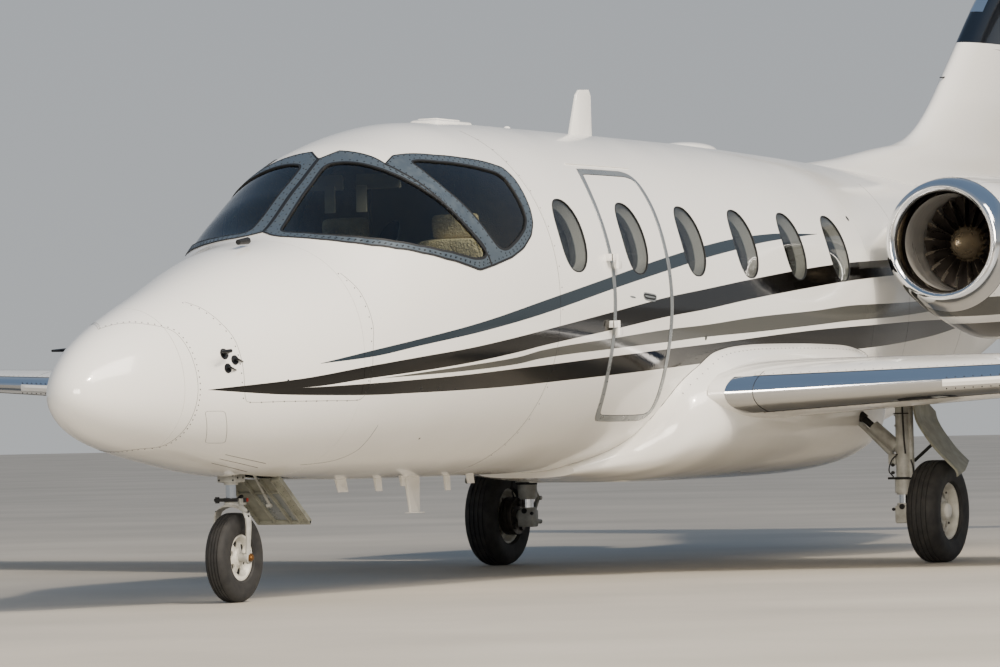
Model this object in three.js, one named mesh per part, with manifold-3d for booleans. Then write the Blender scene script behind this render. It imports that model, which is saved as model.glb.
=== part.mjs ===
// Twin-engine light business jet, parked on its gear.
// Millimetres. +X is forward, +Y is port, +Z is up. The origin is on the ground under the middle
// of the aircraft's overall box. Lengthwise places are stations: millimetres aft of the nose tip.
import * as THREE from 'three';
import { mergeVertices } from 'three/addons/utils/BufferGeometryUtils.js';
import Module from 'manifold-3d';

const wasm = await Module();
wasm.setup();

// Driving dimensions
const LENGTH = 14750;
const SPAN = 13250;
const NOSE_GEAR_STATION = 1630;
const MAIN_GEAR_STATION = 7496;
const TRACK_HALF = 1440;
const TOUCH = 0.3;
const RUNNING_GAP = 6;

const X = (station) => LENGTH / 2 - station;
const RAD = Math.PI / 180;

// Fuselage sections. Columns: station, half width, top, bottom, height of the widest line,
// upper and lower squareness (2 is an ellipse, more is squarer).
const SECTIONS = [
  [0, 1, 1046, 1044, 1045, 2.0, 2.0],
  [50, 110, 1160, 940, 1045, 2.0, 2.0],
  [250, 225, 1315, 825, 1050, 2.0, 2.0],
  [900, 395, 1560, 700, 1085, 2.0, 2.05],
  [1550, 575, 1755, 628, 1160, 2.1, 2.1],
  [1950, 665, 1845, 610, 1215, 2.3, 2.1],
  [2350, 735, 2095, 602, 1300, 2.4, 2.1],
  [2800, 795, 2345, 595, 1390, 2.25, 2.1],
  [3450, 838, 2475, 590, 1480, 2.05, 2.1],
  [4200, 850, 2497, 590, 1530, 2.0, 2.1],
  [6800, 850, 2490, 590, 1530, 2.0, 2.1],
  [7800, 835, 2470, 600, 1540, 2.0, 2.1],
  [9500, 640, 2420, 760, 1640, 2.0, 2.0],
  [11500, 380, 2300, 1200, 1760, 2.0, 2.0],
  [13320, 90, 2040, 1810, 1925, 2.0, 2.0],
];
const FRAMES = [
  12, 60, 140, 280, 600, 900, 1250, 1550, 1850, 1950, 2140, 2350, 2560, 2800, 3100, 3450, 3700,
  4200, 6800, 7800, 8100, 8900, 9700, 10600, 11600, 12500, 13320,
];
const RING_POINTS = 36;
const WALL_POINTS = 18;

// Monotone cubic through a column of the table, taken over the square root of the station so
// that the round nose comes out smooth.
function smoothColumn(rows, column, parameter) {
  const t = rows.map((row) => parameter(row[0]));
  const v = rows.map((row) => row[column]);
  const step = t.slice(1).map((value, i) => value - t[i]);
  const rise = v.slice(1).map((value, i) => (value - v[i]) / step[i]);
  const slope = t.map((_, i) => {
    if (i === 0) return rise[0];
    if (i === t.length - 1) return rise[i - 1];
    if (rise[i - 1] * rise[i] <= 0) return 0;
    const before = 2 * step[i] + step[i - 1];
    const after = step[i] + 2 * step[i - 1];
    return (before + after) / (before / rise[i - 1] + after / rise[i]);
  });
  return (station) => {
    const q = parameter(station);
    let i = 0;
    while (i < t.length - 2 && q > t[i + 1]) i += 1;
    const u = (q - t[i]) / step[i];
    const a = 2 * u ** 3 - 3 * u ** 2 + 1;
    const b = u ** 3 - 2 * u ** 2 + u;
    return a * v[i] + b * step[i] * slope[i] + (1 - a) * v[i + 1] + (u ** 3 - u ** 2) * step[i] * slope[i + 1];
  };
}
const columns = [1, 2, 3, 4, 5, 6].map((column) => smoothColumn(SECTIONS, column, Math.sqrt));

// Point on the fuselage skin. The clock angle is 0 at port, 90 on top, 180 at starboard.
function skinPoint(station, clock) {
  const [width, top, bottom, widest, upper, lower] = columns.map((column) => column(station));
  const cosine = Math.cos(clock * RAD);
  const sine = Math.sin(clock * RAD);
  const power = 2 / (sine >= 0 ? upper : lower);
  const reach = sine >= 0 ? top - widest : widest - bottom;
  return new THREE.Vector3(
    X(station),
    width * Math.sign(cosine) * Math.abs(cosine) ** power,
    widest + reach * Math.sign(sine) * Math.abs(sine) ** power,
  );
}

function skinNormal(station, clock) {
  const along = skinPoint(station + 4, clock).sub(skinPoint(station - 4, clock));
  const around = skinPoint(station, clock + 0.4).sub(skinPoint(station, clock - 0.4));
  return along.cross(around).normalize();
}

// A section ring, moved in or out by a wall thickness but kept in its own plane
function skinRing(station, offset, count) {
  const ring = [];
  for (let k = 0; k < count; k += 1) {
    const clock = (k * 360) / count;
    const point = skinPoint(station, clock);
    if (offset !== 0) {
      const normal = skinNormal(station, clock);
      const flat = Math.max(0.5, Math.hypot(normal.y, normal.z));
      point.y += (offset * normal.y) / flat ** 2;
      point.z += (offset * normal.z) / flat ** 2;
    }
    ring.push(point);
  }
  return ring;
}

// Solids
function toSolid(geometry) {
  const bare = geometry.index ? geometry.clone() : geometry;
  for (const name of Object.keys(bare.attributes)) {
    if (name !== 'position') bare.deleteAttribute(name);
  }
  const merged = mergeVertices(bare, 1e-4);
  const points = merged.attributes.position.array;
  const faces = [];
  for (let i = 0; i < merged.index.count; i += 3) {
    const [a, b, c] = [0, 1, 2].map((k) => merged.index.getX(i + k));
    if (a !== b && b !== c && c !== a) faces.push(a, b, c);
  }
  let volume = 0;
  const corner = (k) => new THREE.Vector3().fromArray(points, 3 * k);
  for (let i = 0; i < faces.length; i += 3) {
    volume += corner(faces[i]).dot(corner(faces[i + 1]).cross(corner(faces[i + 2])));
  }
  if (volume < 0) faces.reverse();
  return new wasm.Manifold(new wasm.Mesh({
    numProp: 3,
    vertProperties: new Float32Array(points),
    triVerts: new Uint32Array(faces),
  }));
}

function toGeometry(solid) {
  const mesh = solid.getMesh();
  const geometry = new THREE.BufferGeometry();
  geometry.setAttribute('position', new THREE.BufferAttribute(new Float32Array(mesh.vertProperties), 3));
  geometry.setIndex(new THREE.BufferAttribute(new Uint32Array(mesh.triVerts), 1));
  geometry.computeVertexNormals();
  return geometry;
}

// Other-side copy of a solid, across the aircraft's centre plane
function mirrored(solid) {
  return toSolid(toGeometry(solid).scale(1, -1, 1));
}

// Skin through rings of equally many points, with both ends closed. Its triangles are laid out
// alike on both sides of the centre plane.
function loft(rings) {
  const count = rings[0].length;
  const points = rings.flat();
  const faces = [];
  for (let r = 0; r + 1 < rings.length; r += 1) {
    for (let k = 0; k < count; k += 1) {
      const a = r * count + k;
      const b = r * count + ((k + 1) % count);
      const c = a + count;
      const d = b + count;
      const port = points[a].y + points[b].y + points[c].y + points[d].y > 0;
      faces.push(...(port ? [a, b, d, a, d, c] : [a, b, c, b, d, c]));
    }
  }
  faces.push(...capFaces(rings[0], 0, true));
  faces.push(...capFaces(rings[rings.length - 1], (rings.length - 1) * count, false));
  const geometry = new THREE.BufferGeometry().setFromPoints(points);
  geometry.setIndex(faces);
  return toSolid(geometry);
}

function capFaces(ring, first, backwards) {
  const area = new THREE.Vector3();
  ring.forEach((point, k) => area.add(point.clone().cross(ring[(k + 1) % ring.length])));
  const size = area.toArray().map(Math.abs);
  const drop = size.indexOf(Math.max(...size));
  const flat = ring.map((point) => {
    const rest = point.toArray().filter((_, axis) => axis !== drop);
    return new THREE.Vector2(rest[0], rest[1]);
  });
  const clockwise = THREE.ShapeUtils.isClockWise(flat);
  const faces = [];
  for (const [a, b, c] of THREE.ShapeUtils.triangulateShape(flat, [])) {
    const turned = THREE.ShapeUtils.isClockWise([flat[a], flat[b], flat[c]]) !== clockwise;
    const ordered = turned === backwards ? [a, b, c] : [a, c, b];
    faces.push(...ordered.map((k) => k + first));
  }
  return faces;
}

function fuselage(start, end, offset = 0, count = RING_POINTS) {
  const stations = [start, ...FRAMES.filter((s) => s > start + 15 && s < end - 15), end];
  return loft(stations.map((station) => skinRing(station, offset, count)));
}

// Box between two stations, two widths and two heights
function box(stations, widths, heights) {
  const geometry = new THREE.BoxGeometry(
    Math.abs(stations[1] - stations[0]),
    Math.abs(widths[1] - widths[0]),
    Math.abs(heights[1] - heights[0]),
  );
  geometry.translate(
    (X(stations[0]) + X(stations[1])) / 2,
    (widths[0] + widths[1]) / 2,
    (heights[0] + heights[1]) / 2,
  );
  return toSolid(geometry);
}

// Round bar between two points, with a radius at each end
function bar(from, to, radius, endRadius = radius, sides = 12) {
  const axis = to.clone().sub(from);
  const geometry = new THREE.CylinderGeometry(endRadius, radius, axis.length(), sides);
  geometry.translate(0, axis.length() / 2, 0);
  geometry.applyQuaternion(new THREE.Quaternion().setFromUnitVectors(
    new THREE.Vector3(0, 1, 0),
    axis.clone().normalize(),
  ));
  geometry.translate(from.x, from.y, from.z);
  return toSolid(geometry);
}
const at = (station, y, z) => new THREE.Vector3(X(station), y, z);

// Prism of an outline drawn in side view (station, height), between two widths
function sidePrism(outline, widths) {
  const ring = (y) => outline.map(([station, z]) => at(station, y, z));
  return loft([ring(widths[0]), ring(widths[1])]);
}

// Prism of an outline drawn in plan view (station, width), between two heights
function planPrism(outline, heights) {
  const ring = (z) => outline.map(([station, y]) => at(station, y, z));
  return loft([ring(heights[0]), ring(heights[1])]);
}

function joined(solids) {
  return solids.reduce((whole, solid) => whole.add(solid));
}

// Outlines on the skin, as (station, clock angle), made smooth and cut square to the skin
const GLASS_OUTLINE = [
  [2024, 85.1], [2146, 86.1], [2449, 87], [2529, 87], [2563, 85.8], [2584, 81.2], [2606, 69],
  [2624, 61.2], [2656, 53.2], [2703, 45.3], [2837, 30.7], [2903, 24.9], [2965, 20.5], [2978, 18],
  [2961, 16.6], [2836, 17], [2727, 19.3], [2570, 23.8], [2417, 30.3], [2287, 37.8], [2176, 47.4],
  [2093, 57.6], [2031, 67.9], [2001, 76.4], [1991, 81.2], [1999, 83.8],
];
const SIDE_GLASS_OUTLINE = [
  [2814, 60.2], [2865, 59.2], [2998, 54.9], [3171, 50.8], [3335, 47.4], [3462, 45], [3508, 42.1],
  [3515, 31.6], [3496, 26.6], [3437, 23.3], [3327, 20.2], [3208, 17.8], [3151, 17.6],
  [3095, 18.8], [3048, 22.4], [2990, 28.2], [2921, 35.1], [2849, 42.7], [2811, 49.9], [2795, 59.3],
];
const FRAME_OUTLINE = [
  [2010, 92], [1952, 85.7], [1936, 81.4], [1955, 75.2], [2000, 66], [2074, 54.7], [2162, 44.5],
  [2280, 35], [2434, 26.9], [2593, 20.6], [2755, 16.2], [2877, 13.5], [3048, 14.2], [3216, 15.4],
  [3359, 17.7], [3483, 21.5], [3548, 25.6], [3580, 30], [3598, 35.7], [3605, 42], [3570, 46.8],
  [3440, 49.5], [3224, 53.1], [3032, 57.6], [2871, 63.2], [2759, 66.4], [2672, 71.7], [2680, 85.7],
  [2620, 92],
];
const CLOCK_TO_MM = 13;

function smoothOutline(outline, count, inset) {
  const corners = outline.map(([station, clock]) => new THREE.Vector3(station, clock * CLOCK_TO_MM, 0));
  const curve = new THREE.CatmullRomCurve3(corners, true, 'centripetal');
  const points = curve.getPoints(count).slice(0, count);
  const clockwise = THREE.ShapeUtils.isClockWise(points);
  return points.map((point, k) => {
    const along = points[(k + 1) % count].clone().sub(points[(k + count - 1) % count]).normalize();
    const inward = new THREE.Vector3(-along.y, along.x, 0).multiplyScalar(clockwise ? -inset : inset);
    return point.clone().add(inward);
  });
}

function skinCutter(outline, count, inset, reachIn = 160, reachOut = 260) {
  const points = smoothOutline(outline, count, inset);
  const ring = (offset) => points.map((point) => {
    const clock = point.y / CLOCK_TO_MM;
    return skinPoint(point.x, clock).addScaledVector(skinNormal(point.x, clock), offset);
  });
  return loft([ring(-reachIn), ring(reachOut)]);
}

// Aerofoil: half thickness over chord at a place along it, and a slight camber
const aerofoilHalf = (u, thickness) => 5 * thickness * (
  0.2969 * Math.sqrt(u) - 0.126 * u - 0.3516 * u ** 2 + 0.2843 * u ** 3 - 0.1036 * u ** 4
);
const camber = (u, amount) => 4 * amount * u * (1 - u);
const CHORD_PLACES = [1, 0.85, 0.7, 0.52, 0.36, 0.22, 0.12, 0.05, 0.015];

// Closed aerofoil ring: upper side from the tail forward, then the lower side back
function aerofoil({ nose, tail, thickness, cambered = 0 }, place) {
  const chord = tail - nose;
  const upper = CHORD_PLACES.map((u) => [u, camber(u, cambered) + aerofoilHalf(u, thickness)]);
  const lower = CHORD_PLACES.map((u) => [u, camber(u, cambered) - aerofoilHalf(u, thickness)]);
  return [...upper, [0, 0], ...lower.reverse()].map(([u, h]) => place(nose + u * chord, h * chord));
}

// Wing planform. Columns: distance from the centre plane, leading edge, trailing edge, height,
// thickness over chord.
const LEADING_EDGE = (y) => 5060 + 0.4255 * y;
const DIHEDRAL = Math.tan(2.5 * RAD);
const WING_LEVEL = (y) => 964 + DIHEDRAL * y;
const CRANK = 2300;
const TIP = SPAN / 2;
const TRAILING_EDGE = (y) => (y <= CRANK ? 8050 : 8050 + (750 * (y - CRANK)) / (TIP - CRANK));
const THICKNESS = (y) => 0.135 - (0.035 * y) / TIP;
const WING_CAMBER = 0.012;

function wingRing(y, shrink = 1) {
  const chord = TRAILING_EDGE(y) - LEADING_EDGE(y);
  const trim = (chord * (1 - shrink)) / 2;
  return aerofoil(
    {
      nose: LEADING_EDGE(y) + trim,
      tail: TRAILING_EDGE(y) - trim * 0.4,
      thickness: THICKNESS(y) * shrink,
      cambered: WING_CAMBER,
    },
    (station, h) => at(station, y, WING_LEVEL(y) + h),
  );
}

const fuselageFat = fuselage(4200, 13320, TOUCH);

// Wing: whole solid from inside the fairing out to the rounded tip
const WING_STATIONS = [600, CRANK, 6400];
const wingWhole = loft([
  ...WING_STATIONS.map((y) => wingRing(y)),
  wingRing(6560, 0.93),
  wingRing(TIP, 0.72),
]);

// Wing height and half thickness at a chordwise station
function wingSurface(y, station) {
  const chord = TRAILING_EDGE(y) - LEADING_EDGE(y);
  const u = (station - LEADING_EDGE(y)) / chord;
  const middle = WING_LEVEL(y) + camber(u, WING_CAMBER) * chord;
  return { middle, half: aerofoilHalf(u, THICKNESS(y)) * chord };
}

// Hinged trailing surface with a round nose about its hinge line. The section callback gives,
// at one span place, the hinge and tail stations with the surface around them.
function trailingSurface(spans, section, margin = 0) {
  const NOSE_STEPS = 6;
  const rings = spans.map((span) => {
    const { hinge, tail, surface, place } = section(span);
    const middle = surface(hinge).middle;
    const radius = surface(hinge).half + margin;
    const ring = [];
    const cuts = [1, 0.6, 0.25, 0];
    for (const u of cuts) {
      const station = hinge + u * (tail - hinge + margin * 4);
      const shape = surface(Math.min(station, tail));
      ring.push(place(station, shape.middle + shape.half + margin));
    }
    for (let k = 1; k < NOSE_STEPS; k += 1) {
      const turn = (Math.PI * k) / NOSE_STEPS;
      ring.push(place(hinge - radius * Math.sin(turn), middle + radius * Math.cos(turn)));
    }
    for (const u of cuts.reverse()) {
      const station = hinge + u * (tail - hinge + margin * 4);
      const shape = surface(Math.min(station, tail));
      ring.push(place(station, shape.middle - shape.half - margin));
    }
    return ring;
  });
  return loft(rings);
}

// Hinge pins at both ends of a hinge line, and the larger bores that they turn in
const PIN = { radius: 9, reach: 16, inside: 30 };
const PIN_BORE = { radius: 9.6, reach: 16.5, inside: 30 };
function hingePins(from, to, { radius, reach, inside }) {
  const along = to.clone().sub(from).normalize();
  const inner = from.clone().addScaledVector(along, -reach);
  const outer = to.clone().addScaledVector(along, reach);
  return [
    bar(inner, from.clone().addScaledVector(along, inside), radius),
    bar(outer, to.clone().addScaledVector(along, -inside), radius),
  ];
}

function wingHinge(hingeAt) {
  return (y) => ({
    hinge: hingeAt(y),
    tail: TRAILING_EDGE(y),
    surface: (station) => wingSurface(y, station),
    place: (station, z) => at(station, y, z),
  });
}

// Flap and aileron, one of each on either side
const FLAP = { from: 1130, to: 4380, hinge: (y) => 7650 + 0.14 * (y - 1130) };
const AILERON = { from: 4470, to: 6250, hinge: (y) => 8130 + 0.155 * (y - 4470) };

function hingedPiece({ from, to, hinge }, breaks) {
  const section = wingHinge(hinge);
  const spans = [from, ...breaks, to];
  const wide = [from - RUNNING_GAP, ...breaks, to + RUNNING_GAP];
  const pin = (y) => at(hinge(y), y, wingSurface(y, hinge(y)).middle);
  const pins = hingePins(pin(from), pin(to), PIN);
  const bores = hingePins(pin(from), pin(to), PIN_BORE);
  return {
    solid: joined([trailingSurface(spans, section), ...pins]),
    cutter: joined([trailingSurface(wide, section, RUNNING_GAP), ...bores]),
  };
}
const flap = hingedPiece(FLAP, [CRANK]);
const aileron = hingedPiece(AILERON, []);

// Spoiler: a plate let into the upper skin ahead of the flap, hinged along its front edge
const SPOILER = { from: 2450, to: 3750, front: (y) => FLAP.hinge(y) - 330, depth: 210, plate: 16 };
const SPOILER_PIN = { ...PIN, radius: 5 };
const SPOILER_BORE = { ...PIN_BORE, radius: 5.6 };
function spoilerRing(y, margin) {
  const front = SPOILER.front(y) - margin;
  const tail = SPOILER.front(y) + SPOILER.depth + margin;
  const top = (station) => wingSurface(y, station).middle + wingSurface(y, station).half;
  const under = SPOILER.plate + margin;
  const over = margin * 2;
  return [
    at(front, y, top(front) + over),
    at((front + tail) / 2, y, top((front + tail) / 2) + over),
    at(tail, y, top(tail) + over),
    at(tail, y, top(tail) - under),
    at(front, y, top(front) - under),
  ];
}
function spoilerPiece() {
  const axis = (y) => {
    const station = SPOILER.front(y) + SPOILER.plate / 2;
    const { middle, half } = wingSurface(y, station);
    return at(station, y, middle + half - SPOILER.plate / 2);
  };
  const pins = hingePins(axis(SPOILER.from), axis(SPOILER.to), SPOILER_PIN);
  const bores = hingePins(axis(SPOILER.from), axis(SPOILER.to), SPOILER_BORE);
  const solid = loft([spoilerRing(SPOILER.from, 0), spoilerRing(SPOILER.to, 0)]);
  const pocket = loft([
    spoilerRing(SPOILER.from - RUNNING_GAP, RUNNING_GAP),
    spoilerRing(SPOILER.to + RUNNING_GAP, RUNNING_GAP),
  ]);
  return {
    solid: joined([solid, ...pins]),
    cutter: joined([pocket, ...bores]),
  };
}
const spoiler = spoilerPiece();

// Belly fairing that carries the wing roots. Columns: station, half width, top, bottom.
const FAIRING = [
  [4950, 300, 640, 560],
  [5200, 560, 800, 552],
  [5290, 790, 1020, 546],
  [5378, 885, 1160, 540],
  [5570, 965, 1280, 525],
  [5724, 985, 1365, 520],
  [5989, 990, 1410, 518],
  [6414, 985, 1435, 515],
  [6930, 985, 1440, 515],
  [7556, 975, 1430, 520],
  [7901, 930, 1410, 530],
  [8500, 700, 1250, 620],
  [9150, 330, 1050, 740],
];
const fairingColumns = [1, 2, 3].map((column) => smoothColumn(FAIRING, column, (s) => s));
function fairingRing(station, grow) {
  const [width, top, bottom] = fairingColumns.map((column) => column(station));
  const ring = [];
  const POINTS = 24;
  for (let k = 0; k < POINTS; k += 1) {
    const turn = (2 * Math.PI * k) / POINTS;
    const c = Math.cos(turn);
    const s = Math.sin(turn);
    const power = 0.75;
    const y = (width + grow) * Math.sign(c) * Math.abs(c) ** power;
    const z = (top + bottom) / 2 + ((top - bottom) / 2 + grow) * Math.sign(s) * Math.abs(s) ** power;
    ring.push(at(station, y, z));
  }
  return ring;
}
const FAIRING_FRAMES = [4950, 5200, 5290, 5378, 5570, 5800, 6200, 7000, 7600, 7901, 8200, 8500, 9150];
const fairingWhole = loft(FAIRING_FRAMES.map((station) => fairingRing(station, 0)));
const fairingFat = loft(FAIRING_FRAMES.map((station) => fairingRing(station, TOUCH)));

// Main gear well: a recess under the wing for the leg
const LEG_Y = 1236;
const LEG_RADIUS = { cylinder: 52, piston: 36 };
const well = box(
  [MAIN_GEAR_STATION - 130, MAIN_GEAR_STATION + 75],
  [LEG_Y - 230, LEG_Y + 110],
  [600, 990],
);

// Leading edge strip, a bright metal piece ahead of the painted wing
const EDGE_CHORD = (y) => LEADING_EDGE(y) + 0.045 * (TRAILING_EDGE(y) - LEADING_EDGE(y)) + 30;
const EDGE_END = 6380;
function frontRegion(gap) {
  return planPrism([
    [4000, 500], [EDGE_CHORD(500) - gap, 500], [EDGE_CHORD(EDGE_END) - gap, EDGE_END - gap],
    [7000, EDGE_END - gap],
  ], [500, 1600]);
}
const wingOutside = wingWhole.subtract(fairingFat).subtract(fuselageFat);
const leadingEdge = wingOutside.intersect(frontRegion(TOUCH));
const wing = wingOutside
  .subtract(frontRegion(0))
  .subtract(flap.cutter)
  .subtract(aileron.cutter)
  .subtract(spoiler.cutter)
  .subtract(well);
const wingFairing = fairingWhole
  .subtract(fuselageFat)
  .subtract(well)
  .subtract(mirrored(well));

// Fuselage shells
const CABIN_WALL = 60;
const COCKPIT_WALL = 40;
const JOINTS = { radome: 600, nose: 1850, cockpit: 3700, cabin: 8100, rear: 11600, tail: 13320 };
const radome = fuselage(0.5, JOINTS.radome - TOUCH);

const NOSE_WELL = { stations: [1480, 2030], half: 130, height: 860 };
const noseWell = box(NOSE_WELL.stations, [-NOSE_WELL.half, NOSE_WELL.half], [500, NOSE_WELL.height]);
const noseSection = fuselage(JOINTS.radome, JOINTS.nose - TOUCH).subtract(noseWell);

const cavity = (from, to, wall) => fuselage(from, to, -wall, WALL_POINTS);
const frameCutter = (inset) => {
  const port = skinCutter(FRAME_OUTLINE, 34, inset, 300);
  return port.add(mirrored(port));
};
const BELLY_BLADE = sidePrism([
  [3500, 620], [3640, 620], [3655, 545], [3660, 404], [3551, 401], [3511, 540],
], [-9, 9]);
const cockpitSection = fuselage(JOINTS.nose, JOINTS.cockpit - TOUCH)
  .add(BELLY_BLADE)
  .subtract(cavity(JOINTS.nose + 50, JOINTS.cockpit + 50, COCKPIT_WALL))
  .subtract(frameCutter(0))
  .subtract(noseWell);

// Windshield surround and its four panes
const GLASS_POINTS = 20;
const glassCut = skinCutter(GLASS_OUTLINE, GLASS_POINTS, 0);
const sideCut = skinCutter(SIDE_GLASS_OUTLINE, GLASS_POINTS, 0);
const openings = joined([glassCut, sideCut, mirrored(glassCut), mirrored(sideCut)]);
const band = (outer, inner) => fuselage(1700, 3900, outer).subtract(fuselage(1650, 3950, -inner));
const windshieldFrame = band(3, 24).intersect(frameCutter(0.5)).subtract(openings);
const paneBand = band(-3, 15);
const windshieldPane = paneBand.intersect(skinCutter(GLASS_OUTLINE, GLASS_POINTS, 0.4));
const sidePane = paneBand.intersect(skinCutter(SIDE_GLASS_OUTLINE, GLASS_POINTS, 0.4));

// Cabin windows, the same on both sides; the second from the front is in the port door
const WINDOW_STATIONS = [3952, 4726, 5498, 6230, 6934, 7614];
const DOOR_WINDOW = 1;
const WINDOW = { half: 150, height: 196, level: 1861 };
function windowPrism(station, grow, widths) {
  const outline = [];
  const POINTS = 14;
  for (let k = 0; k < POINTS; k += 1) {
    const turn = (2 * Math.PI * k) / POINTS;
    const c = Math.cos(turn);
    const s = Math.sin(turn);
    outline.push([
      station + (WINDOW.half + grow) * Math.sign(c) * Math.abs(c) ** 0.85,
      WINDOW.level + (WINDOW.height + grow) * Math.sign(s) * Math.abs(s) ** 0.85,
    ]);
  }
  return sidePrism(outline, widths);
}
const holes = (stations, grow) => joined(stations.map((s) => windowPrism(s, grow, [500, 1000])));
const otherWindows = WINDOW_STATIONS.filter((_, k) => k !== DOOR_WINDOW);
const DOOR_WINDOW_STATION = WINDOW_STATIONS[DOOR_WINDOW];

// Cabin door outline in side view, clockwise from the lower front corner
const DOOR_OUTLINE = [
  [4526, 883], [4435, 1009], [4371, 1184], [4349, 1400], [4346, 1623], [4357, 1901], [4397, 2093],
  [4487, 2242], [4800, 2247], [5055, 2247], [5138, 2235], [5181, 2165], [5160, 2022], [5129, 1838],
  [5119, 1620], [5124, 1341], [5146, 1162], [5203, 994], [5218, 932], [5200, 893], [5136, 870],
  [4800, 867],
];
const DOOR_HINGE = { station: 4352, y: 872 };
const cabinWall = fuselage(JOINTS.cockpit, JOINTS.cabin - TOUCH)
  .subtract(cavity(JOINTS.cockpit - 50, JOINTS.cabin + 50, CABIN_WALL));

// Clock angle of the skin at a station and height
function clockAt(station, z) {
  const [, top, bottom, widest, upper, lower] = columns.map((column) => column(station));
  const above = z >= widest;
  const reach = above ? top - widest : widest - bottom;
  const sine = (Math.abs(z - widest) / reach) ** ((above ? upper : lower) / 2);
  return (above ? 1 : -1) * (Math.asin(sine) / RAD);
}

// Clockwise outline made larger all round by the same distance
function grown(outline, distance) {
  const count = outline.length;
  const outward = outline.map(([s, z], k) => {
    const [nextS, nextZ] = outline[(k + 1) % count];
    const length = Math.hypot(nextS - s, nextZ - z);
    return [-(nextZ - z) / length, (nextS - s) / length];
  });
  return outline.map(([s, z], k) => {
    const [a, b] = [outward[(k + count - 1) % count], outward[k]];
    const reach = distance / (1 + a[0] * b[0] + a[1] * b[1]);
    return [s + reach * (a[0] + b[0]), z + reach * (a[1] + b[1])];
  });
}

// Cutter for the door or its opening. Its edges are square to the skin, and the rear edge is
// bevelled so that it follows a circle about the hinge.
function doorCutter(grow) {
  const edge = grown(DOOR_OUTLINE, grow).map(([station, height]) => {
    const skin = skinPoint(station, clockAt(station, height));
    const normal = skinNormal(station, clockAt(station, height));
    const back = station - DOOR_HINGE.station;
    const outer = skin.y - DOOR_HINGE.y;
    const inner = outer - CABIN_WALL * normal.y;
    const bevel = back > 350 ? back - Math.sqrt(back ** 2 + outer ** 2 - inner ** 2) : 0;
    return { skin, normal, slope: bevel / CABIN_WALL };
  });
  const ring = (offset) => edge.map(({ skin, normal, slope }) => {
    const point = skin.clone().addScaledVector(normal, offset);
    point.x -= slope * offset;
    return point;
  });
  const inside = ring(-CABIN_WALL - 20);
  const outside = ring(20);
  const flat = (points, y) => points.map((point) => new THREE.Vector3(point.x, y, point.z));
  return loft([flat(inside, 300), inside, outside, flat(outside, 1000)]);
}
const doorSide = [300, 1000];
const doorPanel = cabinWall.intersect(doorCutter(0));
const doorGap = doorCutter(RUNNING_GAP);

// Door hinge: knuckles in turn on the door and on the skin ahead of it
const KNUCKLE_RADIUS = 11;
const KNUCKLES = { levels: [1330, 1690], height: 40 };
function knuckle(level, side) {
  const hinge = (z) => at(DOOR_HINGE.station, DOOR_HINGE.y, z);
  const away = side === 'door' ? 1 : -1;
  const levels = [level, level + KNUCKLES.height];
  return joined([
    bar(hinge(levels[0]), hinge(levels[1]), KNUCKLE_RADIUS),
    box([DOOR_HINGE.station, DOOR_HINGE.station + 52 * away], [DOOR_HINGE.y - 8, DOOR_HINGE.y + 4], levels),
    box(
      [DOOR_HINGE.station + 34 * away, DOOR_HINGE.station + 52 * away],
      [DOOR_HINGE.y - 64, DOOR_HINGE.y + 4],
      levels,
    ),
  ]);
}
const doorKnuckles = KNUCKLES.levels.map((z) => knuckle(z, 'door'));
const skinKnuckles = KNUCKLES.levels.map((z) => knuckle(z + KNUCKLES.height + TOUCH, 'skin'));
const cabinDoor = joined([
  doorPanel.subtract(windowPrism(DOOR_WINDOW_STATION, 0, doorSide)),
  ...doorKnuckles,
]);
const portHoles = holes(otherWindows, 0);
const starboardHoles = mirrored(holes(WINDOW_STATIONS, 0));

// Aerials along the crown: a flat box, a radio blade and an oval dome
const CROWN_AERIALS = [
  box([3775, 4235], [-90, 90], [2455, 2517]),
  sidePrism([
    [5576, 2450], [5885, 2450], [5891, 2728], [5866, 2762], [5734, 2756], [5693, 2725], [5618, 2534],
  ], [-11, 11]),
  sidePrism([
    [6960, 2440], [7540, 2440], [7500, 2490], [7410, 2513], [7121, 2510], [7010, 2490],
  ], [-100, 100]),
];
const cabinShell = joined([
  cabinWall
    .subtract(doorGap)
    .subtract(portHoles)
    .subtract(starboardHoles),
  ...skinKnuckles,
  ...CROWN_AERIALS.map((aerial) => aerial.subtract(cavity(3650, 8150, CABIN_WALL - 20))),
]);

// Window plugs, the outer and inner pane of each window as one block, carried by a liner strip
// along the inside of the wall
const LINER = { thickness: 6, low: 1650, high: 2072 };
function glazing(stations, strip) {
  const skin = (outer, inner) => fuselage(3705, 8095, outer).subtract(cavity(3650, 8150, inner));
  const liner = cavity(3705, 8095, CABIN_WALL + TOUCH)
    .subtract(cavity(3650, 8150, CABIN_WALL + LINER.thickness));
  const plugs = skin(-4, CABIN_WALL + LINER.thickness).intersect(holes(stations, -0.4));
  return liner.intersect(box(strip, [500, 1000], [LINER.low, LINER.high])).add(plugs);
}
const cabinWindowsPort = glazing(otherWindows.slice(1), [5290, 7780]);
const cabinWindowsStarboard = mirrored(glazing(WINDOW_STATIONS, [3750, 7780]));
const doorSkin = (outer, inner) => fuselage(4200, 6800, outer).subtract(fuselage(3700, 7800, -inner));
const doorWindow = doorSkin(-4, 14).intersect(windowPrism(DOOR_WINDOW_STATION, -0.4, doorSide));
const frontWindow = fuselage(3705, 4200, -4)
  .subtract(fuselage(3650, 4250, -14))
  .intersect(windowPrism(otherWindows[0], -0.4, doorSide));

// Rear fuselage and tail cone
const REAR_WALL = 45;
const rearFuselage = fuselage(JOINTS.cabin, JOINTS.rear - TOUCH)
  .subtract(cavity(JOINTS.cabin + 40, JOINTS.rear + 50, REAR_WALL));
const tailCone = fuselage(JOINTS.rear, JOINTS.tail);

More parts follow.
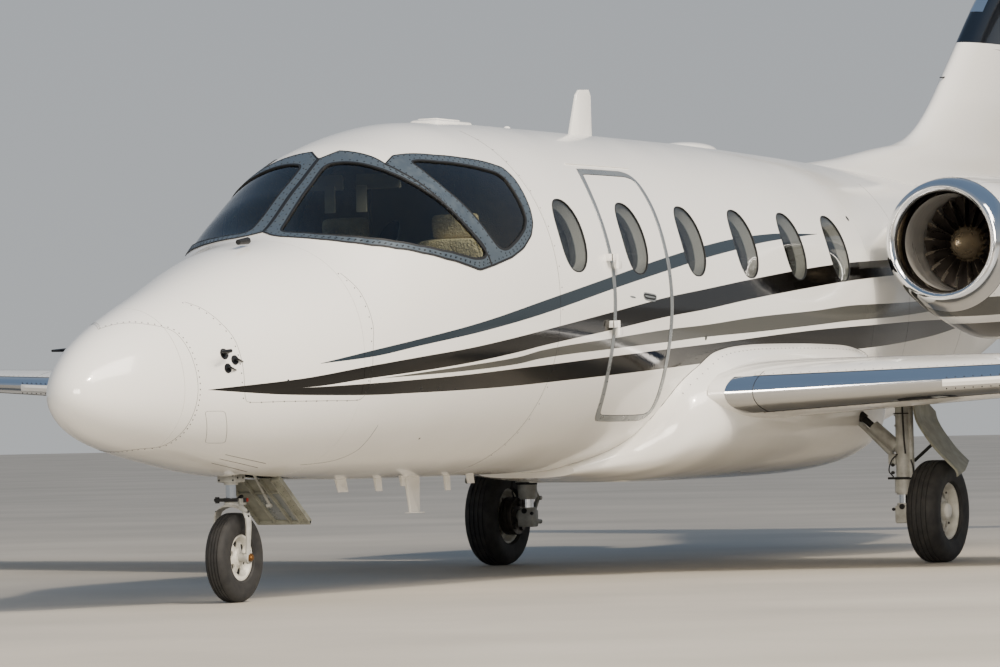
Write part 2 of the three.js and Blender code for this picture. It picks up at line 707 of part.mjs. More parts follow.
// Fin: leading edge line, then dorsal fillet, both as (station, height)
const FIN_SLOPE = (3353 - 2654) / (11765 - 10660);
const finFront = (z) => 10660 + (z - 2654) / FIN_SLOPE;
const FIN_TOP = 4060;
const finTail = (z) => 13560 + 0.33 * (z - 2100);
const finHinge = (z) => finTail(z) - 470 + 0.05 * (z - 2100);
const FIN_THICKNESS = 0.1;
function finSurface(z, station) {
  const nose = finFront(z);
  const chord = finTail(z) - nose;
  const u = (station - nose) / chord;
  return { middle: 0, half: aerofoilHalf(u, FIN_THICKNESS) * chord };
}
const finRing = (z) => aerofoil(
  { nose: finFront(z), tail: finTail(z), thickness: FIN_THICKNESS },
  (station, h) => at(station, h, z),
);
const rudderSection = (z) => ({
  hinge: finHinge(z),
  tail: finTail(z),
  surface: (station) => finSurface(z, station),
  place: (station, h) => at(station, h, z),
});
const RUDDER = { from: 2330, to: 3930 };
const RUDDER_END_GAP = 12;
const RUDDER_PIN = { ...PIN, reach: 30 };
const RUDDER_BORE = { ...PIN_BORE, reach: 30.5 };
const rudderPin = (z) => at(finHinge(z), 0, z);
const rudderPins = hingePins(rudderPin(RUDDER.from), rudderPin(RUDDER.to), RUDDER_PIN);
const rudderBores = hingePins(rudderPin(RUDDER.from), rudderPin(RUDDER.to), RUDDER_BORE);
const rudder = joined([trailingSurface([RUDDER.from, RUDDER.to], rudderSection), ...rudderPins]);
const rudderRoom = joined([
  trailingSurface([RUDDER.from - RUDDER_END_GAP, RUDDER.to + RUDDER_END_GAP], rudderSection, RUNNING_GAP),
  ...rudderBores,
]);
const DORSAL = [[8300, 2440], [9300, 2520], [10300, 2620], [10700, 2680], [11300, 2300], [8400, 2300]];
const dorsal = loft([-1, 1].map((side) => DORSAL.map(([s, z]) => at(s, side * 28, z))));
const fin = joined([loft([finRing(2000), finRing(FIN_TOP)]), dorsal])
  .subtract(fuselageFat)
  .subtract(rudderRoom);

// Tailplane on top of the fin, with its elevators
const TAILPLANE_LEVEL = 4128;
const TAILPLANE_HALF = 2500;
const tailFront = (y) => 13000 + (1170 * y) / TAILPLANE_HALF;
const tailBack = (y) => 14300 + (450 * y) / TAILPLANE_HALF;
const TAIL_THICKNESS = 0.09;
function tailSurface(y, station) {
  const chord = tailBack(y) - tailFront(y);
  return { middle: TAILPLANE_LEVEL, half: aerofoilHalf((station - tailFront(y)) / chord, TAIL_THICKNESS) * chord };
}
const tailRing = (y) => aerofoil(
  { nose: tailFront(Math.abs(y)), tail: tailBack(Math.abs(y)), thickness: TAIL_THICKNESS },
  (station, h) => at(station, y, TAILPLANE_LEVEL + h),
);
const ELEVATOR = { from: 130, to: 2380, hinge: (y) => 13940 + 0.262 * y };
const elevatorSection = (y) => ({
  hinge: ELEVATOR.hinge(y),
  tail: tailBack(y),
  surface: (station) => tailSurface(y, station),
  place: (station, z) => at(station, y, z),
});
const elevatorPin = (y) => at(ELEVATOR.hinge(y), y, TAILPLANE_LEVEL);
const elevatorPins = (pin) => hingePins(elevatorPin(ELEVATOR.from), elevatorPin(ELEVATOR.to), pin);
const elevator = joined([
  trailingSurface([ELEVATOR.from, ELEVATOR.to], elevatorSection),
  ...elevatorPins(PIN),
]);
const elevatorRoom = joined([
  trailingSurface([ELEVATOR.from - RUNNING_GAP, ELEVATOR.to + RUNNING_GAP], elevatorSection, RUNNING_GAP),
  ...elevatorPins(PIN_BORE),
]);

// Bullet fairing round the crossing of fin and tailplane. Columns: station, radius.
const BULLET = [[12760, 8], [12850, 48], [13050, 88], [13400, 110], [13900, 108], [14250, 80], [14480, 20]];
const bulletProfile = [
  new THREE.Vector2(0, BULLET[0][0]),
  ...BULLET.map(([station, radius]) => new THREE.Vector2(radius, station)),
  new THREE.Vector2(0, BULLET[BULLET.length - 1][0]),
];
const BULLET_LEVEL = TAILPLANE_LEVEL + 1.5;
function turned(profile, sides) {
  return new THREE.LatheGeometry(profile, sides);
}
function bulletSolid(grow) {
  const profile = bulletProfile.map((p) => new THREE.Vector2(p.x > 0 ? p.x + grow : 0, p.y));
  return toSolid(turned(profile, 14).rotateZ(Math.PI / 2).translate(X(0), 0, BULLET_LEVEL));
}
const tailplane = joined([
  loft([tailRing(-TAILPLANE_HALF), tailRing(0), tailRing(TAILPLANE_HALF)]),
  bulletSolid(0),
]).subtract(elevatorRoom).subtract(mirrored(elevatorRoom));
const finTrimmed = fin.subtract(bulletSolid(TOUCH * 2));

// Engine nacelle. Columns: station, side radius, upper radius, lower radius.
const NACELLE = { y: 1278, z: 1898, lip: 8040, tail: 10740 };
const NACELLE_OUTER = [
  [8040, 345, 345, 345],
  [8070, 368, 366, 370],
  [8160, 392, 386, 408],
  [8400, 416, 404, 490],
  [8900, 428, 412, 580],
  [9500, 420, 402, 580],
  [10100, 360, 350, 470],
  [10740, 262, 262, 280],
];
const NACELLE_INNER = [
  [8040, 318], [8080, 298], [8170, 290], [8520, 292], [8640, 292], [9900, 292], [10300, 262], [10740, 246],
];
const NACELLE_POINTS = 24;
const nacelleColumns = [1, 2, 3].map((column) => smoothColumn(NACELLE_OUTER, column, (s) => s));
function nacelleRing(station, radii) {
  const [side, upper, lower] = radii;
  const ring = [];
  for (let k = 0; k < NACELLE_POINTS; k += 1) {
    const turn = (2 * Math.PI * k) / NACELLE_POINTS;
    const z = Math.sin(turn) * (Math.sin(turn) > 0 ? upper : lower);
    ring.push(at(station, NACELLE.y + side * Math.cos(turn), NACELLE.z + z));
  }
  return ring;
}
const nacelleOuter = (from, to, grow) => loft(
  [from, ...NACELLE_OUTER.map((row) => row[0]).filter((s) => s > from + 5 && s < to - 5), to]
    .map((s) => nacelleRing(s, nacelleColumns.map((column) => column(s) + grow))),
);
const ductColumn = smoothColumn(NACELLE_INNER, 1, (s) => s);
const ductRadius = (s) => ductColumn(Math.min(Math.max(s, NACELLE.lip), NACELLE.tail));
const nacelleDuct = (from, to) => loft(
  [from, ...NACELLE_INNER.map((row) => row[0]).filter((s) => s > from + 5 && s < to - 5), to]
    .map((s) => nacelleRing(s, Array(3).fill(ductRadius(s)))),
);
const LIP_LENGTH = 150;
const duct = nacelleDuct(7990, 10790);
const inletLip = nacelleOuter(NACELLE.lip, NACELLE.lip + LIP_LENGTH - TOUCH, 0).subtract(duct);
const nacelle = nacelleOuter(NACELLE.lip + LIP_LENGTH, NACELLE.tail, 0).subtract(duct);

// Engine block, closing the duct behind the fan, with its exhaust cone and the fan's shaft
const engineAxis = (station) => at(station, NACELLE.y, NACELLE.z);
const SHAFT_RADIUS = 30;
const SHAFT_PLAY = 0.9;
const ENGINE_RADIUS = 291.6;
const FAN = { front: 8430, back: 8560, radius: 284, hub: 95, blades: 18 };
const engineBlock = joined([
  bar(engineAxis(8680), engineAxis(9880), ENGINE_RADIUS, ENGINE_RADIUS, NACELLE_POINTS),
  bar(engineAxis(9880), engineAxis(10560), 190, 90, 24),
  bar(engineAxis(FAN.back - 60), engineAxis(8680), SHAFT_RADIUS, SHAFT_RADIUS, 16),
]);

// Fan: spinner, hub and twisted blades
const spinner = toSolid(turned([
  new THREE.Vector2(0, 8300), new THREE.Vector2(30, 8325), new THREE.Vector2(FAN.hub, FAN.front + 10),
  new THREE.Vector2(FAN.hub + 5, FAN.back), new THREE.Vector2(0, FAN.back),
], 14).rotateZ(Math.PI / 2));
function fanBlade(turn) {
  const ring = (radius, width, twist, thick) => [-1, 0, 1, 0].map((end, k) => {
    const across = end * width;
    const side = k === 1 ? thick : k === 3 ? -thick : 0;
    const alongAxis = across * Math.cos(twist) - side * Math.sin(twist);
    const alongRim = across * Math.sin(twist) + side * Math.cos(twist);
    const angle = turn + alongRim / radius;
    return new THREE.Vector3(
      -(FAN.front + FAN.back) / 2 - alongAxis,
      radius * Math.cos(angle),
      radius * Math.sin(angle),
    );
  });
  return loft([ring(FAN.hub - 8, 46, 0.4, 4), ring(FAN.radius, 54, 1.0, 2)]);
}
const fanBlades = Array.from({ length: FAN.blades }, (_, k) => fanBlade((2 * Math.PI * k) / FAN.blades));
const fanBore = toSolid(new THREE.CylinderGeometry(SHAFT_RADIUS + SHAFT_PLAY, SHAFT_RADIUS + SHAFT_PLAY, 140, 16)
  .rotateZ(Math.PI / 2).translate(-(FAN.back - 60 + 70), 0, 0));
const fan = joined([spinner, ...fanBlades]).subtract(fanBore);

// Pylon between the fuselage side and the nacelle
const pylonRing = (y) => aerofoil(
  { nose: 8660 + 0.15 * (y - 600), tail: 10250, thickness: 0.085 },
  (station, h) => at(station, y, 1990 + h),
);
const pylon = loft([pylonRing(420), pylonRing(1150)])
  .subtract(fuselageFat)
  .subtract(nacelleOuter(NACELLE.lip, NACELLE.tail, TOUCH));

// Wheels. The tyre and hub are turned about the axle, which lies along Y.
const WHEEL_SIDES = 24;
const MAIN_WHEEL = { radius: 300, width: 196, rim: 168, bore: 32 };
const NOSE_WHEEL = { radius: 225, width: 112, rim: 118, bore: 22 };
const AXLE_PLAY = 0.4;
const flatDown = (radius) => radius / Math.cos(Math.PI / WHEEL_SIDES);

function tyreSolid({ radius, width, rim }) {
  const half = width / 2;
  const profile = [
    [rim, -half * 0.8], [radius * 0.8, -half], [radius * 0.94, -half * 0.78], [radius, -half * 0.36],
    [radius, half * 0.36], [radius * 0.94, half * 0.78], [radius * 0.8, half], [rim, half * 0.8],
    [rim, -half * 0.8],
  ].map(([r, y]) => new THREE.Vector2(flatDown(r), y));
  return toSolid(turned(profile, WHEEL_SIDES).rotateY(Math.PI / WHEEL_SIDES));
}

function hubSolid({ width, rim, bore }) {
  const half = width / 2;
  const out = rim - TOUCH;
  const profile = [
    [bore, -half * 0.5], [bore + 26, -half * 0.5], [out - 22, -half * 0.2], [out - 10, -half * 0.66],
    [out, -half * 0.66], [out, half * 0.66], [out - 10, half * 0.66], [out - 24, half * 0.1],
    [bore + 28, half * 0.66], [bore, half * 0.66], [bore, -half * 0.5],
  ].map(([r, y]) => new THREE.Vector2(flatDown(r), y));
  return toSolid(turned(profile, WHEEL_SIDES).rotateY(Math.PI / WHEEL_SIDES));
}

// Main gear leg with its axle, brake pack, torque links, side strut and retraction cylinder
const MAIN_AXLE = { z: MAIN_WHEEL.radius, reach: 86 };
const onLeg = (back, z) => at(MAIN_GEAR_STATION + back, LEG_Y, z);
const mainLeg = joined([
  bar(onLeg(0, MAIN_AXLE.z - 52), onLeg(0, 430), LEG_RADIUS.piston),
  bar(onLeg(0, 410), onLeg(0, 989.5), LEG_RADIUS.cylinder),
  bar(
    onLeg(0, MAIN_AXLE.z),
    at(MAIN_GEAR_STATION, TRACK_HALF + MAIN_AXLE.reach - 10, MAIN_AXLE.z),
    MAIN_WHEEL.bore - AXLE_PLAY,
    MAIN_WHEEL.bore - AXLE_PLAY,
    WHEEL_SIDES,
  ),
  bar(
    at(MAIN_GEAR_STATION, TRACK_HALF - 140, MAIN_AXLE.z),
    at(MAIN_GEAR_STATION, TRACK_HALF - 62, MAIN_AXLE.z),
    115,
    115,
    16,
  ),
  bar(onLeg(30, 500), onLeg(150, 405), 15, 15, 8),
  bar(onLeg(20, 290), onLeg(150, 405), 15, 15, 8),
  bar(onLeg(0, 560), at(MAIN_GEAR_STATION, 950, 830), 18),
  bar(onLeg(0, 640), at(MAIN_GEAR_STATION, 950, 880), 30),
]).subtract(fairingFat);

// Main gear door: a bent plate from the wing's underside outboard over the wheel. Its section is
// given as (width, height), its outline in side view as (station, height).
const DOOR_BEND = [[1335, 1000], [1350, 860], [1440, 700], [1600, 530]];
const DOOR_PLATE = 12;
const DOOR_SIDE = [[7370, 1010], [7600, 1010], [7600, 930], [7700, 880], [7715, 585], [7400, 500]];
const doorSection = (station) => [
  ...DOOR_BEND.map(([y, z]) => at(station, y, z)),
  ...DOOR_BEND.map(([y, z]) => at(station, y + DOOR_PLATE, z + DOOR_PLATE / 2)).reverse(),
];
const mainDoor = loft([doorSection(7360), doorSection(7720)])
  .intersect(sidePrism(DOOR_SIDE, [1200, 1700]))
  .subtract(wingWhole)
  .subtract(wingWhole.translate([0, 0, -TOUCH]));

// Nose gear
const NOSE_AXLE_Z = NOSE_WHEEL.radius;
const NOSE_PIVOT = NOSE_GEAR_STATION - 20;
const noseLeg = joined([
  bar(at(NOSE_PIVOT, 0, 560), at(NOSE_PIVOT, 0, NOSE_WELL.height - TOUCH), 44),
  bar(at(NOSE_PIVOT, 0, 600), at(NOSE_PIVOT + 330, 0, NOSE_WELL.height - 20), 20),
]);
const FORK = { half: 74, plate: 14 };
const noseFork = joined([
  bar(at(NOSE_PIVOT, 0, 470), at(NOSE_PIVOT, 0, 560 - TOUCH), 30),
  box([NOSE_PIVOT - 45, NOSE_PIVOT + 55], [-FORK.half - FORK.plate, FORK.half + FORK.plate], [462, 490]),
  ...[-1, 1].map((side) => box(
    [NOSE_GEAR_STATION - 32, NOSE_GEAR_STATION + 32],
    [side * FORK.half, side * (FORK.half + FORK.plate)],
    [NOSE_AXLE_Z - 30, 480],
  )),
  bar(
    at(NOSE_GEAR_STATION, -FORK.half - 4, NOSE_AXLE_Z),
    at(NOSE_GEAR_STATION, FORK.half + 4, NOSE_AXLE_Z),
    NOSE_WHEEL.bore - AXLE_PLAY,
    NOSE_WHEEL.bore - AXLE_PLAY,
    WHEEL_SIDES,
  ),
]);
// Nose gear door: hung at its front edge behind the leg, sloping down and aft
const NOSE_DOOR = [[1820, 636], [2168, 388], [2175, 398], [1827, 646]];
const noseDoor = sidePrism(NOSE_DOOR, [-150, 150]).subtract(fuselage(1550, 2350, TOUCH));

// Cabin floor with the divider behind the cockpit, seats and instrument panel
const FLOOR = { top: 960, thickness: 24, from: 2250, to: 8060 };
const insideCockpit = cavity(JOINTS.nose + 52, JOINTS.cockpit + 5, COCKPIT_WALL + TOUCH);
const floorPlate = box([FLOOR.from, FLOOR.to], [-700, 700], [FLOOR.top - FLOOR.thickness, FLOOR.top]);
const DIVIDER = { from: 3640, to: 3670, aisle: 260, head: 2150 };
const divider = box([DIVIDER.from, DIVIDER.to], [-900, 900], [FLOOR.top - 10, 2600])
  .subtract(box([DIVIDER.from - 10, DIVIDER.to + 10], [-DIVIDER.aisle, DIVIDER.aisle], [FLOOR.top, DIVIDER.head]));
const insideNarrow = cavity(JOINTS.nose + 52, 8095, CABIN_WALL + TOUCH);
const cabinFloor = joined([floorPlate.intersect(insideNarrow), divider.intersect(insideCockpit)]);

const instrumentPanel = joined([
  box([2560, 2660], [-700, 700], [1260, 1742]),
  box([2130, 2720], [-700, 700], [1730, 1758]),
]).intersect(insideCockpit);

// Seat drawn in side view, facing forward from its own middle: cushion, back and headrest
function seat({ station, y, width, facing, rise }) {
  const profile = [
    [-230, 300], [-240, 420], [150, 400], [210, 980], [240, 1120], [330, 1110], [290, 300],
  ];
  const base = FLOOR.top + rise;
  const outline = profile.map(([s, z]) => [station + facing * s, base + z - 240]);
  return joined([
    sidePrism(outline, [y - width / 2, y + width / 2]),
    box([station - 120, station + 160], [y - 90, y + 90], [FLOOR.top + TOUCH, base + 90]),
  ]);
}
const RAIL = 18;
const cockpitSeats = joined([
  ...[-330, 330].map((y) => seat({ station: 3230, y, width: 440, facing: 1, rise: 150 })),
  box([3100, 3400], [-420, 420], [FLOOR.top + TOUCH, FLOOR.top + RAIL]),
  box([2700, 3120], [-90, 90], [FLOOR.top + TOUCH, FLOOR.top + 330]),
]);
const CABIN_SEATS = [[5480, -1], [6560, 1], [7480, 1]];
const SEAT_Y = 400;
const cabinSeats = joined([
  ...CABIN_SEATS.map(([station, facing]) => seat({ station, y: SEAT_Y, width: 480, facing, rise: 100 })),
  box([5300, 7700], [SEAT_Y - 40, SEAT_Y + 40], [FLOOR.top + TOUCH, FLOOR.top + RAIL]),
]);

// Finishes: colour, roughness, metalness
const FINISH = {
  white: ['#eceae4', 0.25, 0],
  grey: ['#8d9299', 0.4, 0.3],
  bare: ['#c9ccd0', 0.12, 1],
  dark: ['#26282b', 0.5, 0.4],
  glass: ['#20282e', 0.05, 0],
  beige: ['#c9b79a', 0.7, 0],
  black: ['#17181a', 0.6, 0],
  rubber: ['#1c1c1d', 0.85, 0],
  door: ['#b9c3b8', 0.5, 0],
};
function piece(name, solid, finish) {
  const [color, roughness, metalness] = FINISH[finish];
  const material = new THREE.MeshStandardMaterial({ color, roughness, metalness });
  const mesh = new THREE.Mesh(toGeometry(solid), material);
  mesh.name = name;
  return mesh;
}

const aircraft = new THREE.Group();
aircraft.add(
  piece('radome', radome, 'white'),
  piece('nose_section', noseSection, 'white'),
  piece('cockpit_section', cockpitSection, 'white'),
  piece('cabin_shell', cabinShell, 'white'),
  piece('rear_fuselage', rearFuselage, 'white'),
  piece('tail_cone', tailCone, 'white'),
  piece('wing_fairing', wingFairing, 'white'),
  piece('windshield_frame', windshieldFrame, 'grey'),
  piece('cabin_door', cabinDoor, 'white'),
  piece('door_window', doorWindow, 'glass'),
  piece('front_cabin_window', frontWindow, 'glass'),
  piece('cabin_windows_left', cabinWindowsPort, 'glass'),
  piece('cabin_windows_right', cabinWindowsStarboard, 'glass'),
  piece('cabin_floor', cabinFloor, 'beige'),
  piece('instrument_panel', instrumentPanel, 'black'),
  piece('cockpit_seats', cockpitSeats, 'beige'),
  piece('fin', finTrimmed, 'white'),
  piece('rudder', rudder, 'white'),
  piece('tailplane', tailplane, 'white'),
  piece('nose_leg', noseLeg, 'bare'),
  piece('nose_fork', noseFork, 'bare'),
  piece('nose_gear_door', noseDoor, 'door'),
);

const noseWheel = new THREE.Group();
noseWheel.position.copy(at(NOSE_GEAR_STATION, 0, NOSE_AXLE_Z));
noseWheel.add(
  piece('nose_tyre', tyreSolid(NOSE_WHEEL), 'rubber'),
  piece('nose_hub', hubSolid(NOSE_WHEEL), 'white'),
);
aircraft.add(noseWheel);

// What comes in pairs: the port solid as drawn, the starboard one mirrored
for (const side of ['left', 'right']) {
  const own = (solid) => (side === 'left' ? solid : mirrored(solid));
  const sign = side === 'left' ? 1 : -1;
  aircraft.add(
    piece(`windshield_${side}`, own(windshieldPane), 'glass'),
    piece(`side_window_${side}`, own(sidePane), 'glass'),
    piece(`wing_${side}`, own(wing), 'white'),
    piece(`leading_edge_${side}`, own(leadingEdge), 'bare'),
    piece(`flap_${side}`, own(flap.solid), 'white'),
    piece(`aileron_${side}`, own(aileron.solid), 'white'),
    piece(`spoiler_${side}`, own(spoiler.solid), 'white'),
    piece(`elevator_${side}`, own(elevator), 'white'),
    piece(`nacelle_${side}`, own(nacelle), 'white'),
    piece(`inlet_lip_${side}`, own(inletLip), 'bare'),
    piece(`engine_block_${side}`, own(engineBlock), 'dark'),
    piece(`pylon_${side}`, own(pylon), 'white'),
    piece(`cabin_seats_${side}`, own(cabinSeats), 'beige'),
    piece(`main_leg_${side}`, own(mainLeg), 'grey'),
    piece(`main_gear_door_${side}`, own(mainDoor), 'door'),
  );
  const fanGroup = new THREE.Group();
  fanGroup.position.set(X(0), sign * NACELLE.y, NACELLE.z);
  fanGroup.add(piece(`fan_${side}`, own(fan), 'dark'));
  const wheel = new THREE.Group();
  wheel.position.copy(at(MAIN_GEAR_STATION, sign * TRACK_HALF, MAIN_AXLE.z));
  wheel.add(
    piece(`main_tyre_${side}`, own(tyreSolid(MAIN_WHEEL)), 'rubber'),
    piece(`main_hub_${side}`, own(hubSolid(MAIN_WHEEL)), 'grey'),
  );
  aircraft.add(fanGroup, wheel);
}

export default aircraft;
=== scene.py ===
# %% [markdown]
# # A light business jet in a studio
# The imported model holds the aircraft's plain solids in their real places. This notebook lays the
# fine surfaces over them: painted skins, glazing, bright metal, landing gear and cabin. Every
# number is in metres, +X points to the nose, +Y to port and +Z up. A station is the distance aft
# of the nose tip, as on an aircraft drawing.

import math

import bmesh
import bpy
import numpy as np
from mathutils import Matrix, Vector


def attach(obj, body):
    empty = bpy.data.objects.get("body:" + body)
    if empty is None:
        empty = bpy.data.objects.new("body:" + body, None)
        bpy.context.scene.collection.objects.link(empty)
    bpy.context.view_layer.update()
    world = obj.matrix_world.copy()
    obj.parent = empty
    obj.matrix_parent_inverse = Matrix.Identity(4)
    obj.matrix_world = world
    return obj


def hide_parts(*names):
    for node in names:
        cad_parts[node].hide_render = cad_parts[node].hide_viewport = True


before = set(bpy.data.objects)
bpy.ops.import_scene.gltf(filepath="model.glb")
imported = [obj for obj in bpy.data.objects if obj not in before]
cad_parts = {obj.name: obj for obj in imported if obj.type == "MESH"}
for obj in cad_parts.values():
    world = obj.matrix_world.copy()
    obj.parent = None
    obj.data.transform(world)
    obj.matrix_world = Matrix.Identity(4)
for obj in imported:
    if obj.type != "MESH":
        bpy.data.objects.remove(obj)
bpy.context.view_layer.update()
NOSE_X = 7.375
print("solids loaded:", len(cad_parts))

# %% [markdown]
# ## Camera
# The photograph was taken from far ahead of the port wing tip, at head height, with a long lens.
# The place, the three angles and the lens come from fitting the tyres, the door and the windows.

# %% Camera
EYE = Vector((29.338, 13.219, 0.897))
HEADING, RISE, ROLL = 3.60227765, 0.01566884, -0.02002098
LENS = 194.14


def camera_turn(heading, rise, roll):
    ahead = Vector((
        math.cos(rise) * math.cos(heading),
        math.cos(rise) * math.sin(heading),
        math.sin(rise),
    ))
    level = Vector((math.sin(heading), -math.cos(heading), 0))
    up = level.cross(ahead)
    right = level * math.cos(roll) + up * math.sin(roll)
    top = up * math.cos(roll) - level * math.sin(roll)
    return Matrix((right, top, -ahead)).transposed().to_4x4()


camera = bpy.data.objects.new("camera", bpy.data.cameras.new("camera"))
bpy.context.scene.collection.objects.link(camera)
camera.data.lens = LENS
camera.data.sensor_width = 36
camera.data.clip_end = 400
camera.matrix_world = Matrix.Translation(EYE) @ camera_turn(HEADING, RISE, ROLL)
bpy.context.scene.camera = camera
print("camera at", tuple(round(c, 2) for c in EYE))

# %% [markdown]
# ## Nodes and colours
# Every finish is a small tree of shader nodes. One function adds a node with its settings and its
# links, and one turns a hex colour, as a paint card gives it, into the linear numbers that
# Blender works in.

# %% Helpers for materials


def linear(hex_colour, share=1.0):
    """The four numbers of a paint-card colour, or of a darker share of it."""
    parts = [int(hex_colour[i:i + 2], 16) / 255 for i in (1, 3, 5)]
    lit = [c / 12.92 if c <= 0.04045 else ((c + 0.055) / 1.055) ** 2.4 for c in parts]
    return [share * c for c in lit] + [1.0]


def add_node(tree, kind, settings=None, links=None):
    node = tree.nodes.new(kind)
    for name, value in (settings or {}).items():
        if isinstance(name, str) and hasattr(node, name):
            setattr(node, name, value)
        else:
            node.inputs[name].default_value = value
    for name, source in (links or {}).items():
        tree.links.new(source, node.inputs[name])
    return node


def new_finish(name, hex_colour, roughness, metallic=0.0, **more):
    finish = bpy.data.materials.new(name)
    finish.use_nodes = True
    tree = finish.node_tree
    shader = tree.nodes["Principled BSDF"]
    settings = {
        "Base Color": linear(hex_colour),
        "Roughness": roughness,
        "Metallic": metallic,
        **{key.replace("_", " ").title(): value for key, value in more.items()},
    }
    for socket, value in settings.items():
        shader.inputs[socket].default_value = value
    return finish, tree, shader


def place_on_object(tree, scale=(1, 1, 1)):
    """Object coordinates in metres, stretched where a pattern runs one way."""
    place = add_node(tree, "ShaderNodeTexCoord")
    return add_node(tree, "ShaderNodeMapping", {"Scale": scale}, {"Vector": place.outputs["Object"]})


def wander(tree, where, size, low, high, detail=3.0):
    """Soft noise of a real size in metres, stretched to run from low to high."""
    noise = add_node(
        tree, "ShaderNodeTexNoise",
        {"Scale": 1 / size, "Detail": detail},
        {"Vector": where.outputs[0]},
    )
    return add_node(
        tree, "ShaderNodeMapRange",
        {"From Min": 0.3, "From Max": 0.7, "To Min": low, "To Max": high},
        {"Value": noise.outputs["Fac"]},
    )


def ripple(tree, shader, height, distance):
    bump = add_node(
        tree, "ShaderNodeBump",
        {"Strength": 1.0, "Distance": distance},
        {"Height": height.outputs[0]},
    )
    tree.links.new(bump.outputs["Normal"], shader.inputs["Normal"])


def two_tone(tree, first, second, share):
    """Two colours mixed by a share that varies over the surface."""
    tone = add_node(
        tree, "ShaderNodeMix",
        {"data_type": "RGBA", 6: first, 7: second},
        {0: share.outputs[0]},
    )
    return tone.outputs[2]


def grained(name, hex_colour, roughness, grain, depth):
    """A finish in one colour with a fine grain pressed in."""
    finish, tree, shader = new_finish(name, hex_colour, roughness)
    ripple(tree, shader, wander(tree, place_on_object(tree), grain, 0, 1), depth)
    return finish


# %% [markdown]
# ## Paint
# The skins carry a sprayed polyurethane topcoat: a deep gloss with a faint orange-peel ripple a
# few millimetres across. The ripple is drawn a little coarser than the real one, so that it shows
# at all from thirty metres away. Road film dulls the gloss in soft patches, and a very pale film of
# dust warms the belly.

# %% Polyurethane topcoat


def topcoat(name, hex_colour, roughness=0.16, film="#b9ac98", film_strength=0.22, gloss=0.5):
    finish, tree, shader = new_finish(name, hex_colour, roughness, coat_weight=gloss, coat_roughness=0.05)
    shader.inputs["Specular IOR Level"].default_value = gloss
    where = place_on_object(tree)
    dull = wander(tree, where, 0.55, roughness * 0.75, roughness * 1.6)
    tree.links.new(dull.outputs[0], shader.inputs["Roughness"])
    height = add_node(tree, "ShaderNodeSeparateXYZ", None, {"Vector": where.outputs[0]})
    low_down = add_node(
        tree, "ShaderNodeMapRange",
        {"From Min": 1.15, "From Max": 0.5, "To Min": 0.0, "To Max": film_strength},
        {"Value": height.outputs["Z"]},
    )
    patches = wander(tree, where, 0.3, 0.35, 1.0)
    amount = add_node(
        tree, "ShaderNodeMath", {"operation": "MULTIPLY"},
        {0: low_down.outputs[0], 1: patches.outputs[0]},
    )
    tinted = two_tone(tree, linear(hex_colour), linear(film), amount)
    tree.links.new(tinted, shader.inputs["Base Color"])
    ripple(tree, shader, wander(tree, where, 0.012, 0.0, 1.0, 1.0), 0.00012)
    return finish


white_topcoat = topcoat("white_polyurethane_topcoat", "#f2f0ea")
slate_topcoat = topcoat("slate_polyurethane_stripe", "#252e35", 0.12, gloss=0.2)
warm_grey_topcoat = topcoat("warm_grey_polyurethane_stripe", "#4a4a46", 0.12, gloss=0.2)
black_topcoat = topcoat("black_polyurethane_stripe", "#0a0908", 0.08, film_strength=0.03, gloss=0.25)
navy_topcoat = topcoat("navy_polyurethane_band", "#0b1018", 0.08, film_strength=0.0, gloss=0.4)

# %% [markdown]
# ## Bare metals
# The wing's leading edge and the inlet lips are polished aluminium, rubbed bright along their
# length, so their noise is stretched into long streaks. The windshield surround is the same alloy
# under a thin blue-grey enamel, worn a little.

# %% Metals


def rubbed_metal(name, hex_colour, roughness, streak, depth=0.0001, metallic=1.0):
    finish, tree, shader = new_finish(name, hex_colour, roughness, metallic)
    where = place_on_object(tree, streak)
    worn = wander(tree, where, 0.05, roughness * 0.6, roughness * 1.6)
    tree.links.new(worn.outputs[0], shader.inputs["Roughness"])
    rubbed = wander(tree, where, 0.2, 0.0, 0.6)
    shade = two_tone(tree, linear(hex_colour), linear(hex_colour, 0.8), rubbed)
    tree.links.new(shade, shader.inputs["Base Color"])
    ripple(tree, shader, wander(tree, where, 0.03, 0.0, 1.0), depth)
    return finish


polished_aluminium = rubbed_metal("polished_aluminium", "#dcdee0", 0.07, (0.25, 0.12, 1.0), 0.00008)
lip_aluminium = rubbed_metal("spun_polished_aluminium", "#d8dadc", 0.08, (1.0, 0.3, 0.3), 0.00008)
enamelled_frame = rubbed_metal("blue_grey_enamelled_alloy", "#56616a", 0.36, (1, 1, 1), 0.0002, 0.45)
silver_enamel = rubbed_metal("silver_grey_enamelled_band", "#8d9294", 0.32, (1, 1, 1), 0.0001, 0.55)
screw_steel = rubbed_metal("zinc_plated_screw_steel", "#3c3d3f", 0.4, (1, 1, 1), 0.00005)

# %% Rubber seal
seal_rubber = grained("black_neoprene_seal", "#101112", 0.55, 0.006, 0.0002)

# %% [markdown]
# ## The fuselage as a formula
# A fuselage is drawn as a few sections, each a squashed ellipse, faired together along its length.
# Each row gives the station, the half width, the heights of the crown, the keel and the widest
# line, and how square the upper and lower halves are. A smooth curve through each column gives
# the skin at any station, the same skin that the solids were cut from.

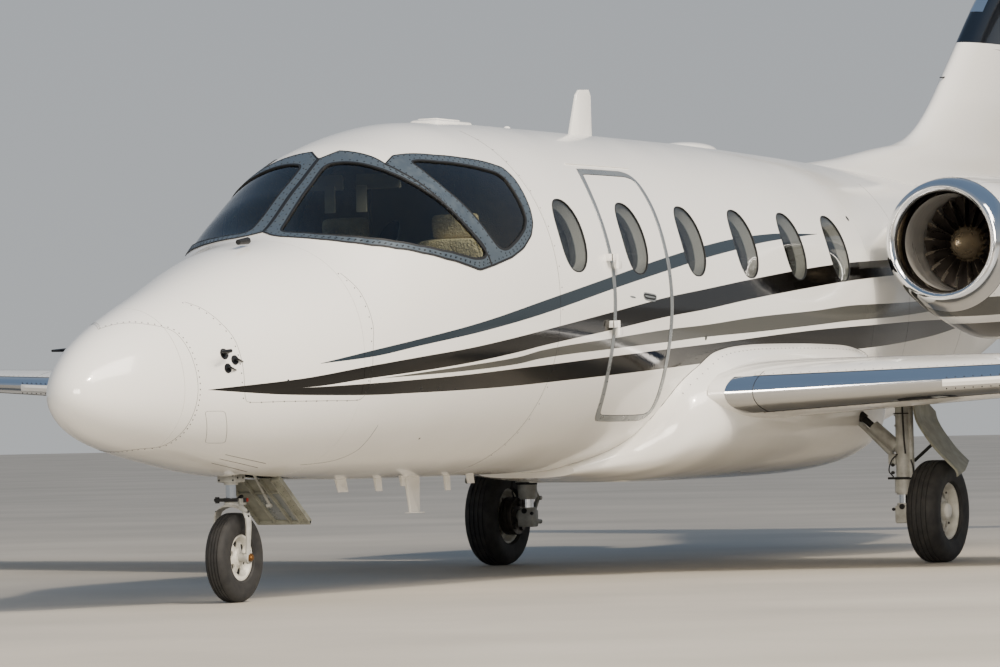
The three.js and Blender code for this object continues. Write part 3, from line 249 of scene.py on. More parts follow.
# %% Section table and smooth curves
SECTIONS = np.array([
    (0.00, 0.001, 1.046, 1.044, 1.045, 2.0, 2.0),
    (0.05, 0.110, 1.160, 0.940, 1.045, 2.0, 2.0),
    (0.25, 0.225, 1.315, 0.825, 1.050, 2.0, 2.0),
    (0.90, 0.395, 1.560, 0.700, 1.085, 2.0, 2.05),
    (1.55, 0.575, 1.755, 0.628, 1.160, 2.1, 2.1),
    (1.95, 0.665, 1.845, 0.610, 1.215, 2.3, 2.1),
    (2.35, 0.735, 2.095, 0.602, 1.300, 2.4, 2.1),
    (2.80, 0.795, 2.345, 0.595, 1.390, 2.25, 2.1),
    (3.45, 0.838, 2.475, 0.590, 1.480, 2.05, 2.1),
    (4.20, 0.850, 2.497, 0.590, 1.530, 2.0, 2.1),
    (6.80, 0.850, 2.490, 0.590, 1.530, 2.0, 2.1),
    (7.80, 0.835, 2.470, 0.600, 1.540, 2.0, 2.1),
    (9.50, 0.640, 2.420, 0.760, 1.640, 2.0, 2.0),
    (11.5, 0.380, 2.300, 1.200, 1.760, 2.0, 2.0),
    (13.32, 0.090, 2.040, 1.810, 1.925, 2.0, 2.0),
])


def smooth_curve(places, values):
    """A curve through the points that never swings past them."""
    places, values = np.asarray(places, float), np.asarray(values, float)
    step = np.diff(places)
    rise = np.diff(values) / step
    slope = np.concatenate([rise[:1], np.zeros(len(step) - 1), rise[-1:]])
    before, after = 2 * step[1:] + step[:-1], step[1:] + 2 * step[:-1]
    same = rise[:-1] * rise[1:] > 0
    shares = before[same] / rise[:-1][same] + after[same] / rise[1:][same]
    slope[1:-1][same] = (before + after)[same] / shares

    def value(at):
        at = np.clip(at, places[0], places[-1])
        i = np.clip(np.searchsorted(places, at) - 1, 0, len(step) - 1)
        u = (at - places[i]) / step[i]
        a = 2 * u ** 3 - 3 * u ** 2 + 1
        b = u ** 3 - 2 * u ** 2 + u
        c = u ** 3 - u ** 2
        return a * values[i] + b * step[i] * slope[i] + (1 - a) * values[i + 1] + c * step[i] * slope[i + 1]

    return value


form = [smooth_curve(np.sqrt(SECTIONS[:, 0]), SECTIONS[:, k]) for k in range(1, 7)]


def section(station):
    return [curve(np.sqrt(np.clip(station, 0, 13.32))) for curve in form]


def signed_power(value, power):
    return np.sign(value) * np.abs(value) ** power


def skin_point(station, clock):
    """Skin at a station and a clock angle in degrees: 0 to port, 90 on top, 180 to starboard."""
    width, top, bottom, widest, upper, lower = section(station)
    cosine, sine = np.cos(np.radians(clock)), np.sin(np.radians(clock))
    power = 2 / np.where(sine >= 0, upper, lower)
    reach = np.where(sine >= 0, top - widest, widest - bottom)
    return np.stack([
        NOSE_X - station + 0 * cosine,
        width * signed_power(cosine, power),
        widest + reach * signed_power(sine, power),
    ], -1)


def skin_normal(station, clock):
    along = skin_point(station + 0.004, clock) - skin_point(np.maximum(station - 0.004, 0), clock)
    around = skin_point(station, clock + 0.4) - skin_point(station, clock - 0.4)
    normal = np.cross(along, around)
    return normal / np.linalg.norm(normal, axis=-1, keepdims=True)


def clock_at(station, height):
    """Clock angle of the port skin at a height."""
    width, top, bottom, widest, upper, lower = section(station)
    above = height >= widest
    reach = np.where(above, top - widest, widest - bottom)
    share = np.clip(np.abs(height - widest) / reach, 0, 1)
    return np.where(above, 1, -1) * np.degrees(np.arcsin(share ** (np.where(above, upper, lower) / 2)))


print("half width at the door:", float(np.round(section(4.8)[0], 3)))

# %% [markdown]
# ## Skins drawn flat, then wrapped
# A skin with round windows and slanting stripes is hard to cut once it is curved. So each skin is
# drawn flat first, as a slab whose x is the station and whose y is the clock angle. Windows and
# doors are cut from the flat slab, and stripe edges are cut into it with a straight plane while
# the drawing is bent so that the edge is straight. Wrapping it round the form comes last, so
# every point lies truly on the skin and every opening is square to it.

# %% Flat slabs
FLAT = 0.0148  # metres across the drawing for each degree of clock angle
ROUND = np.linspace(-90, 270, 145)  # from the keel, up the port side and round to the keel


def stations(*spans):
    """Stations from spans of (start, end, pitch), each shared end once."""
    parts = [np.linspace(a, b, max(2, round((b - a) / pitch) + 1)) for a, b, pitch in spans]
    return np.concatenate([parts[0]] + [part[1:] for part in parts[1:]])


def moved_verts(result):
    return [item for item in result["geom"] if isinstance(item, bmesh.types.BMVert)]


def thicken(bm, step):
    """Turn a flat sheet into a slab whose other face is a step away."""
    grown = bmesh.ops.extrude_face_region(bm, geom=bm.faces[:])
    bmesh.ops.translate(bm, verts=moved_verts(grown), vec=step)
    bmesh.ops.recalc_face_normals(bm, faces=bm.faces)


def sheet(along, around, place):
    """A grid of so many squares each way, with every corner where place(i, j) puts it."""
    bm = bmesh.new()
    bmesh.ops.create_grid(bm, x_segments=along, y_segments=around, size=0.5)
    for v in bm.verts:
        v.co = place(round((v.co.x + 0.5) * along), round((v.co.y + 0.5) * around))
    return bm


def flat_sheet(along, around, lift=0):
    return sheet(len(along) - 1, len(around) - 1, lambda i, j: (along[i], around[j] * FLAT, lift))


def flat_slab(along, around, low, high):
    bm = flat_sheet(along, around, high)
    thicken(bm, (0, 0, low - high))
    return bm


def cut_stripe_edge(bm, line, first, last):
    """Bend the drawing until the line is straight, cut along it with one plane, bend it back."""
    def bend(sign):
        shift = sign * line(np.array([v.co.x for v in bm.verts]))
        for v, step in zip(bm.verts, shift):
            v.co.y += step

    bend(-1)
    faces = [f for f in bm.faces if first < f.calc_center_median().x < last and abs(f.verts[0].co.y) < 0.2]
    edges = {e for f in faces for e in f.edges}
    verts = {v for f in faces for v in f.verts}
    bmesh.ops.bisect_plane(
        bm, geom=faces + list(edges) + list(verts), dist=1e-5, plane_co=(0, 0, 0), plane_no=(0, 1, 0),
    )
    bend(1)


# %% Outlines and cutters


def drawn(outline):
    """Outline of (station, clock) pairs in the drawing's own metres."""
    return np.array([(s, clock * FLAT) for s, clock in outline])


def drawn_side(outline):
    """Outline of (station, height) pairs, as seen from the side."""
    return drawn([(s, float(clock_at(s, z))) for s, z in outline])


def rounded(outline, count, soft=0.02, corners=()):
    """Closed outline as evenly spaced points, softened like sanding, but not at its true corners."""
    fine = spread(np.vstack([outline, outline[:1]]), count, endpoint=False)
    spacing = np.linalg.norm(fine[1] - fine[0])
    kept = [(np.argmin(np.linalg.norm(fine - outline[k], axis=1)), outline[k]) for k in corners]
    for _ in range(round(2 * (soft / spacing) ** 2)):
        for k, corner in kept:
            fine[k] = corner
        fine = 0.5 * fine + 0.25 * (np.roll(fine, 1, axis=0) + np.roll(fine, -1, axis=0))
    for k, corner in kept:
        fine[k] = corner
    return fine


def run_along(points):
    """Distance run at each point of a line."""
    return np.concatenate([[0], np.cumsum(np.linalg.norm(np.diff(points, axis=0), axis=1))])


def spread(points, count, endpoint=True, curve=None):
    """Evenly spaced points of a line, straight from point to point or on a smooth curve."""
    run = run_along(points)
    at = np.linspace(0, run[-1], count, endpoint=endpoint)
    if curve:
        return np.stack([curve(run, column)(at) for column in points.T], -1)
    return np.stack([np.interp(at, run, column) for column in points.T], -1)


def grown(outline, amount):
    """The outline moved outwards, or inwards where amount is below zero."""
    along = np.roll(outline, -1, axis=0) - np.roll(outline, 1, axis=0)
    along /= np.linalg.norm(along, axis=1, keepdims=True)
    area = np.sum(outline[:, 0] * np.roll(outline[:, 1], -1) - np.roll(outline[:, 0], -1) * outline[:, 1])
    return outline + np.stack([along[:, 1], -along[:, 0]], -1) * amount * np.sign(area)


def starboard(outline):
    """The same outline on the other side of the aircraft."""
    return np.stack([outline[:, 0], 180 * FLAT - outline[:, 1]], -1)[::-1]


def prism(outline, low, high):
    bm = bmesh.new()
    bm.faces.new([bm.verts.new((x, y, low)) for x, y in outline])
    thicken(bm, (0, 0, high - low))
    return bm


def as_object(bm, name="cutter"):
    mesh = bpy.data.meshes.new(name)
    bm.to_mesh(mesh)
    bm.free()
    thing = bpy.data.objects.new(name, mesh)
    bpy.context.scene.collection.objects.link(thing)
    return thing


def carved(bm, cutters, operation="DIFFERENCE"):
    """Cut every cutter out of the slab, or keep only what lies in them."""
    slab = as_object(bm, "slab")
    tools = [as_object(cutter) for cutter in cutters]
    for tool in tools:
        change = slab.modifiers.new("cut", "BOOLEAN")
        change.object, change.operation, change.solver = tool, operation, "MANIFOLD"
    result = bmesh.new()
    result.from_object(slab, bpy.context.evaluated_depsgraph_get())
    for thing in [slab, *tools]:
        mesh = thing.data
        bpy.data.objects.remove(thing)
        bpy.data.meshes.remove(mesh)
    return result


# %% Wrapping and finishing


def wrap(bm, lean=None):
    """Bend a flat drawing round the fuselage, and close it along the keel."""
    flat = np.array([v.co[:] for v in bm.verts])
    bm.verts.index_update()
    for keel in (-90 * FLAT, 270 * FLAT):
        at_keel = np.abs(flat[:, 1] - keel) < 1e-4
        ends = [f for f in bm.faces if all(at_keel[v.index] for v in f.verts)]
        bmesh.ops.delete(bm, geom=ends, context="FACES_ONLY")
    station, clock, lift = flat[:, 0], flat[:, 1] / FLAT, flat[:, 2:3]
    places = skin_point(station, clock) + lift * skin_normal(station, clock)
    if lean:
        places[:, 0] -= lean(station, clock) * lift[:, 0]
    for v, place in zip(bm.verts, places):
        v.co = place
    bmesh.ops.remove_doubles(bm, verts=bm.verts, dist=2e-5)
    return bm


def piece(name, bm, finishes, stands_for=(), body="airframe", crease=32):
    """Make the shape a finished piece that rides on a body in place of the solids it stands for."""
    bmesh.ops.recalc_face_normals(bm, faces=bm.faces)
    thing = as_object(bm, name)
    for finish in finishes if isinstance(finishes, (list, tuple)) else [finishes]:
        thing.data.materials.append(finish)
    thing.data.shade_smooth()
    thing.data.set_sharp_from_angle(angle=math.radians(crease))
    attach(thing, body)
    if stands_for:
        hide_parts(*([stands_for] if isinstance(stands_for, str) else stands_for))
    return thing


# %% [markdown]
# ## Stripes
# Four swept stripes run from the nose to the engines. Each one is a table of station, lower edge
# and upper edge as heights, read off the photograph through the fitted camera. Past the wing,
# where the photograph ends, they are carried on in the same sweep.

# %% Stripe tables
STRIPES = {
    "slate": (slate_topcoat, [
        (1.50, 1.181, 1.181), (1.92, 1.217, 1.249), (2.28, 1.268, 1.303), (2.86, 1.344, 1.393),
        (3.46, 1.433, 1.500), (4.33, 1.578, 1.645), (5.08, 1.692, 1.763), (5.65, 1.774, 1.840),
        (6.10, 1.829, 1.890), (6.42, 1.868, 1.916), (6.80, 1.902, 1.936), (7.40, 1.946, 1.946),
    ]),
    "upper_black": (black_topcoat, [
        (0.75, 1.061, 1.061), (1.39, 1.066, 1.110), (1.90, 1.109, 1.171), (2.37, 1.147, 1.221),
        (2.75, 1.182, 1.259), (3.27, 1.240, 1.322), (3.48, 1.267, 1.349), (4.36, 1.362, 1.459),
        (5.09, 1.441, 1.549), (5.50, 1.476, 1.589), (6.20, 1.547, 1.658), (7.20, 1.634, 1.745),
        (7.78, 1.677, 1.783), (8.33, 1.708, 1.806), (9.60, 1.765, 1.850), (11.2, 1.860, 1.860),
    ]),
    "warm_grey": (warm_grey_topcoat, [
        (1.97, 1.107, 1.107), (2.37, 1.124, 1.139), (2.76, 1.143, 1.170), (3.29, 1.178, 1.216),
        (3.51, 1.203, 1.247), (4.43, 1.261, 1.320), (5.13, 1.300, 1.371), (5.50, 1.323, 1.391),
        (6.28, 1.359, 1.446), (7.12, 1.403, 1.489), (7.72, 1.435, 1.526), (8.50, 1.464, 1.548),
        (9.60, 1.520, 1.585), (10.9, 1.620, 1.620),
    ]),
    "lower_black": (black_topcoat, [
        (0.75, 1.061, 1.061), (1.39, 1.030, 1.066), (1.91, 1.025, 1.083), (2.32, 1.033, 1.101),
        (2.80, 1.045, 1.125), (3.34, 1.064, 1.157), (3.58, 1.075, 1.170), (4.45, 1.117, 1.221),
        (5.15, 1.154, 1.262), (5.55, 1.177, 1.284), (5.96, 1.200, 1.308), (7.15, 1.241, 1.376),
        (8.10, 1.277, 1.413), (9.46, 1.350, 1.455), (10.8, 1.480, 1.480),
    ]),
}


def stripe_lines(table):
    """Curves of the lower and upper edge on the port side of the drawing."""
    rows = np.array(table)

    def edge(column):
        height = smooth_curve(rows[:, 0], rows[:, column])
        return lambda s: clock_at(s, height(s)) * FLAT

    return rows[0, 0], rows[-1, 0], edge(1), edge(2)


def paint_stripes(bm, finishes):
    """Cut each stripe's edges into the flat skin on both sides and give its faces their paint."""
    reach = [v.co.x for v in bm.verts]
    for finish, table in STRIPES.values():
        first, last, low, high = stripe_lines(table)
        if first > max(reach) or last < min(reach):
            continue
        if finish not in finishes:
            finishes.append(finish)
        sides = [(low, high), (lambda s: 180 * FLAT - high(s), lambda s: 180 * FLAT - low(s))]
        for below, above in sides:
            cut_stripe_edge(bm, below, first, last)
            cut_stripe_edge(bm, above, first, last)
            centres = np.array([f.calc_center_median()[:] for f in bm.faces])
            x, y = centres[:, 0], centres[:, 1]
            inside = (x > first) & (x < last) & (y > below(x)) & (y < above(x))
            for f, painted in zip(bm.faces, inside):
                if painted:
                    f.material_index = finishes.index(finish)
    return bm


# %% [markdown]
# ## Fuselage skins
# The shell is built in barrels, joined at frames: radome, nose, cockpit, cabin, rear fuselage and
# tail cone. Each barrel is a real sheet, six millimetres thick, with a hairline gap to the next.
# Openings for the door, the windows, the windshield and the nose wheel go right through it.

# %% Outlines of the openings
# Corners are listed by (station, clock angle) or (station, height), going once round the edge.
WINDSHIELD = rounded(drawn([
    (2.024, 85.1), (2.146, 86.1), (2.289, 86.6), (2.449, 87.0), (2.529, 87.0), (2.563, 85.8),
    (2.584, 81.2), (2.597, 75.4), (2.606, 69.0), (2.624, 61.2), (2.656, 53.2), (2.703, 45.3),
    (2.771, 37.7), (2.837, 30.7), (2.903, 24.9), (2.965, 20.5), (2.978, 18.0), (2.961, 16.6),
    (2.908, 16.4), (2.836, 17.0), (2.727, 19.3), (2.570, 23.8), (2.417, 30.3), (2.287, 37.8),
    (2.176, 47.4), (2.093, 57.6), (2.031, 67.9), (2.001, 76.4), (1.991, 81.2), (1.999, 83.8),
]), 320, 0.016)
SIDE_WINDOW = rounded(drawn([
    (2.814, 60.2), (2.865, 59.2), (2.998, 54.9), (3.171, 50.8), (3.335, 47.4), (3.462, 45.0),
    (3.508, 42.1), (3.514, 36.9), (3.515, 31.6), (3.496, 26.6), (3.437, 23.3), (3.327, 20.2),
    (3.208, 17.8), (3.151, 17.6), (3.095, 18.8), (3.048, 22.4), (2.990, 28.2), (2.921, 35.1),
    (2.849, 42.7), (2.811, 49.9), (2.799, 56.2), (2.795, 59.3),
]), 280, 0.016)
JOINT_LINE = [
    (2.657, 65.8), (2.668, 58.0), (2.700, 49.8), (2.736, 42.2), (2.786, 35.2), (2.845, 29.0),
    (2.911, 23.1), (2.968, 18.4), (2.990, 15.6), (2.992, 13.9),
]
WINDSHIELD_RING = rounded(drawn([
    (1.997, 90.0), (2.300, 90.0), (2.599, 90.0), (2.680, 85.7), (2.677, 78.3), (2.672, 71.7),
    *JOINT_LINE, (2.877, 13.5), (2.755, 16.2), (2.593, 20.6), (2.434, 26.9), (2.280, 35.0),
    (2.162, 44.5), (2.074, 54.7), (2.000, 66.0), (1.955, 75.2), (1.936, 81.4), (1.952, 85.7),
]), 420, 0.016, (0, 2, 3, 6, 15))
SIDE_RING = rounded(drawn([
    *JOINT_LINE[::-1], (2.759, 66.4), (2.871, 63.2), (3.032, 57.6), (3.224, 53.1),
    (3.440, 49.5), (3.570, 46.8), (3.605, 42.0), (3.598, 35.7), (3.580, 30.0), (3.548, 25.6),
    (3.483, 21.5), (3.359, 17.7), (3.216, 15.4), (3.048, 14.2),
]), 360, 0.016, (0, 9, 10))
DOOR = rounded(drawn_side([
    (4.526, 0.883), (4.482, 0.932), (4.435, 1.009), (4.393, 1.097), (4.371, 1.184),
    (4.354, 1.283), (4.349, 1.370), (4.347, 1.458), (4.346, 1.623), (4.351, 1.800),
    (4.357, 1.901), (4.370, 1.996), (4.397, 2.093), (4.439, 2.179), (4.487, 2.242),
    (4.553, 2.246), (4.800, 2.247), (5.055, 2.247), (5.138, 2.235), (5.174, 2.205),
    (5.181, 2.165), (5.174, 2.104), (5.160, 2.022), (5.142, 1.930), (5.129, 1.838),
    (5.122, 1.747), (5.119, 1.657), (5.120, 1.499), (5.124, 1.341), (5.130, 1.251),
    (5.146, 1.162), (5.174, 1.072), (5.203, 0.994), (5.218, 0.932), (5.200, 0.893),
    (5.136, 0.870), (4.980, 0.867), (4.769, 0.867), (4.566, 0.871),
]), 360, 0.02, (14,))
WINDOW_STATIONS = (3.952, 4.726, 5.498, 6.230, 6.934, 7.614)
DOOR_WINDOW_STATION = WINDOW_STATIONS[1]


def cabin_window(station):
    turn = np.linspace(0, 2 * np.pi, 64, endpoint=False)
    across = 0.150 * signed_power(np.cos(turn), 0.85)
    height = 1.863 + 0.199 * signed_power(np.sin(turn), 0.85)
    place = station + across + 0.06 * (height - 1.863)
    return np.stack([place, clock_at(place, height) * FLAT], -1)


def keel_well(first, last, half_width):
    """Both halves of an opening that straddles the keel, at the drawing's two ends."""
    along = np.linspace(first, last, 12)
    width, _, _, _, _, lower = section(along)
    edge = -np.degrees(np.arccos((half_width / width) ** (lower / 2))) * FLAT
    port = np.vstack([
        np.stack([along, edge], -1),
        [(last, -91 * FLAT), (first, -91 * FLAT)],
    ])
    return [port, starboard(port)]


PORT_WINDOWS = [cabin_window(s) for s in WINDOW_STATIONS if s != DOOR_WINDOW_STATION]
STARBOARD_WINDOWS = [starboard(cabin_window(s)) for s in WINDOW_STATIONS]
NOSE_WELL = keel_well(1.480, 2.030, 0.130)
print("door outline points:", len(DOOR))

# %% Barrels
SKIN = 0.006
THROUGH = (-0.1, 0.05)


def barrel(name, along, openings, stands_for, finishes=None):
    finishes = finishes or [white_topcoat]
    bm = flat_slab(along, ROUND, -SKIN, 0)
    paint_stripes(bm, finishes)
    near = [o for o in openings if o[:, 0].max() > along[0] and o[:, 0].min() < along[-1]]
    if near:
        bm = carved(bm, [prism(o, *THROUGH) for o in near])
    wrap(bm)
    thing = piece(name, bm, finishes, stands_for)
    print(name, "faces:", len(thing.data.polygons))
    return thing


def solid_end(name, along, stands_for):
    """A closed nose or tail: one skin whose ends are drawn together or filled."""
    bm = wrap(flat_sheet(along, ROUND))
    tip = [v for v in bm.verts if v.co.x > NOSE_X - 4e-4]
    if tip:
        bmesh.ops.pointmerge(bm, verts=tip, merge_co=(NOSE_X - 0.0005, 0, 1.045))
    bmesh.ops.holes_fill(bm, edges=bm.edges, sides=0)
    return piece(name, bm, [white_topcoat], stands_for)


GAP = 0.001
rings = [grown(WINDSHIELD_RING, -0.004), grown(SIDE_RING, -0.004)]
all_openings = NOSE_WELL + rings + [starboard(ring) for ring in rings] + [grown(DOOR, 0.003)]
all_openings += PORT_WINDOWS + STARBOARD_WINDOWS
solid_end("radome_shell", np.linspace(0, math.sqrt(0.6 - GAP), 25) ** 2, "radome")
barrel("nose_skin", stations((0.6 + GAP, 1.85 - GAP, 0.04)), all_openings, "nose_section")
cockpit_run = stations((1.85 + GAP, 3.7 - GAP, 0.03))
barrel("cockpit_skin", cockpit_run, all_openings, "cockpit_section")
barrel("cabin_skin", stations((3.7 + GAP, 8.1 - GAP, 0.06)), all_openings, "cabin_shell")
barrel("rear_skin", stations((8.1 + GAP, 11.6 - GAP, 0.08)), [], "rear_fuselage")
solid_end("tail_cone_shell", stations((11.6 + GAP, 13.32, 0.08)), "tail_cone")

# %% [markdown]
# ## Rings, strips and patches
# Seals, bezels, door bands and drip rails are all long narrow sections that follow a line on the
# skin. Each is drawn as its line and its cross-section, and the grid between them is wrapped like
# the skins. Panes and panels are patches: a piece of slab kept only inside an outline.

# %% Trim that follows a line


def trim(line, profile, closed=True):
    """A section of (outward, lift) corners run along a line of the drawing."""
    around = len(profile)
    along = len(line) if closed else len(line) - 1
    if closed:
        rows = [grown(line, out) for out, _ in profile]
    else:
        step = np.gradient(line, axis=0)
        step /= np.linalg.norm(step, axis=1, keepdims=True)
        side = np.stack([step[:, 1], -step[:, 0]], -1)
        rows = [line + side * out for out, _ in profile]

    def corner(i, j):
        return (*rows[j % around][i % along if closed else i], profile[j % around][1])

    bm = sheet(along, around, corner)
    bmesh.ops.remove_doubles(bm, verts=bm.verts, dist=1e-6)
    if not closed:
        bmesh.ops.holes_fill(bm, edges=bm.edges, sides=0)
    return bm


def flat_bar(outward, inward, low, high, edge=0.0006):
    """Cross-section of a flat bar with its outer corners broken."""
    return [
        (outward, low), (outward, high - edge), (outward - edge, high),
        (inward + edge, high), (inward, high - edge), (inward, low),
    ]


def merged(parts):
    """Several shapes as one."""
    whole = bmesh.new()
    for part in parts:
        mesh = bpy.data.meshes.new("part")
        part.to_mesh(mesh)
        part.free()
        whole.from_mesh(mesh)
        bpy.data.meshes.remove(mesh)
    return whole


def patch(outline, low, high, holes=(), pitch=0.03, keep=True):
    """A piece of the slab inside an outline, with holes."""
    (x0, y0), (x1, y1) = outline.min(0) - pitch, outline.max(0) + pitch
    across = np.linspace(y0, y1, max(3, round((y1 - y0) / pitch)))
    bm = flat_slab(stations((x0, x1, pitch)), across / FLAT, low, high)
    if keep:
        bm = carved(bm, [prism(outline, *THROUGH)], "INTERSECT")
    if holes:
        bm = carved(bm, [prism(hole, *THROUGH) for hole in holes])
    return bm


def twin_of(bm):
    """The same shape on the starboard side."""
    twin = bm.copy()
    bmesh.ops.scale(twin, verts=twin.verts, vec=(1, -1, 1))
    bmesh.ops.reverse_faces(twin, faces=twin.faces)
    return twin


def mirrored(bm):
    return merged([bm, twin_of(bm)])


def spaced(line, pitch, closed=True):
    """Points along a line at an even pitch."""
    path = np.vstack([line, line[:1]]) if closed else line
    return spread(path, max(2, round(run_along(path)[-1] / pitch)), endpoint=not closed)


# %% [markdown]
# ## Screws
# Every removable edge is held by rows of flush screws. Each head is a low eight-sided disc, a
# little larger than the real nine millimetres so that it still shows from thirty metres.

# %% Screw heads


def add_head(bm, centre, normal, radius, height):
    turn = Vector(normal).to_track_quat("Z", "Y").to_matrix().to_4x4()
    bmesh.ops.create_cone(
        bm, cap_ends=True, segments=8, radius1=radius, radius2=radius * 0.8, depth=height,
        matrix=Matrix.Translation(centre) @ turn,
    )


def screw_rows(lines, lift, radius=0.005, height=0.0016, both_sides=True):
    bm = bmesh.new()
    for line in lines:
        station, clock = line[:, 0], line[:, 1] / FLAT
        normals = skin_normal(station, clock)
        for centre, normal in zip(skin_point(station, clock) + lift * normals, normals):
            add_head(bm, centre, normal, radius, height)
    return mirrored(bm) if both_sides else bm


# %% [markdown]
# ## Glass
# The windshield is a sandwich of tempered glass and vinyl. It lets the light straight through with
# a faint smoky tint, and mirrors the sky more the flatter one looks along it. So the pane mixes a
# tinted clear layer with a mirror layer by the Fresnel law, without bending the light. The cabin
# panes are stretched acrylic with a bluer tint.

# %% Glazing


def clear_finish(name):
    """A finish whose own shader is taken out, so that light can go through."""
    finish, tree, shader = new_finish(name, "#ffffff", 0.5)
    tree.nodes.remove(shader)
    return finish, tree, tree.nodes["Material Output"].inputs["Surface"]


def pane_finish(name, tint):
    finish, tree, surface = clear_finish(name)
    clear = add_node(tree, "ShaderNodeBsdfTransparent", {"Color": linear(tint)})
    where = place_on_object(tree)
    smear = wander(tree, where, 0.12, 0.01, 0.04)
    mirror = add_node(
        tree, "ShaderNodeBsdfGlossy", {"Color": linear("#ffffff")}, {"Roughness": smear.outputs[0]},
    )
    slant = add_node(tree, "ShaderNodeFresnel", {"IOR": 1.5})
    blend = add_node(
        tree, "ShaderNodeMixShader", None,
        {0: slant.outputs[0], 1: clear.outputs[0], 2: mirror.outputs[0]},
    )
    tree.links.new(blend.outputs[0], surface)
    return finish


def pane_back(name, tint):
    """The inner face of a pane, which lets light out again without mirroring it."""
    finish, tree, surface = clear_finish(name)
    film = wander(tree, place_on_object(tree), 0.2, 0.0, 1.0)
    tone = two_tone(tree, linear(tint), linear(tint, 0.94), film)
    clear = add_node(tree, "ShaderNodeBsdfTransparent", None, {"Color": tone})
    tree.links.new(clear.outputs[0], surface)
    return finish


windshield_glass = [
    pane_finish("laminated_tempered_windshield", "#e6ebe8"),
    pane_back("windshield_inner_face", "#eef1ef"),
]
cabin_acrylic = [
    pane_finish("stretched_acrylic_cabin_pane", "#dbe1e6"),
    pane_back("cabin_pane_inner_face", "#eceff3"),
]


def pane(outline, low, high, pitch=0.03):
    """A curved pane whose edge and inner face carry the second finish."""
    bm = patch(outline, low, high, (), pitch)
    bmesh.ops.recalc_face_normals(bm, faces=bm.faces)
    for f in bm.faces:
        f.material_index = 0 if f.normal.z > 0.5 else 1
    return wrap(bm)


# %% [markdown]
# ## Windshield and side windows
# A screwed alloy surround in blue-grey enamel stands a few millimetres proud of the skin, as one
# ring for each pane. The two windshield rings meet down the middle and leave a notch at the top.
# Each ring is cut from one patch of slab: its outline is kept, and its glass is cut away. Seals of
# black rubber run round every pane and every ring.

# %% Surround
ring_parts, seal_parts = [], []
for ring, glass in ((WINDSHIELD_RING, WINDSHIELD), (SIDE_RING, SIDE_WINDOW)):
    ring_parts.append(wrap(patch(grown(ring, -0.0015), -0.012, 0.004, [glass], 0.03)))
    seal_parts.append(wrap(trim(glass, flat_bar(0.0030, -0.009, -0.014, 0.0046))))
    seal_parts.append(wrap(trim(ring, flat_bar(0.0062, -0.0034, -0.004, 0.0050))))
surround = mirrored(merged(ring_parts))
piece("windshield_surround", surround, enamelled_frame, "windshield_frame")
piece("windshield_seals", mirrored(merged(seal_parts)), seal_rubber)
rows = [
    spaced(grown(WINDSHIELD, 0.016), 0.042),
    spaced(grown(SIDE_WINDOW, 0.014), 0.042),
    spaced(grown(WINDSHIELD_RING, -0.014), 0.042),
    spaced(grown(SIDE_RING, -0.014), 0.042),
]
piece("windshield_screws", screw_rows(rows, 0.0042), screw_steel)

# %% Panes
for side in ("left", "right"):
    for name, outline, node in (
        ("windshield", WINDSHIELD, "windshield_"), ("side_window", SIDE_WINDOW, "side_window_"),
    ):
        shape = grown(outline, 0.0015)
        glass = pane(shape if side == "left" else starboard(shape), -0.012, -0.004)
        piece(f"{name}_pane_{side}", glass, windshield_glass, node + side)
print("windshield points:", len(WINDSHIELD))
# %% [markdown]
# ## Cabin door
# The door is a thick pressed panel that swings forward on two outside hinges. It is one patch of
# the same slab as the skin, so the stripes run straight on across it, and its rear edge leans
# inwards to clear its own swing. A silver band runs all round its rim, over the stripes, and a
# black seal closes the gap behind it.

# %% Door panel
DOOR_THICK = 0.052
LEAN_DEPTH = 0.060  # how far in the rear edge follows the swing
HINGE_STATION, HINGE_Y = 4.352, 0.872
trim_cream = grained("moulded_cream_trim_plastic", "#d8ccb6", 0.5, 0.004, 0.00015)


def door_lean(station, clock):
    """Slope of the rear edge, so that it follows a circle about the hinge."""
    back = station - HINGE_STATION
    outer = skin_point(station, clock)[:, 1] - HINGE_Y
    inner = outer - LEAN_DEPTH * skin_normal(station, clock)[:, 1]
    swing = back - np.sqrt(np.maximum(back ** 2 + outer ** 2 - inner ** 2, 0))
    return np.where(back > 0.35, swing, 0) / LEAN_DEPTH


DOOR_WINDOW = cabin_window(DOOR_WINDOW_STATION)
door_finishes = [white_topcoat]
panel = patch(DOOR, -DOOR_THICK, 0, keep=False)
paint_stripes(panel, door_finishes)
panel = carved(panel, [prism(DOOR, *THROUGH)], "INTERSECT")
panel = carved(panel, [prism(DOOR_WINDOW, *THROUGH)])
door_finishes += [silver_enamel, trim_cream]
bmesh.ops.recalc_face_normals(panel, faces=panel.faces)
for f in panel.faces:
    if f.normal.z < -0.5:
        f.material_index = len(door_finishes) - 1
    elif f.normal.z < 0.5:
        f.material_index = len(door_finishes) - 2
piece("door_panel", wrap(panel, door_lean), door_finishes, "cabin_door", "door")
band = wrap(trim(DOOR, flat_bar(-0.0015, -0.038, -0.004, 0.0016)), door_lean)
piece("door_band", band, silver_enamel, (), "door")
inner_line = trim(grown(DOOR, -0.040), flat_bar(0.0018, -0.0018, -0.003, 0.0004, 0.0002))
piece("door_band_line", wrap(inner_line, door_lean), seal_rubber, (), "door")
door_seal = wrap(trim(DOOR, flat_bar(0.0024, -0.006, -0.016, -0.009)), door_lean)
piece("door_seal", door_seal, seal_rubber, (), "door")

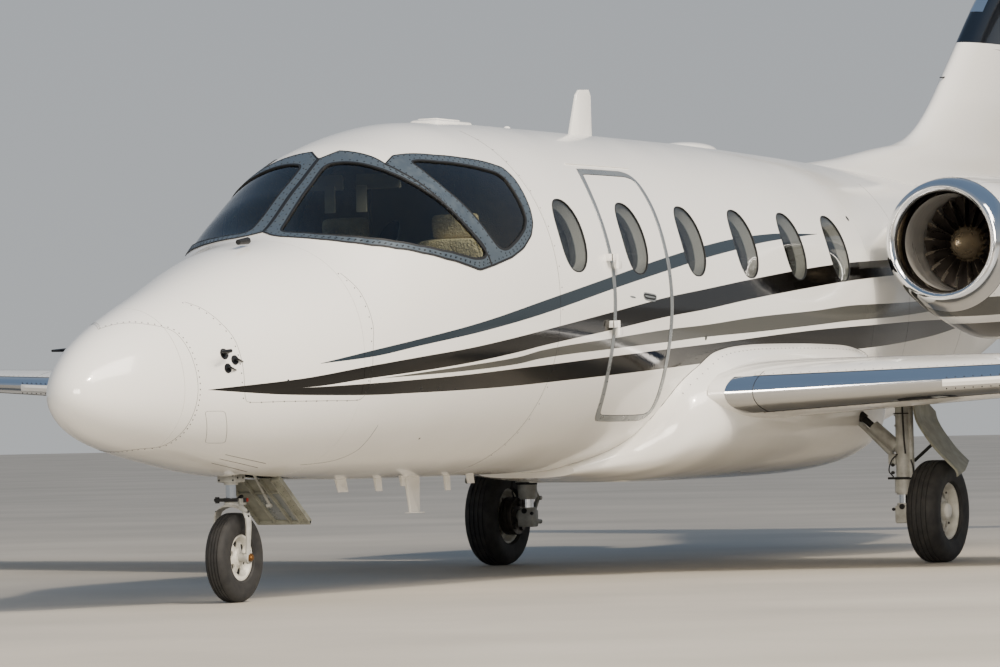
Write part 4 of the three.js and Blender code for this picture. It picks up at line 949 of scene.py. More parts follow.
# %% Handle and hinge knuckles
handle_outline = rounded(drawn_side([
    (4.722, 1.566), (4.905, 1.552), (4.893, 1.520), (4.735, 1.531),
]), 48)
handle_parts = [
    wrap(trim(handle_outline, flat_bar(0.004, -0.002, -0.002, 0.0022))),
    wrap(patch(grown(handle_outline, -0.010), -0.001, 0.0032, (), 0.02)),
]
slot_outline = rounded(drawn_side([(4.545, 1.549), (4.640, 1.541), (4.640, 1.531), (4.545, 1.539)]), 32)
handle_parts.append(wrap(patch(slot_outline, -0.001, 0.0016, (), 0.02)))
piece("door_handle", merged(handle_parts), silver_enamel, (), "door")
# A thin black patch under the handle's grip is painted shade for the recess behind it.
shadow = wrap(patch(grown(handle_outline, -0.001), -0.001, 0.0009, (), 0.02))
piece("door_handle_recess_painted_shade", shadow, seal_rubber, (), "door")


def rod(bm, start, end, radius, far_radius=None, sides=24):
    """A straight round bar between two points."""
    start, end = Vector(start), Vector(end)
    turn = (end - start).to_track_quat("Z", "Y").to_matrix().to_4x4()
    bmesh.ops.create_cone(
        bm, cap_ends=True, segments=sides, radius1=radius,
        radius2=radius if far_radius is None else far_radius, depth=(end - start).length,
        matrix=Matrix.Translation((start + end) / 2) @ turn,
    )
    return bm


def block(bm, low, high, edge=0.003):
    """A box between two corners with its edges broken."""
    low, high = Vector(low), Vector(high)
    made = bmesh.ops.create_cube(bm, size=1)["verts"]
    bmesh.ops.scale(bm, verts=made, vec=high - low)
    bmesh.ops.translate(bm, verts=made, vec=(low + high) / 2)
    if edge:
        edges = list({e for v in made for e in v.link_edges})
        bmesh.ops.bevel(
            bm, geom=edges, offset=edge, offset_type="OFFSET", segments=2, profile=0.5,
            affect="EDGES", material=-1,
        )
    return bm


def knuckles(levels, away):
    bm = bmesh.new()
    x = NOSE_X - HINGE_STATION
    for z in levels:
        rod(bm, (x, HINGE_Y, z), (x, HINGE_Y, z + 0.0395), 0.011)
        ends = sorted((x, x - 0.052 * away))
        block(bm, (ends[0], 0.864, z + 0.001), (ends[1], 0.876, z + 0.0385), 0.002)
        foot = sorted((x - 0.034 * away, x - 0.052 * away))
        block(bm, (foot[0], 0.812, z + 0.001), (foot[1], 0.874, z + 0.0385), 0.002)
    return bm


piece("door_hinge_leaves", knuckles((1.330, 1.690), 1), white_topcoat, (), "door")
piece("skin_hinge_leaves", knuckles((1.3705, 1.7305), -1), white_topcoat)

# %% [markdown]
# ## Cabin windows
# Each window is an oval acrylic pane in a thin black seal. Behind it a deep cream bezel runs in
# through the insulation to a second, inner pane. From ahead the bezel's rear wall catches the
# light, which gives each window its bright crescent. The bezel is one closed ring whose section
# steps inwards, and the lining between the windows is a second, inner slab.

# %% Window sets
LINING = 0.058
BEZEL = [
    (0.0005, -0.0085), (-0.0045, -0.0105), (-0.010, -0.024), (-0.020, -0.046), (-0.024, -LINING - 0.002),
    (-0.020, -LINING - 0.005), (0.012, -LINING - 0.002), (0.012, -LINING + 0.002), (0.004, -0.030),
]
DOOR_BEZEL = [(out, max(lift, -DOOR_THICK - 0.003)) for out, lift in BEZEL]


def window_set(outlines, bezel=BEZEL):
    bezels = merged([wrap(trim(o, bezel)) for o in outlines])
    panes = merged([
        pane(grown(o, out), low, high, 0.04)
        for o in outlines
        for out, low, high in ((-0.0005, -0.0080, -0.0045), (-0.0235, bezel[4][1], bezel[4][1] + 0.003))
    ])
    black = merged([wrap(trim(o, flat_bar(0.0004, -0.0062, -0.006, 0.0008))) for o in outlines])
    return bezels, panes, black


for name, outlines, node, body in (
    ("door", [DOOR_WINDOW], "door_window", "door"),
    ("front", PORT_WINDOWS[:1], "front_cabin_window", "airframe"),
    ("port", PORT_WINDOWS[1:], "cabin_windows_left", "airframe"),
    ("starboard", STARBOARD_WINDOWS, "cabin_windows_right", "airframe"),
):
    bezels, panes, black = window_set(outlines, DOOR_BEZEL if body == "door" else BEZEL)
    piece(f"{name}_window_bezels", bezels, trim_cream, (), body)
    piece(f"{name}_window_panes", panes, cabin_acrylic, node, body)
    piece(f"{name}_window_seals", black, seal_rubber, (), body)

# %% Linings
lining_round = np.linspace(-48, 228, 100)
liner = flat_slab(stations((3.705, 8.095, 0.08)), lining_round, -LINING - 0.002, -LINING + 0.001)
door_way = [grown(DOOR, 0.012)]
liner = carved(liner, [prism(o, -0.2, 0.05) for o in door_way + PORT_WINDOWS + STARBOARD_WINDOWS])
piece("cabin_lining", wrap(liner), trim_cream)
reveal = [
    (0.0125, -LINING - 0.002), (0.0125, -0.0065), (0.0045, -0.0065), (0.0045, -0.012),
    (0.010, -LINING - 0.002),
]
piece("door_reveal", wrap(trim(DOOR, reveal)), silver_enamel)
print("cabin windows:", len(PORT_WINDOWS) + len(STARBOARD_WINDOWS) + 1)

# %% [markdown]
# ## Belly fairing
# A smooth fairing swells out of the belly to carry the wing roots. It is lofted from squarish
# ovals and cut where it meets the fuselage, so its edge runs along the skin as one thin joint.
# A row of small screws holds it along that edge.

# %% Lofts


def lofted(rings):
    """Closed skin through rings of equally many points."""
    around = len(rings[0])
    bm = sheet(len(rings) - 1, around, lambda i, j: rings[i][j % around])
    bmesh.ops.remove_doubles(bm, verts=bm.verts, dist=1e-6)
    bmesh.ops.holes_fill(bm, edges=bm.edges, sides=0)
    bmesh.ops.recalc_face_normals(bm, faces=bm.faces)
    return bm


def fuselage_body(first, last, lift=0.0005):
    ring = ROUND[:-1]
    return lofted([
        skin_point(s, ring) + lift * skin_normal(s, ring) for s in np.linspace(first, last, 40)
    ])


# %% Fairing
FAIRING = np.array([
    (4.950, 0.300, 0.640, 0.560),
    (5.200, 0.560, 0.800, 0.552),
    (5.290, 0.790, 1.020, 0.546),
    (5.378, 0.885, 1.160, 0.540),
    (5.570, 0.965, 1.280, 0.525),
    (5.724, 0.985, 1.365, 0.520),
    (5.989, 0.990, 1.410, 0.518),
    (6.414, 0.985, 1.435, 0.515),
    (6.930, 0.985, 1.440, 0.515),
    (7.556, 0.975, 1.430, 0.520),
    (7.901, 0.930, 1.410, 0.530),
    (8.500, 0.700, 1.250, 0.620),
    (9.150, 0.330, 1.050, 0.740),
])
fairing_form = [smooth_curve(FAIRING[:, 0], FAIRING[:, k]) for k in (1, 2, 3)]


def fairing_point(station, turn, lift=0.0):
    """Fairing surface at a station; the turn goes round from port over the top."""
    width, top, bottom = [curve(station) for curve in fairing_form]
    cosine, sine = np.cos(turn), np.sin(turn)
    return np.stack([
        NOSE_X - station + 0 * turn,
        (width + lift) * signed_power(cosine, 0.75),
        (top + bottom) / 2 + ((top - bottom) / 2 + lift) * signed_power(sine, 0.75),
    ], -1)


def fairing_edge(station):
    """Height at which the port side of the fairing meets the fuselage."""
    turn = np.linspace(math.pi / 2, 0, 400)
    side = fairing_point(station, turn)
    clock = clock_at(station, side[:, 2])
    outside = side[:, 1] > skin_point(station, clock)[:, 1]
    return side[np.argmax(outside), 2]


FAIRING_TURN = np.linspace(0, 2 * math.pi, 96, endpoint=False)
fairing = lofted([fairing_point(s, FAIRING_TURN) for s in stations((4.95, 5.8, 0.03), (5.8, 9.15, 0.1))])
fairing = carved(fairing, [fuselage_body(4.7, 9.4)])
piece("fairing_skin", fairing, white_topcoat, "wing_fairing")
edge_stations = np.concatenate([np.linspace(5.26, 5.7, 12), np.linspace(5.8, 8.9, 32)])
fairing_line = drawn_side([(s, fairing_edge(s)) for s in edge_stations])
joint = wrap(trim(fairing_line, flat_bar(0.002, -0.002, -0.001, 0.0022), closed=False))
piece("fairing_joint", mirrored(joint), seal_rubber)


def fairing_screws(pitch=0.055, drop=0.028):
    bm = bmesh.new()
    for s in np.arange(5.36, 8.7, pitch):
        level = fairing_edge(s) - drop
        turn = np.linspace(math.pi / 2, 0, 400)
        side = fairing_point(s, turn)
        k = int(np.argmin(np.abs(side[:, 2] - level)))
        outward = fairing_point(s, turn[k:k + 1], 0.01)[0] - side[k]
        add_head(bm, side[k], outward, 0.0042, 0.002)
    return mirrored(bm)


piece("fairing_screws", fairing_screws(), screw_steel)
print("fairing edge at 6.4 m:", round(float(fairing_edge(6.4)), 3))

# %% [markdown]
# ## Wing
# The wing is a plain tapered box with a rounded section, thin at the tip and tilted up two and a
# half degrees. Its section is the usual thickness formula over a slight camber. The same formula
# gives the solids, so the flap, the aileron and the spoiler are cut from it with a running gap,
# and every line laid on the wing finds its own height.

# %% Wing form
TIP, CRANK = 6.625, 2.300


def wing_front(y):
    return 5.060 + 0.4255 * y


def wing_tail(y):
    return 8.050 + 0.750 * np.maximum(y - CRANK, 0) / (TIP - CRANK)


def wing_level(y):
    return 0.964 + math.tan(math.radians(2.5)) * y


def wing_thickness(y):
    return 0.135 - 0.035 * y / TIP


def camber(u):
    return 4 * 0.012 * u * (1 - u)


def thickness_form(u, thickness):
    u = np.clip(u, 0, 1)
    return 5 * thickness * (
        0.2969 * np.sqrt(u) - 0.126 * u - 0.3516 * u ** 2 + 0.2843 * u ** 3 - 0.1036 * u ** 4
    )


def wing_surface(y, station):
    """Middle height and half thickness of the wing."""
    chord = wing_tail(y) - wing_front(y)
    u = (station - wing_front(y)) / chord
    return wing_level(y) + camber(u) * chord, thickness_form(u, wing_thickness(y)) * chord


ROUND_NOSE = (1 - np.cos(np.linspace(0, math.pi, 30))) / 2
AROUND = np.concatenate([ROUND_NOSE[::-1], ROUND_NOSE[1:]])
UPPER = np.concatenate([np.ones(30), -np.ones(29)])


def wing_ring(y, shrink=1.0):
    chord = wing_tail(y) - wing_front(y)
    trimmed = chord * (1 - shrink) / 2
    nose, tail = wing_front(y) + trimmed, wing_tail(y) - trimmed * 0.4
    half = thickness_form(AROUND, wing_thickness(y) * shrink) * (tail - nose)
    middle = wing_level(y) + camber(AROUND) * (tail - nose)
    return np.stack([NOSE_X - nose - AROUND * (tail - nose), 0 * half + y, middle + UPPER * half], -1)


def wing_body(first=0.90):
    spans = [(y, 1.0) for y in np.linspace(first, 6.40, 24)]
    spans += [(6.48, 0.975), (6.56, 0.93), (6.595, 0.88), (6.615, 0.81), (TIP, 0.72)]
    return lofted([wing_ring(y, shrink) for y, shrink in spans])


def hinged_surface(spans, section, margin=0.0):
    """Trailing surface with a round nose about its hinge line."""
    rings = []
    cuts = (1, 0.8, 0.6, 0.4, 0.25, 0.12, 0)
    for span in spans:
        hinge, tail, surface, place = section(span)
        middle, half = surface(hinge)
        radius = half + margin
        ring = []
        for side in (1, -1):
            row = []
            for u in cuts:
                station = hinge + u * (tail - hinge + margin * 4)
                centre, thick = surface(min(station, tail))
                row.append(place(station, centre + side * (thick + margin)))
            if side > 0:
                turns = np.linspace(0, math.pi, 13)[1:-1]
                nose = [(hinge - radius * math.sin(t), middle + radius * math.cos(t)) for t in turns]
                ring += row + [place(s, z) for s, z in nose]
            else:
                ring += row[::-1]
        rings.append(ring)
    return lofted(rings)


def wing_section(hinge_at):
    def section(y):
        return (
            hinge_at(y), float(wing_tail(y)), lambda s: wing_surface(y, s),
            lambda s, z: (NOSE_X - s, y, float(z)),
        )
    return section


def flap_hinge(y):
    return 7.650 + 0.14 * (y - 1.130)


def aileron_hinge(y):
    return 8.130 + 0.155 * (y - 4.470)


CLEAR = 0.006
FLAP_SPANS = [1.130, 1.7, CRANK, 3.3, 4.380]
AILERON_SPANS = [4.470, 5.4, 6.250]


def wider(spans):
    return [spans[0] - CLEAR, *spans[1:-1], spans[-1] + CLEAR]


def spoiler_block(spans, margin=0.0, plate=0.016):
    rings = []
    for y in spans:
        front, tail = flap_hinge(y) - 0.330 - margin, flap_hinge(y) - 0.120 + margin
        top = [(s, sum(wing_surface(y, s)) + 2 * margin) for s in np.linspace(front, tail, 6)]
        under = [(s, sum(wing_surface(y, s)) - plate - margin) for s in np.linspace(tail, front, 6)]
        rings.append([(NOSE_X - s, y, float(z)) for s, z in top + under])
    return lofted(rings)


def box_shape(stations_m, widths, heights):
    bm = bmesh.new()
    return block(
        bm, (NOSE_X - max(stations_m), min(widths), min(heights)),
        (NOSE_X - min(stations_m), max(widths), max(heights)), 0,
    )


# %% Bright leading edge
EDGE_END = 6.380


def edge_back(y, z):
    """Rear boundary of the bright strip: further back underneath than on top."""
    chord = wing_tail(y) - wing_front(y)
    return wing_front(y) + 0.045 * chord + 0.045 - 0.62 * (z - wing_level(y))


def edge_region(gap=0.0):
    root = 0.985 - gap
    turn = np.linspace(math.pi / 2, 3 * math.pi / 2, 24)
    front_view = [(root + 0.13 + 0.13 * math.cos(t), wing_level(1.1) + 0.19 * math.sin(t)) for t in turn]
    front_view += [(EDGE_END + gap, 0.9), (EDGE_END + gap, 1.6)]
    rings = [
        [(NOSE_X - 4.9, y, z) for y, z in front_view],
        [(NOSE_X - edge_back(y, z) - gap, y, z) for y, z in front_view],
    ]
    return lofted(rings)


flap_room = hinged_surface(wider(FLAP_SPANS), wing_section(flap_hinge), CLEAR)
aileron_room = hinged_surface(wider(AILERON_SPANS), wing_section(aileron_hinge), CLEAR)
spoiler_room = spoiler_block([2.444, 3.756], CLEAR)
WELL_FRONT, WELL_BACK, WELL_IN, WELL_OUT, WELL_TOP = 7.366, 7.571, 1.006, 1.346, 0.990
main_well = box_shape((WELL_FRONT, WELL_BACK), (WELL_IN, WELL_OUT), (0.60, WELL_TOP))
well_primer = grained("zinc_chromate_primer", "#6f7466", 0.6, 0.02, 0.0003)
bright = carved(wing_body(), [edge_region()], "INTERSECT")
skin = carved(wing_body(), [edge_region(0.0012), flap_room, aileron_room, spoiler_room, main_well])
for f in skin.faces:
    c = f.calc_center_median()
    inside = 7.36 < NOSE_X - c.x < 7.58 and 1.0 < c.y < 1.35 and abs(f.normal.z) < 0.999
    wall = abs(sum(np.abs(f.normal)) - 1) < 1e-3
    roof = f.normal.z < -0.9 and c.z > WELL_TOP - 0.005
    if inside and (wall or roof):
        f.material_index = 1
spoiler = spoiler_block([2.45, 2.9, 3.3, 3.75])
flap = hinged_surface(FLAP_SPANS, wing_section(flap_hinge))
aileron = hinged_surface(AILERON_SPANS, wing_section(aileron_hinge))


def pair(name, bm, finishes, stands_for=None, bodies=("airframe", "airframe"), crease=32):
    """The shape to port and its mirror image to starboard, as two pieces."""
    for side, shape, body in (("left", bm, bodies[0]), ("right", twin_of(bm), bodies[1])):
        node = f"{stands_for}_{side}" if stands_for else ()
        piece(f"{name}_{side}", shape, finishes, node, body, crease)


pair("wing_skin", skin, [white_topcoat, well_primer], "wing")
pair("bright_leading_edge", bright, polished_aluminium, "leading_edge")
pair("flap_skin", flap, white_topcoat, "flap", ("left_flap", "right_flap"))
pair("aileron_skin", aileron, white_topcoat, "aileron", ("left_aileron", "right_aileron"))
pair("spoiler_skin", spoiler, white_topcoat, "spoiler", ("left_spoiler", "right_spoiler"))
print("wing tip height:", round(float(wing_level(TIP)), 3))

# %% [markdown]
# ## Lines laid on the wing
# Joints, rib lines, screws and the stall strips are drawn flat in plan, by station and span, and
# then laid on the upper or the lower surface.

# %% Details on the wing


def wing_normal(station, y, side):
    def height(s, w):
        middle, half = wing_surface(w, s)
        return middle + side * half
    along = (height(station + 0.003, y) - height(station - 0.003, y)) / 0.006
    across = (height(station, y + 0.003) - height(station, y - 0.003)) / 0.006
    normal = side * np.stack([along, -across, np.ones_like(along)], -1)
    return normal / np.linalg.norm(normal, axis=-1, keepdims=True)


def wing_place(station, y, side, lift=0.0):
    middle, half = wing_surface(y, station)
    places = np.stack([NOSE_X - station, y, middle + side * half], -1)
    return places + np.reshape(lift, (-1, 1)) * wing_normal(station, y, side)


def lay_on_wing(bm, side):
    flat = np.array([v.co[:] for v in bm.verts])
    for v, place in zip(bm.verts, wing_place(flat[:, 0], flat[:, 1], side, flat[:, 2])):
        v.co = place
    bmesh.ops.recalc_face_normals(bm, faces=bm.faces)
    return bm


def seam_station(y, side):
    """Where the bright strip ends on the upper or lower surface."""
    s = edge_back(y, wing_level(y))
    for _ in range(12):
        middle, half = wing_surface(y, s)
        s = edge_back(y, middle + side * half)
    return s


seam_bar = flat_bar(0.0022, -0.0022, -0.002, 0.0014)
thin_bar = flat_bar(0.0010, -0.0010, -0.001, 0.0006, 0.0002)
dark_lines, heads = [], bmesh.new()
for side in (1, -1):
    spans = np.linspace(1.10, EDGE_END, 60)
    seam = np.stack([seam_station(spans, side), spans], -1)
    dark_lines.append(lay_on_wing(trim(seam, seam_bar, closed=False), side))
    behind = spaced(seam + (0.022, 0.0), 0.05, closed=False)
    where = (behind[:, 0], behind[:, 1], side)
    for centre, normal in zip(wing_place(*where), wing_normal(*where)):
        add_head(heads, centre, normal, 0.0040, 0.0014)
    for share in (0.30, 0.62):
        spar = np.stack([
            wing_front(spans) + share * (wing_tail(spans) - wing_front(spans)), spans,
        ], -1)
        dark_lines.append(lay_on_wing(trim(spar, thin_bar, closed=False), side))
    for y in (1.60, 2.30, 3.40, 4.42, 5.40):
        rib = np.linspace((seam_station(y, side) + 0.01, y), (flap_hinge(y) - 0.40, y), 12)
        dark_lines.append(lay_on_wing(trim(rib, thin_bar, closed=False), side))
pair("wing_joints", merged(dark_lines), seal_rubber)
pair("wing_screws", heads, screw_steel)


def edge_band(y_first, y_last, low_share, high_share, lift, count=40):
    """A band round the bright nose between two spans, standing off it a little."""
    shares = np.linspace(low_share, high_share, 28)
    rows = []
    for y in np.linspace(y_first, y_last, count):
        chord = wing_tail(y) - wing_front(y)
        row = []
        for share in shares:
            s = wing_front(y) + share ** 2 * chord
            row.append(wing_place(np.array([s]), np.array([y]), 1 if share >= 0 else -1, lift)[0])
        rows.append(row)
    return sheet(len(rows) - 1, len(shares) - 1, lambda i, j: rows[i][j])


root_line = edge_band(1.1285, 1.1315, -0.30, 0.26, 0.0008, 2)
bmesh.ops.solidify(root_line, geom=root_line.faces, thickness=0.001)
pair("leading_edge_seam", root_line, seal_rubber)


def stall_strip(first, last):
    """Three-sided strip screwed to the nose of the wing."""
    rings = []
    for y in np.linspace(first, last, 12):
        lean = 1.0 if first + 0.01 < y < last - 0.01 else 0.35
        x, z = NOSE_X - wing_front(y), wing_level(y) - 0.012
        rings.append([
            (x - 0.012, y, z + 0.020), (x + 0.001, y, z + 0.018), (x + 0.010 * lean, y, z + 0.001),
            (x + 0.001, y, z - 0.020), (x - 0.012, y, z - 0.022),
        ])
    return lofted(rings)


strips = merged([stall_strip(2.10, 2.75), stall_strip(4.20, 4.50)])
pair("stall_strips", strips, white_topcoat)
strip_heads = bmesh.new()
for first, last in ((2.12, 2.74), (4.22, 4.49)):
    for y in np.arange(first, last, 0.045):
        for rise in (0.028, -0.034):
            centre = (NOSE_X - wing_front(y) - 0.0035, y, wing_level(y) - 0.012 + rise)
            add_head(strip_heads, centre, (1, 0.0, rise * 8), 0.0040, 0.003)
pair("stall_strip_screws", strip_heads, screw_steel)

# %% [markdown]
# ## Engine nacelles
# Each engine hangs beside the rear fuselage in a pod that is round in front and deeper below,
# where the gearbox is. The pod is drawn flat by station and clock angle like the fuselage, so its
# three bands are cut by straight planes, and then wrapped. The inlet lip is spun polished metal.

# %% Nacelle form
ENGINE_Y, ENGINE_Z = 1.278, 1.898
NACELLE = np.array([
    (8.040, 0.345, 0.345, 0.345),
    (8.070, 0.368, 0.366, 0.370),
    (8.160, 0.392, 0.386, 0.408),
    (8.400, 0.416, 0.404, 0.490),
    (8.900, 0.428, 0.412, 0.580),
    (9.500, 0.420, 0.402, 0.580),
    (10.10, 0.360, 0.350, 0.470),
    (10.74, 0.262, 0.262, 0.280),
])
DUCT = np.array([
    (8.040, 0.318), (8.080, 0.298), (8.170, 0.290), (8.520, 0.292), (9.900, 0.292),
    (10.300, 0.262), (10.740, 0.246),
])
nacelle_form = [smooth_curve(NACELLE[:, 0], NACELLE[:, k]) for k in (1, 2, 3)]
duct_radius = smooth_curve(DUCT[:, 0], DUCT[:, 1])
LIP_BACK, NOZZLE_BACK = 8.190, 10.740


def around_engine(station, clock, side, upper, lower, lift=0.0):
    cosine, sine = np.cos(np.radians(clock)), np.sin(np.radians(clock))
    reach = np.where(sine > 0, upper, lower)
    return np.stack([
        NOSE_X - station + 0 * cosine,
        ENGINE_Y + (side + lift) * cosine,
        ENGINE_Z + (reach + lift) * sine,
    ], -1)


def nacelle_point(station, clock, lift=0.0):
    return around_engine(station, clock, *[curve(station) for curve in nacelle_form], lift)


def duct_point(station, clock, lift=0.0):
    radius = duct_radius(station)
    return around_engine(station, clock, radius, radius, radius, lift)


def lay_round(bm, point):
    """Wrap a flat drawing round an engine, closing the seam underneath."""
    flat = np.array([v.co[:] for v in bm.verts])
    bm.verts.index_update()
    for seam in (-90 * FLAT, 270 * FLAT):
        at_seam = np.abs(flat[:, 1] - seam) < 1e-4
        ends = [f for f in bm.faces if all(at_seam[v.index] for v in f.verts)]
        bmesh.ops.delete(bm, geom=ends, context="FACES_ONLY")
    for v, place in zip(bm.verts, point(flat[:, 0], flat[:, 1] / FLAT, flat[:, 2])):
        v.co = place
    bmesh.ops.remove_doubles(bm, verts=bm.verts, dist=2e-5)
    bmesh.ops.recalc_face_normals(bm, faces=bm.faces)
    return bm


# %% Painted cowl with its bands
BANDS = {
    "upper": (black_topcoat, 1.680, 1.795),
    "middle": (warm_grey_topcoat, 1.447, 1.563),
    "lower": (black_topcoat, 1.300, 1.400),
}


def nacelle_clock(station, height):
    lower = nacelle_form[2](station)
    return np.degrees(np.arcsin(np.clip((height - ENGINE_Z) / lower, -1, 0)))


def band_edge(height, side):
    def line(s):
        clock = nacelle_clock(s, height + 0.055 * (s - 8.2))
        return (clock if side > 0 else 180 - clock) * FLAT
    return line


cowl = flat_slab(stations((LIP_BACK, NOZZLE_BACK, 0.05)), ROUND, -0.005, 0)
cowl_finishes = [white_topcoat, black_topcoat, warm_grey_topcoat]
for finish, low, high in BANDS.values():
    first, last = LIP_BACK - 0.1, NOZZLE_BACK + 0.16
    for side in (1, -1):
        edges = [band_edge(low, side), band_edge(high, side)]
        for edge in edges:
            cut_stripe_edge(cowl, edge, first, last)
        centres = np.array([f.calc_center_median()[:] for f in cowl.faces])
        x, y = centres[:, 0], centres[:, 1]
        lows = np.minimum(edges[0](x), edges[1](x))
        highs = np.maximum(edges[0](x), edges[1](x))
        if side < 0:
            y = np.where(y < 0, y + 360 * FLAT, y)
        for f, painted in zip(cowl.faces, (y > lows) & (y < highs)):
            if painted:
                f.material_index = cowl_finishes.index(finish)
pair("nacelle_cowl", lay_round(cowl, nacelle_point), cowl_finishes, "nacelle")

# %% Inlet lip
lip_rows = [(s, 1.0, 0.0) for s in np.linspace(LIP_BACK - 0.001, 8.050, 10)]
lip_rows += [(8.044, 1.0, 0.0), (8.0408, 0.0, 0.337), (8.040, 0.0, 0.331), (8.0412, 0.0, 0.324)]
lip_rows += [(8.046, 0.0, 0.316), (8.056, 0.0, 0.308), (8.072, 0.0, 0.300), (8.10, 0.0, 0.2945)]
lip_rows += [(8.140, 0.0, 0.2912), (LIP_BACK - 0.001, 0.0, 0.290)]
lip_clock = np.linspace(0, 360, 120, endpoint=False)
lip_rings = [
    nacelle_point(s, lip_clock) if outer else around_engine(s, lip_clock, radius, radius, radius)
    for s, outer, radius in lip_rows
]
pair("inlet_lip", lofted(lip_rings + lip_rings[:1]), lip_aluminium, "inlet_lip")
lip_seam = trim(
    np.stack([np.full(181, LIP_BACK), np.linspace(-90, 270, 181) * FLAT], -1),
    flat_bar(0.0014, -0.0014, -0.003, 0.0008, 0.0002), closed=False,
)
cowl_lines = [lay_round(lip_seam, nacelle_point)]
for s in (8.78, 9.62, 10.32):
    ring = np.stack([np.full(121, s), np.linspace(-90, 270, 121) * FLAT], -1)
    cowl_lines.append(lay_round(trim(ring, thin_bar, closed=False), nacelle_point))
for clock in (-38, 62, 218):
    along = np.linspace((8.20, clock * FLAT), (10.32, clock * FLAT), 40)
    cowl_lines.append(lay_round(trim(along, thin_bar, closed=False), nacelle_point))
pair("cowl_joints", merged(cowl_lines), seal_rubber)

# %% Cowl latches and screws
cowl_heads = bmesh.new()
for clock in np.arange(-88, 268, 8):
    for s in (LIP_BACK + 0.022, 10.30):
        centre = nacelle_point(np.array([s]), np.array([clock]))[0]
        outward = centre - nacelle_point(np.array([s]), np.array([clock]), -0.01)[0]
        add_head(cowl_heads, centre, outward, 0.0040, 0.0014)
pair("cowl_screws", cowl_heads, screw_steel)
latches = bmesh.new()
for s in (8.45, 8.95, 9.35, 9.85):
    for clock in (-40.5, 220.5):
        centre = nacelle_point(np.array([s]), np.array([clock]), 0.001)[0]
        outward = Vector(centre - nacelle_point(np.array([s]), np.array([clock]), -0.01)[0])
        made = bmesh.ops.create_cube(latches, size=1)["verts"]
        bmesh.ops.scale(latches, verts=made, vec=(0.070, 0.022, 0.003))
        turn = outward.to_track_quat("Z", "X").to_matrix().to_4x4()
        bmesh.ops.transform(latches, verts=made, matrix=Matrix.Translation(centre) @ turn)
pair("cowl_latches", latches, silver_enamel)

# %% [markdown]
# ## Duct, fan and exhaust
# Behind the lip the duct is a brushed grey sound lining. The fan stands four hundred millimetres
# in: a turned spinner in bare metal, weathered warm, and twisted titanium blades whose leading
# edges are worn bright. Behind it stand the fixed vanes, and the exhaust cone shows at the back.

# %% Metals of the engine
duct_lining = rubbed_metal("brushed_sound_lining", "#b3b0aa", 0.38, (1.0, 0.15, 0.15), 0.0002, 0.6)
spinner_metal = rubbed_metal("weathered_spinner_aluminium", "#a8987e", 0.30, (1.0, 1.0, 1.0), 0.0002, 0.85)
blade_titanium = rubbed_metal("dark_forged_titanium_blade", "#57504a", 0.36, (2.0, 0.6, 0.6), 0.0001, 0.9)
blade_edge = rubbed_metal("worn_bright_blade_edge", "#c9bfb0", 0.22, (1.0, 1.0, 1.0), 0.0001, 1.0)
exhaust_steel = rubbed_metal("heat_stained_exhaust_steel", "#6d6258", 0.42, (0.3, 1.0, 1.0), 0.0002, 0.95)
# Near-black finish for the engine core: painted shade for the dark depth of the engine behind the fan.
core_cavity_shade = grained("core_casing_painted_shade", "#151413", 0.7, 0.03, 0.0004)


CORE_BACK = 9.880


def duct_sleeve(first, last, thick=0.003, pitch=0.03):
    bm = flat_slab(stations((first, last, pitch)), np.linspace(-90, 270, 97), 0, thick)
    return lay_round(bm, duct_point)


pair("inlet_duct", duct_sleeve(LIP_BACK, 8.66), duct_lining)
pair("exhaust_sleeve", duct_sleeve(CORE_BACK, NOZZLE_BACK - 0.002, 0.004), exhaust_steel)
rim_clock = np.linspace(0, 360, 96, endpoint=False)
rim_ends = (NOZZLE_BACK - 0.001, NOZZLE_BACK - 0.040)
nozzle_rim = [
    nacelle_point(rim_ends[0], rim_clock), duct_point(rim_ends[0], rim_clock),
    duct_point(rim_ends[1], rim_clock), nacelle_point(rim_ends[1], rim_clock, -0.004),
]
pair("exhaust_rim", lofted(nozzle_rim + nozzle_rim[:1]), exhaust_steel)


# %% Fan
FAN_BLADES = 18
FAN_MIDDLE = (8.430 + 8.560) / 2
BLADE_ROOT, BLADE_TIP = 0.088, 0.284


def around_axis(station, radius, angle):
    return NOSE_X - station, ENGINE_Y + radius * math.cos(angle), ENGINE_Z + radius * math.sin(angle)


def blade_twist(step):
    return 0.35 + 0.72 * step


def lathe(points, centre, axis, sides):
    """Turn a line of points once round an axis and close it."""
    bm = bmesh.new()
    line = [bm.verts.new(point) for point in points]
    edges = [bm.edges.new(ends) for ends in zip(line, line[1:])]
    bmesh.ops.spin(
        bm, geom=line + edges, cent=centre, axis=axis, angle=2 * math.pi, steps=sides, use_merge=True,
    )
    bmesh.ops.remove_doubles(bm, verts=bm.verts, dist=1e-5)
    bmesh.ops.recalc_face_normals(bm, faces=bm.faces)
    return bm


def turned_part(profile, sides=64, y=ENGINE_Y, z=ENGINE_Z):
    """A part turned about the engine's axis, from (station, radius) pairs."""
    return lathe([(NOSE_X - s, y, z + r) for s, r in profile], (0, y, z), (1, 0, 0), sides)


def blade(turn):
    """One blade: lens-shaped sections from the hub out, turning further from the axis each time."""
    rings = []
    for step in np.linspace(0, 1, 9):
        radius = BLADE_ROOT + step * (BLADE_TIP - BLADE_ROOT)
        twist = blade_twist(step)
        width = 0.046 + 0.010 * step - 0.008 * (2 * step - 1) ** 8
        thick = 0.0042 * (1 - 0.6 * step)
        ring = []
        for t in np.linspace(0, 2 * math.pi, 14, endpoint=False):
            across, side = width * math.cos(t), thick * math.sin(t) + 0.006 * math.cos(t) ** 2
            along = across * math.cos(twist) - side * math.sin(twist)
            rim = across * math.sin(twist) + side * math.cos(twist)
            ring.append(around_axis(FAN_MIDDLE + along, radius, turn + rim / radius))
        rings.append(ring)
    return lofted(rings)


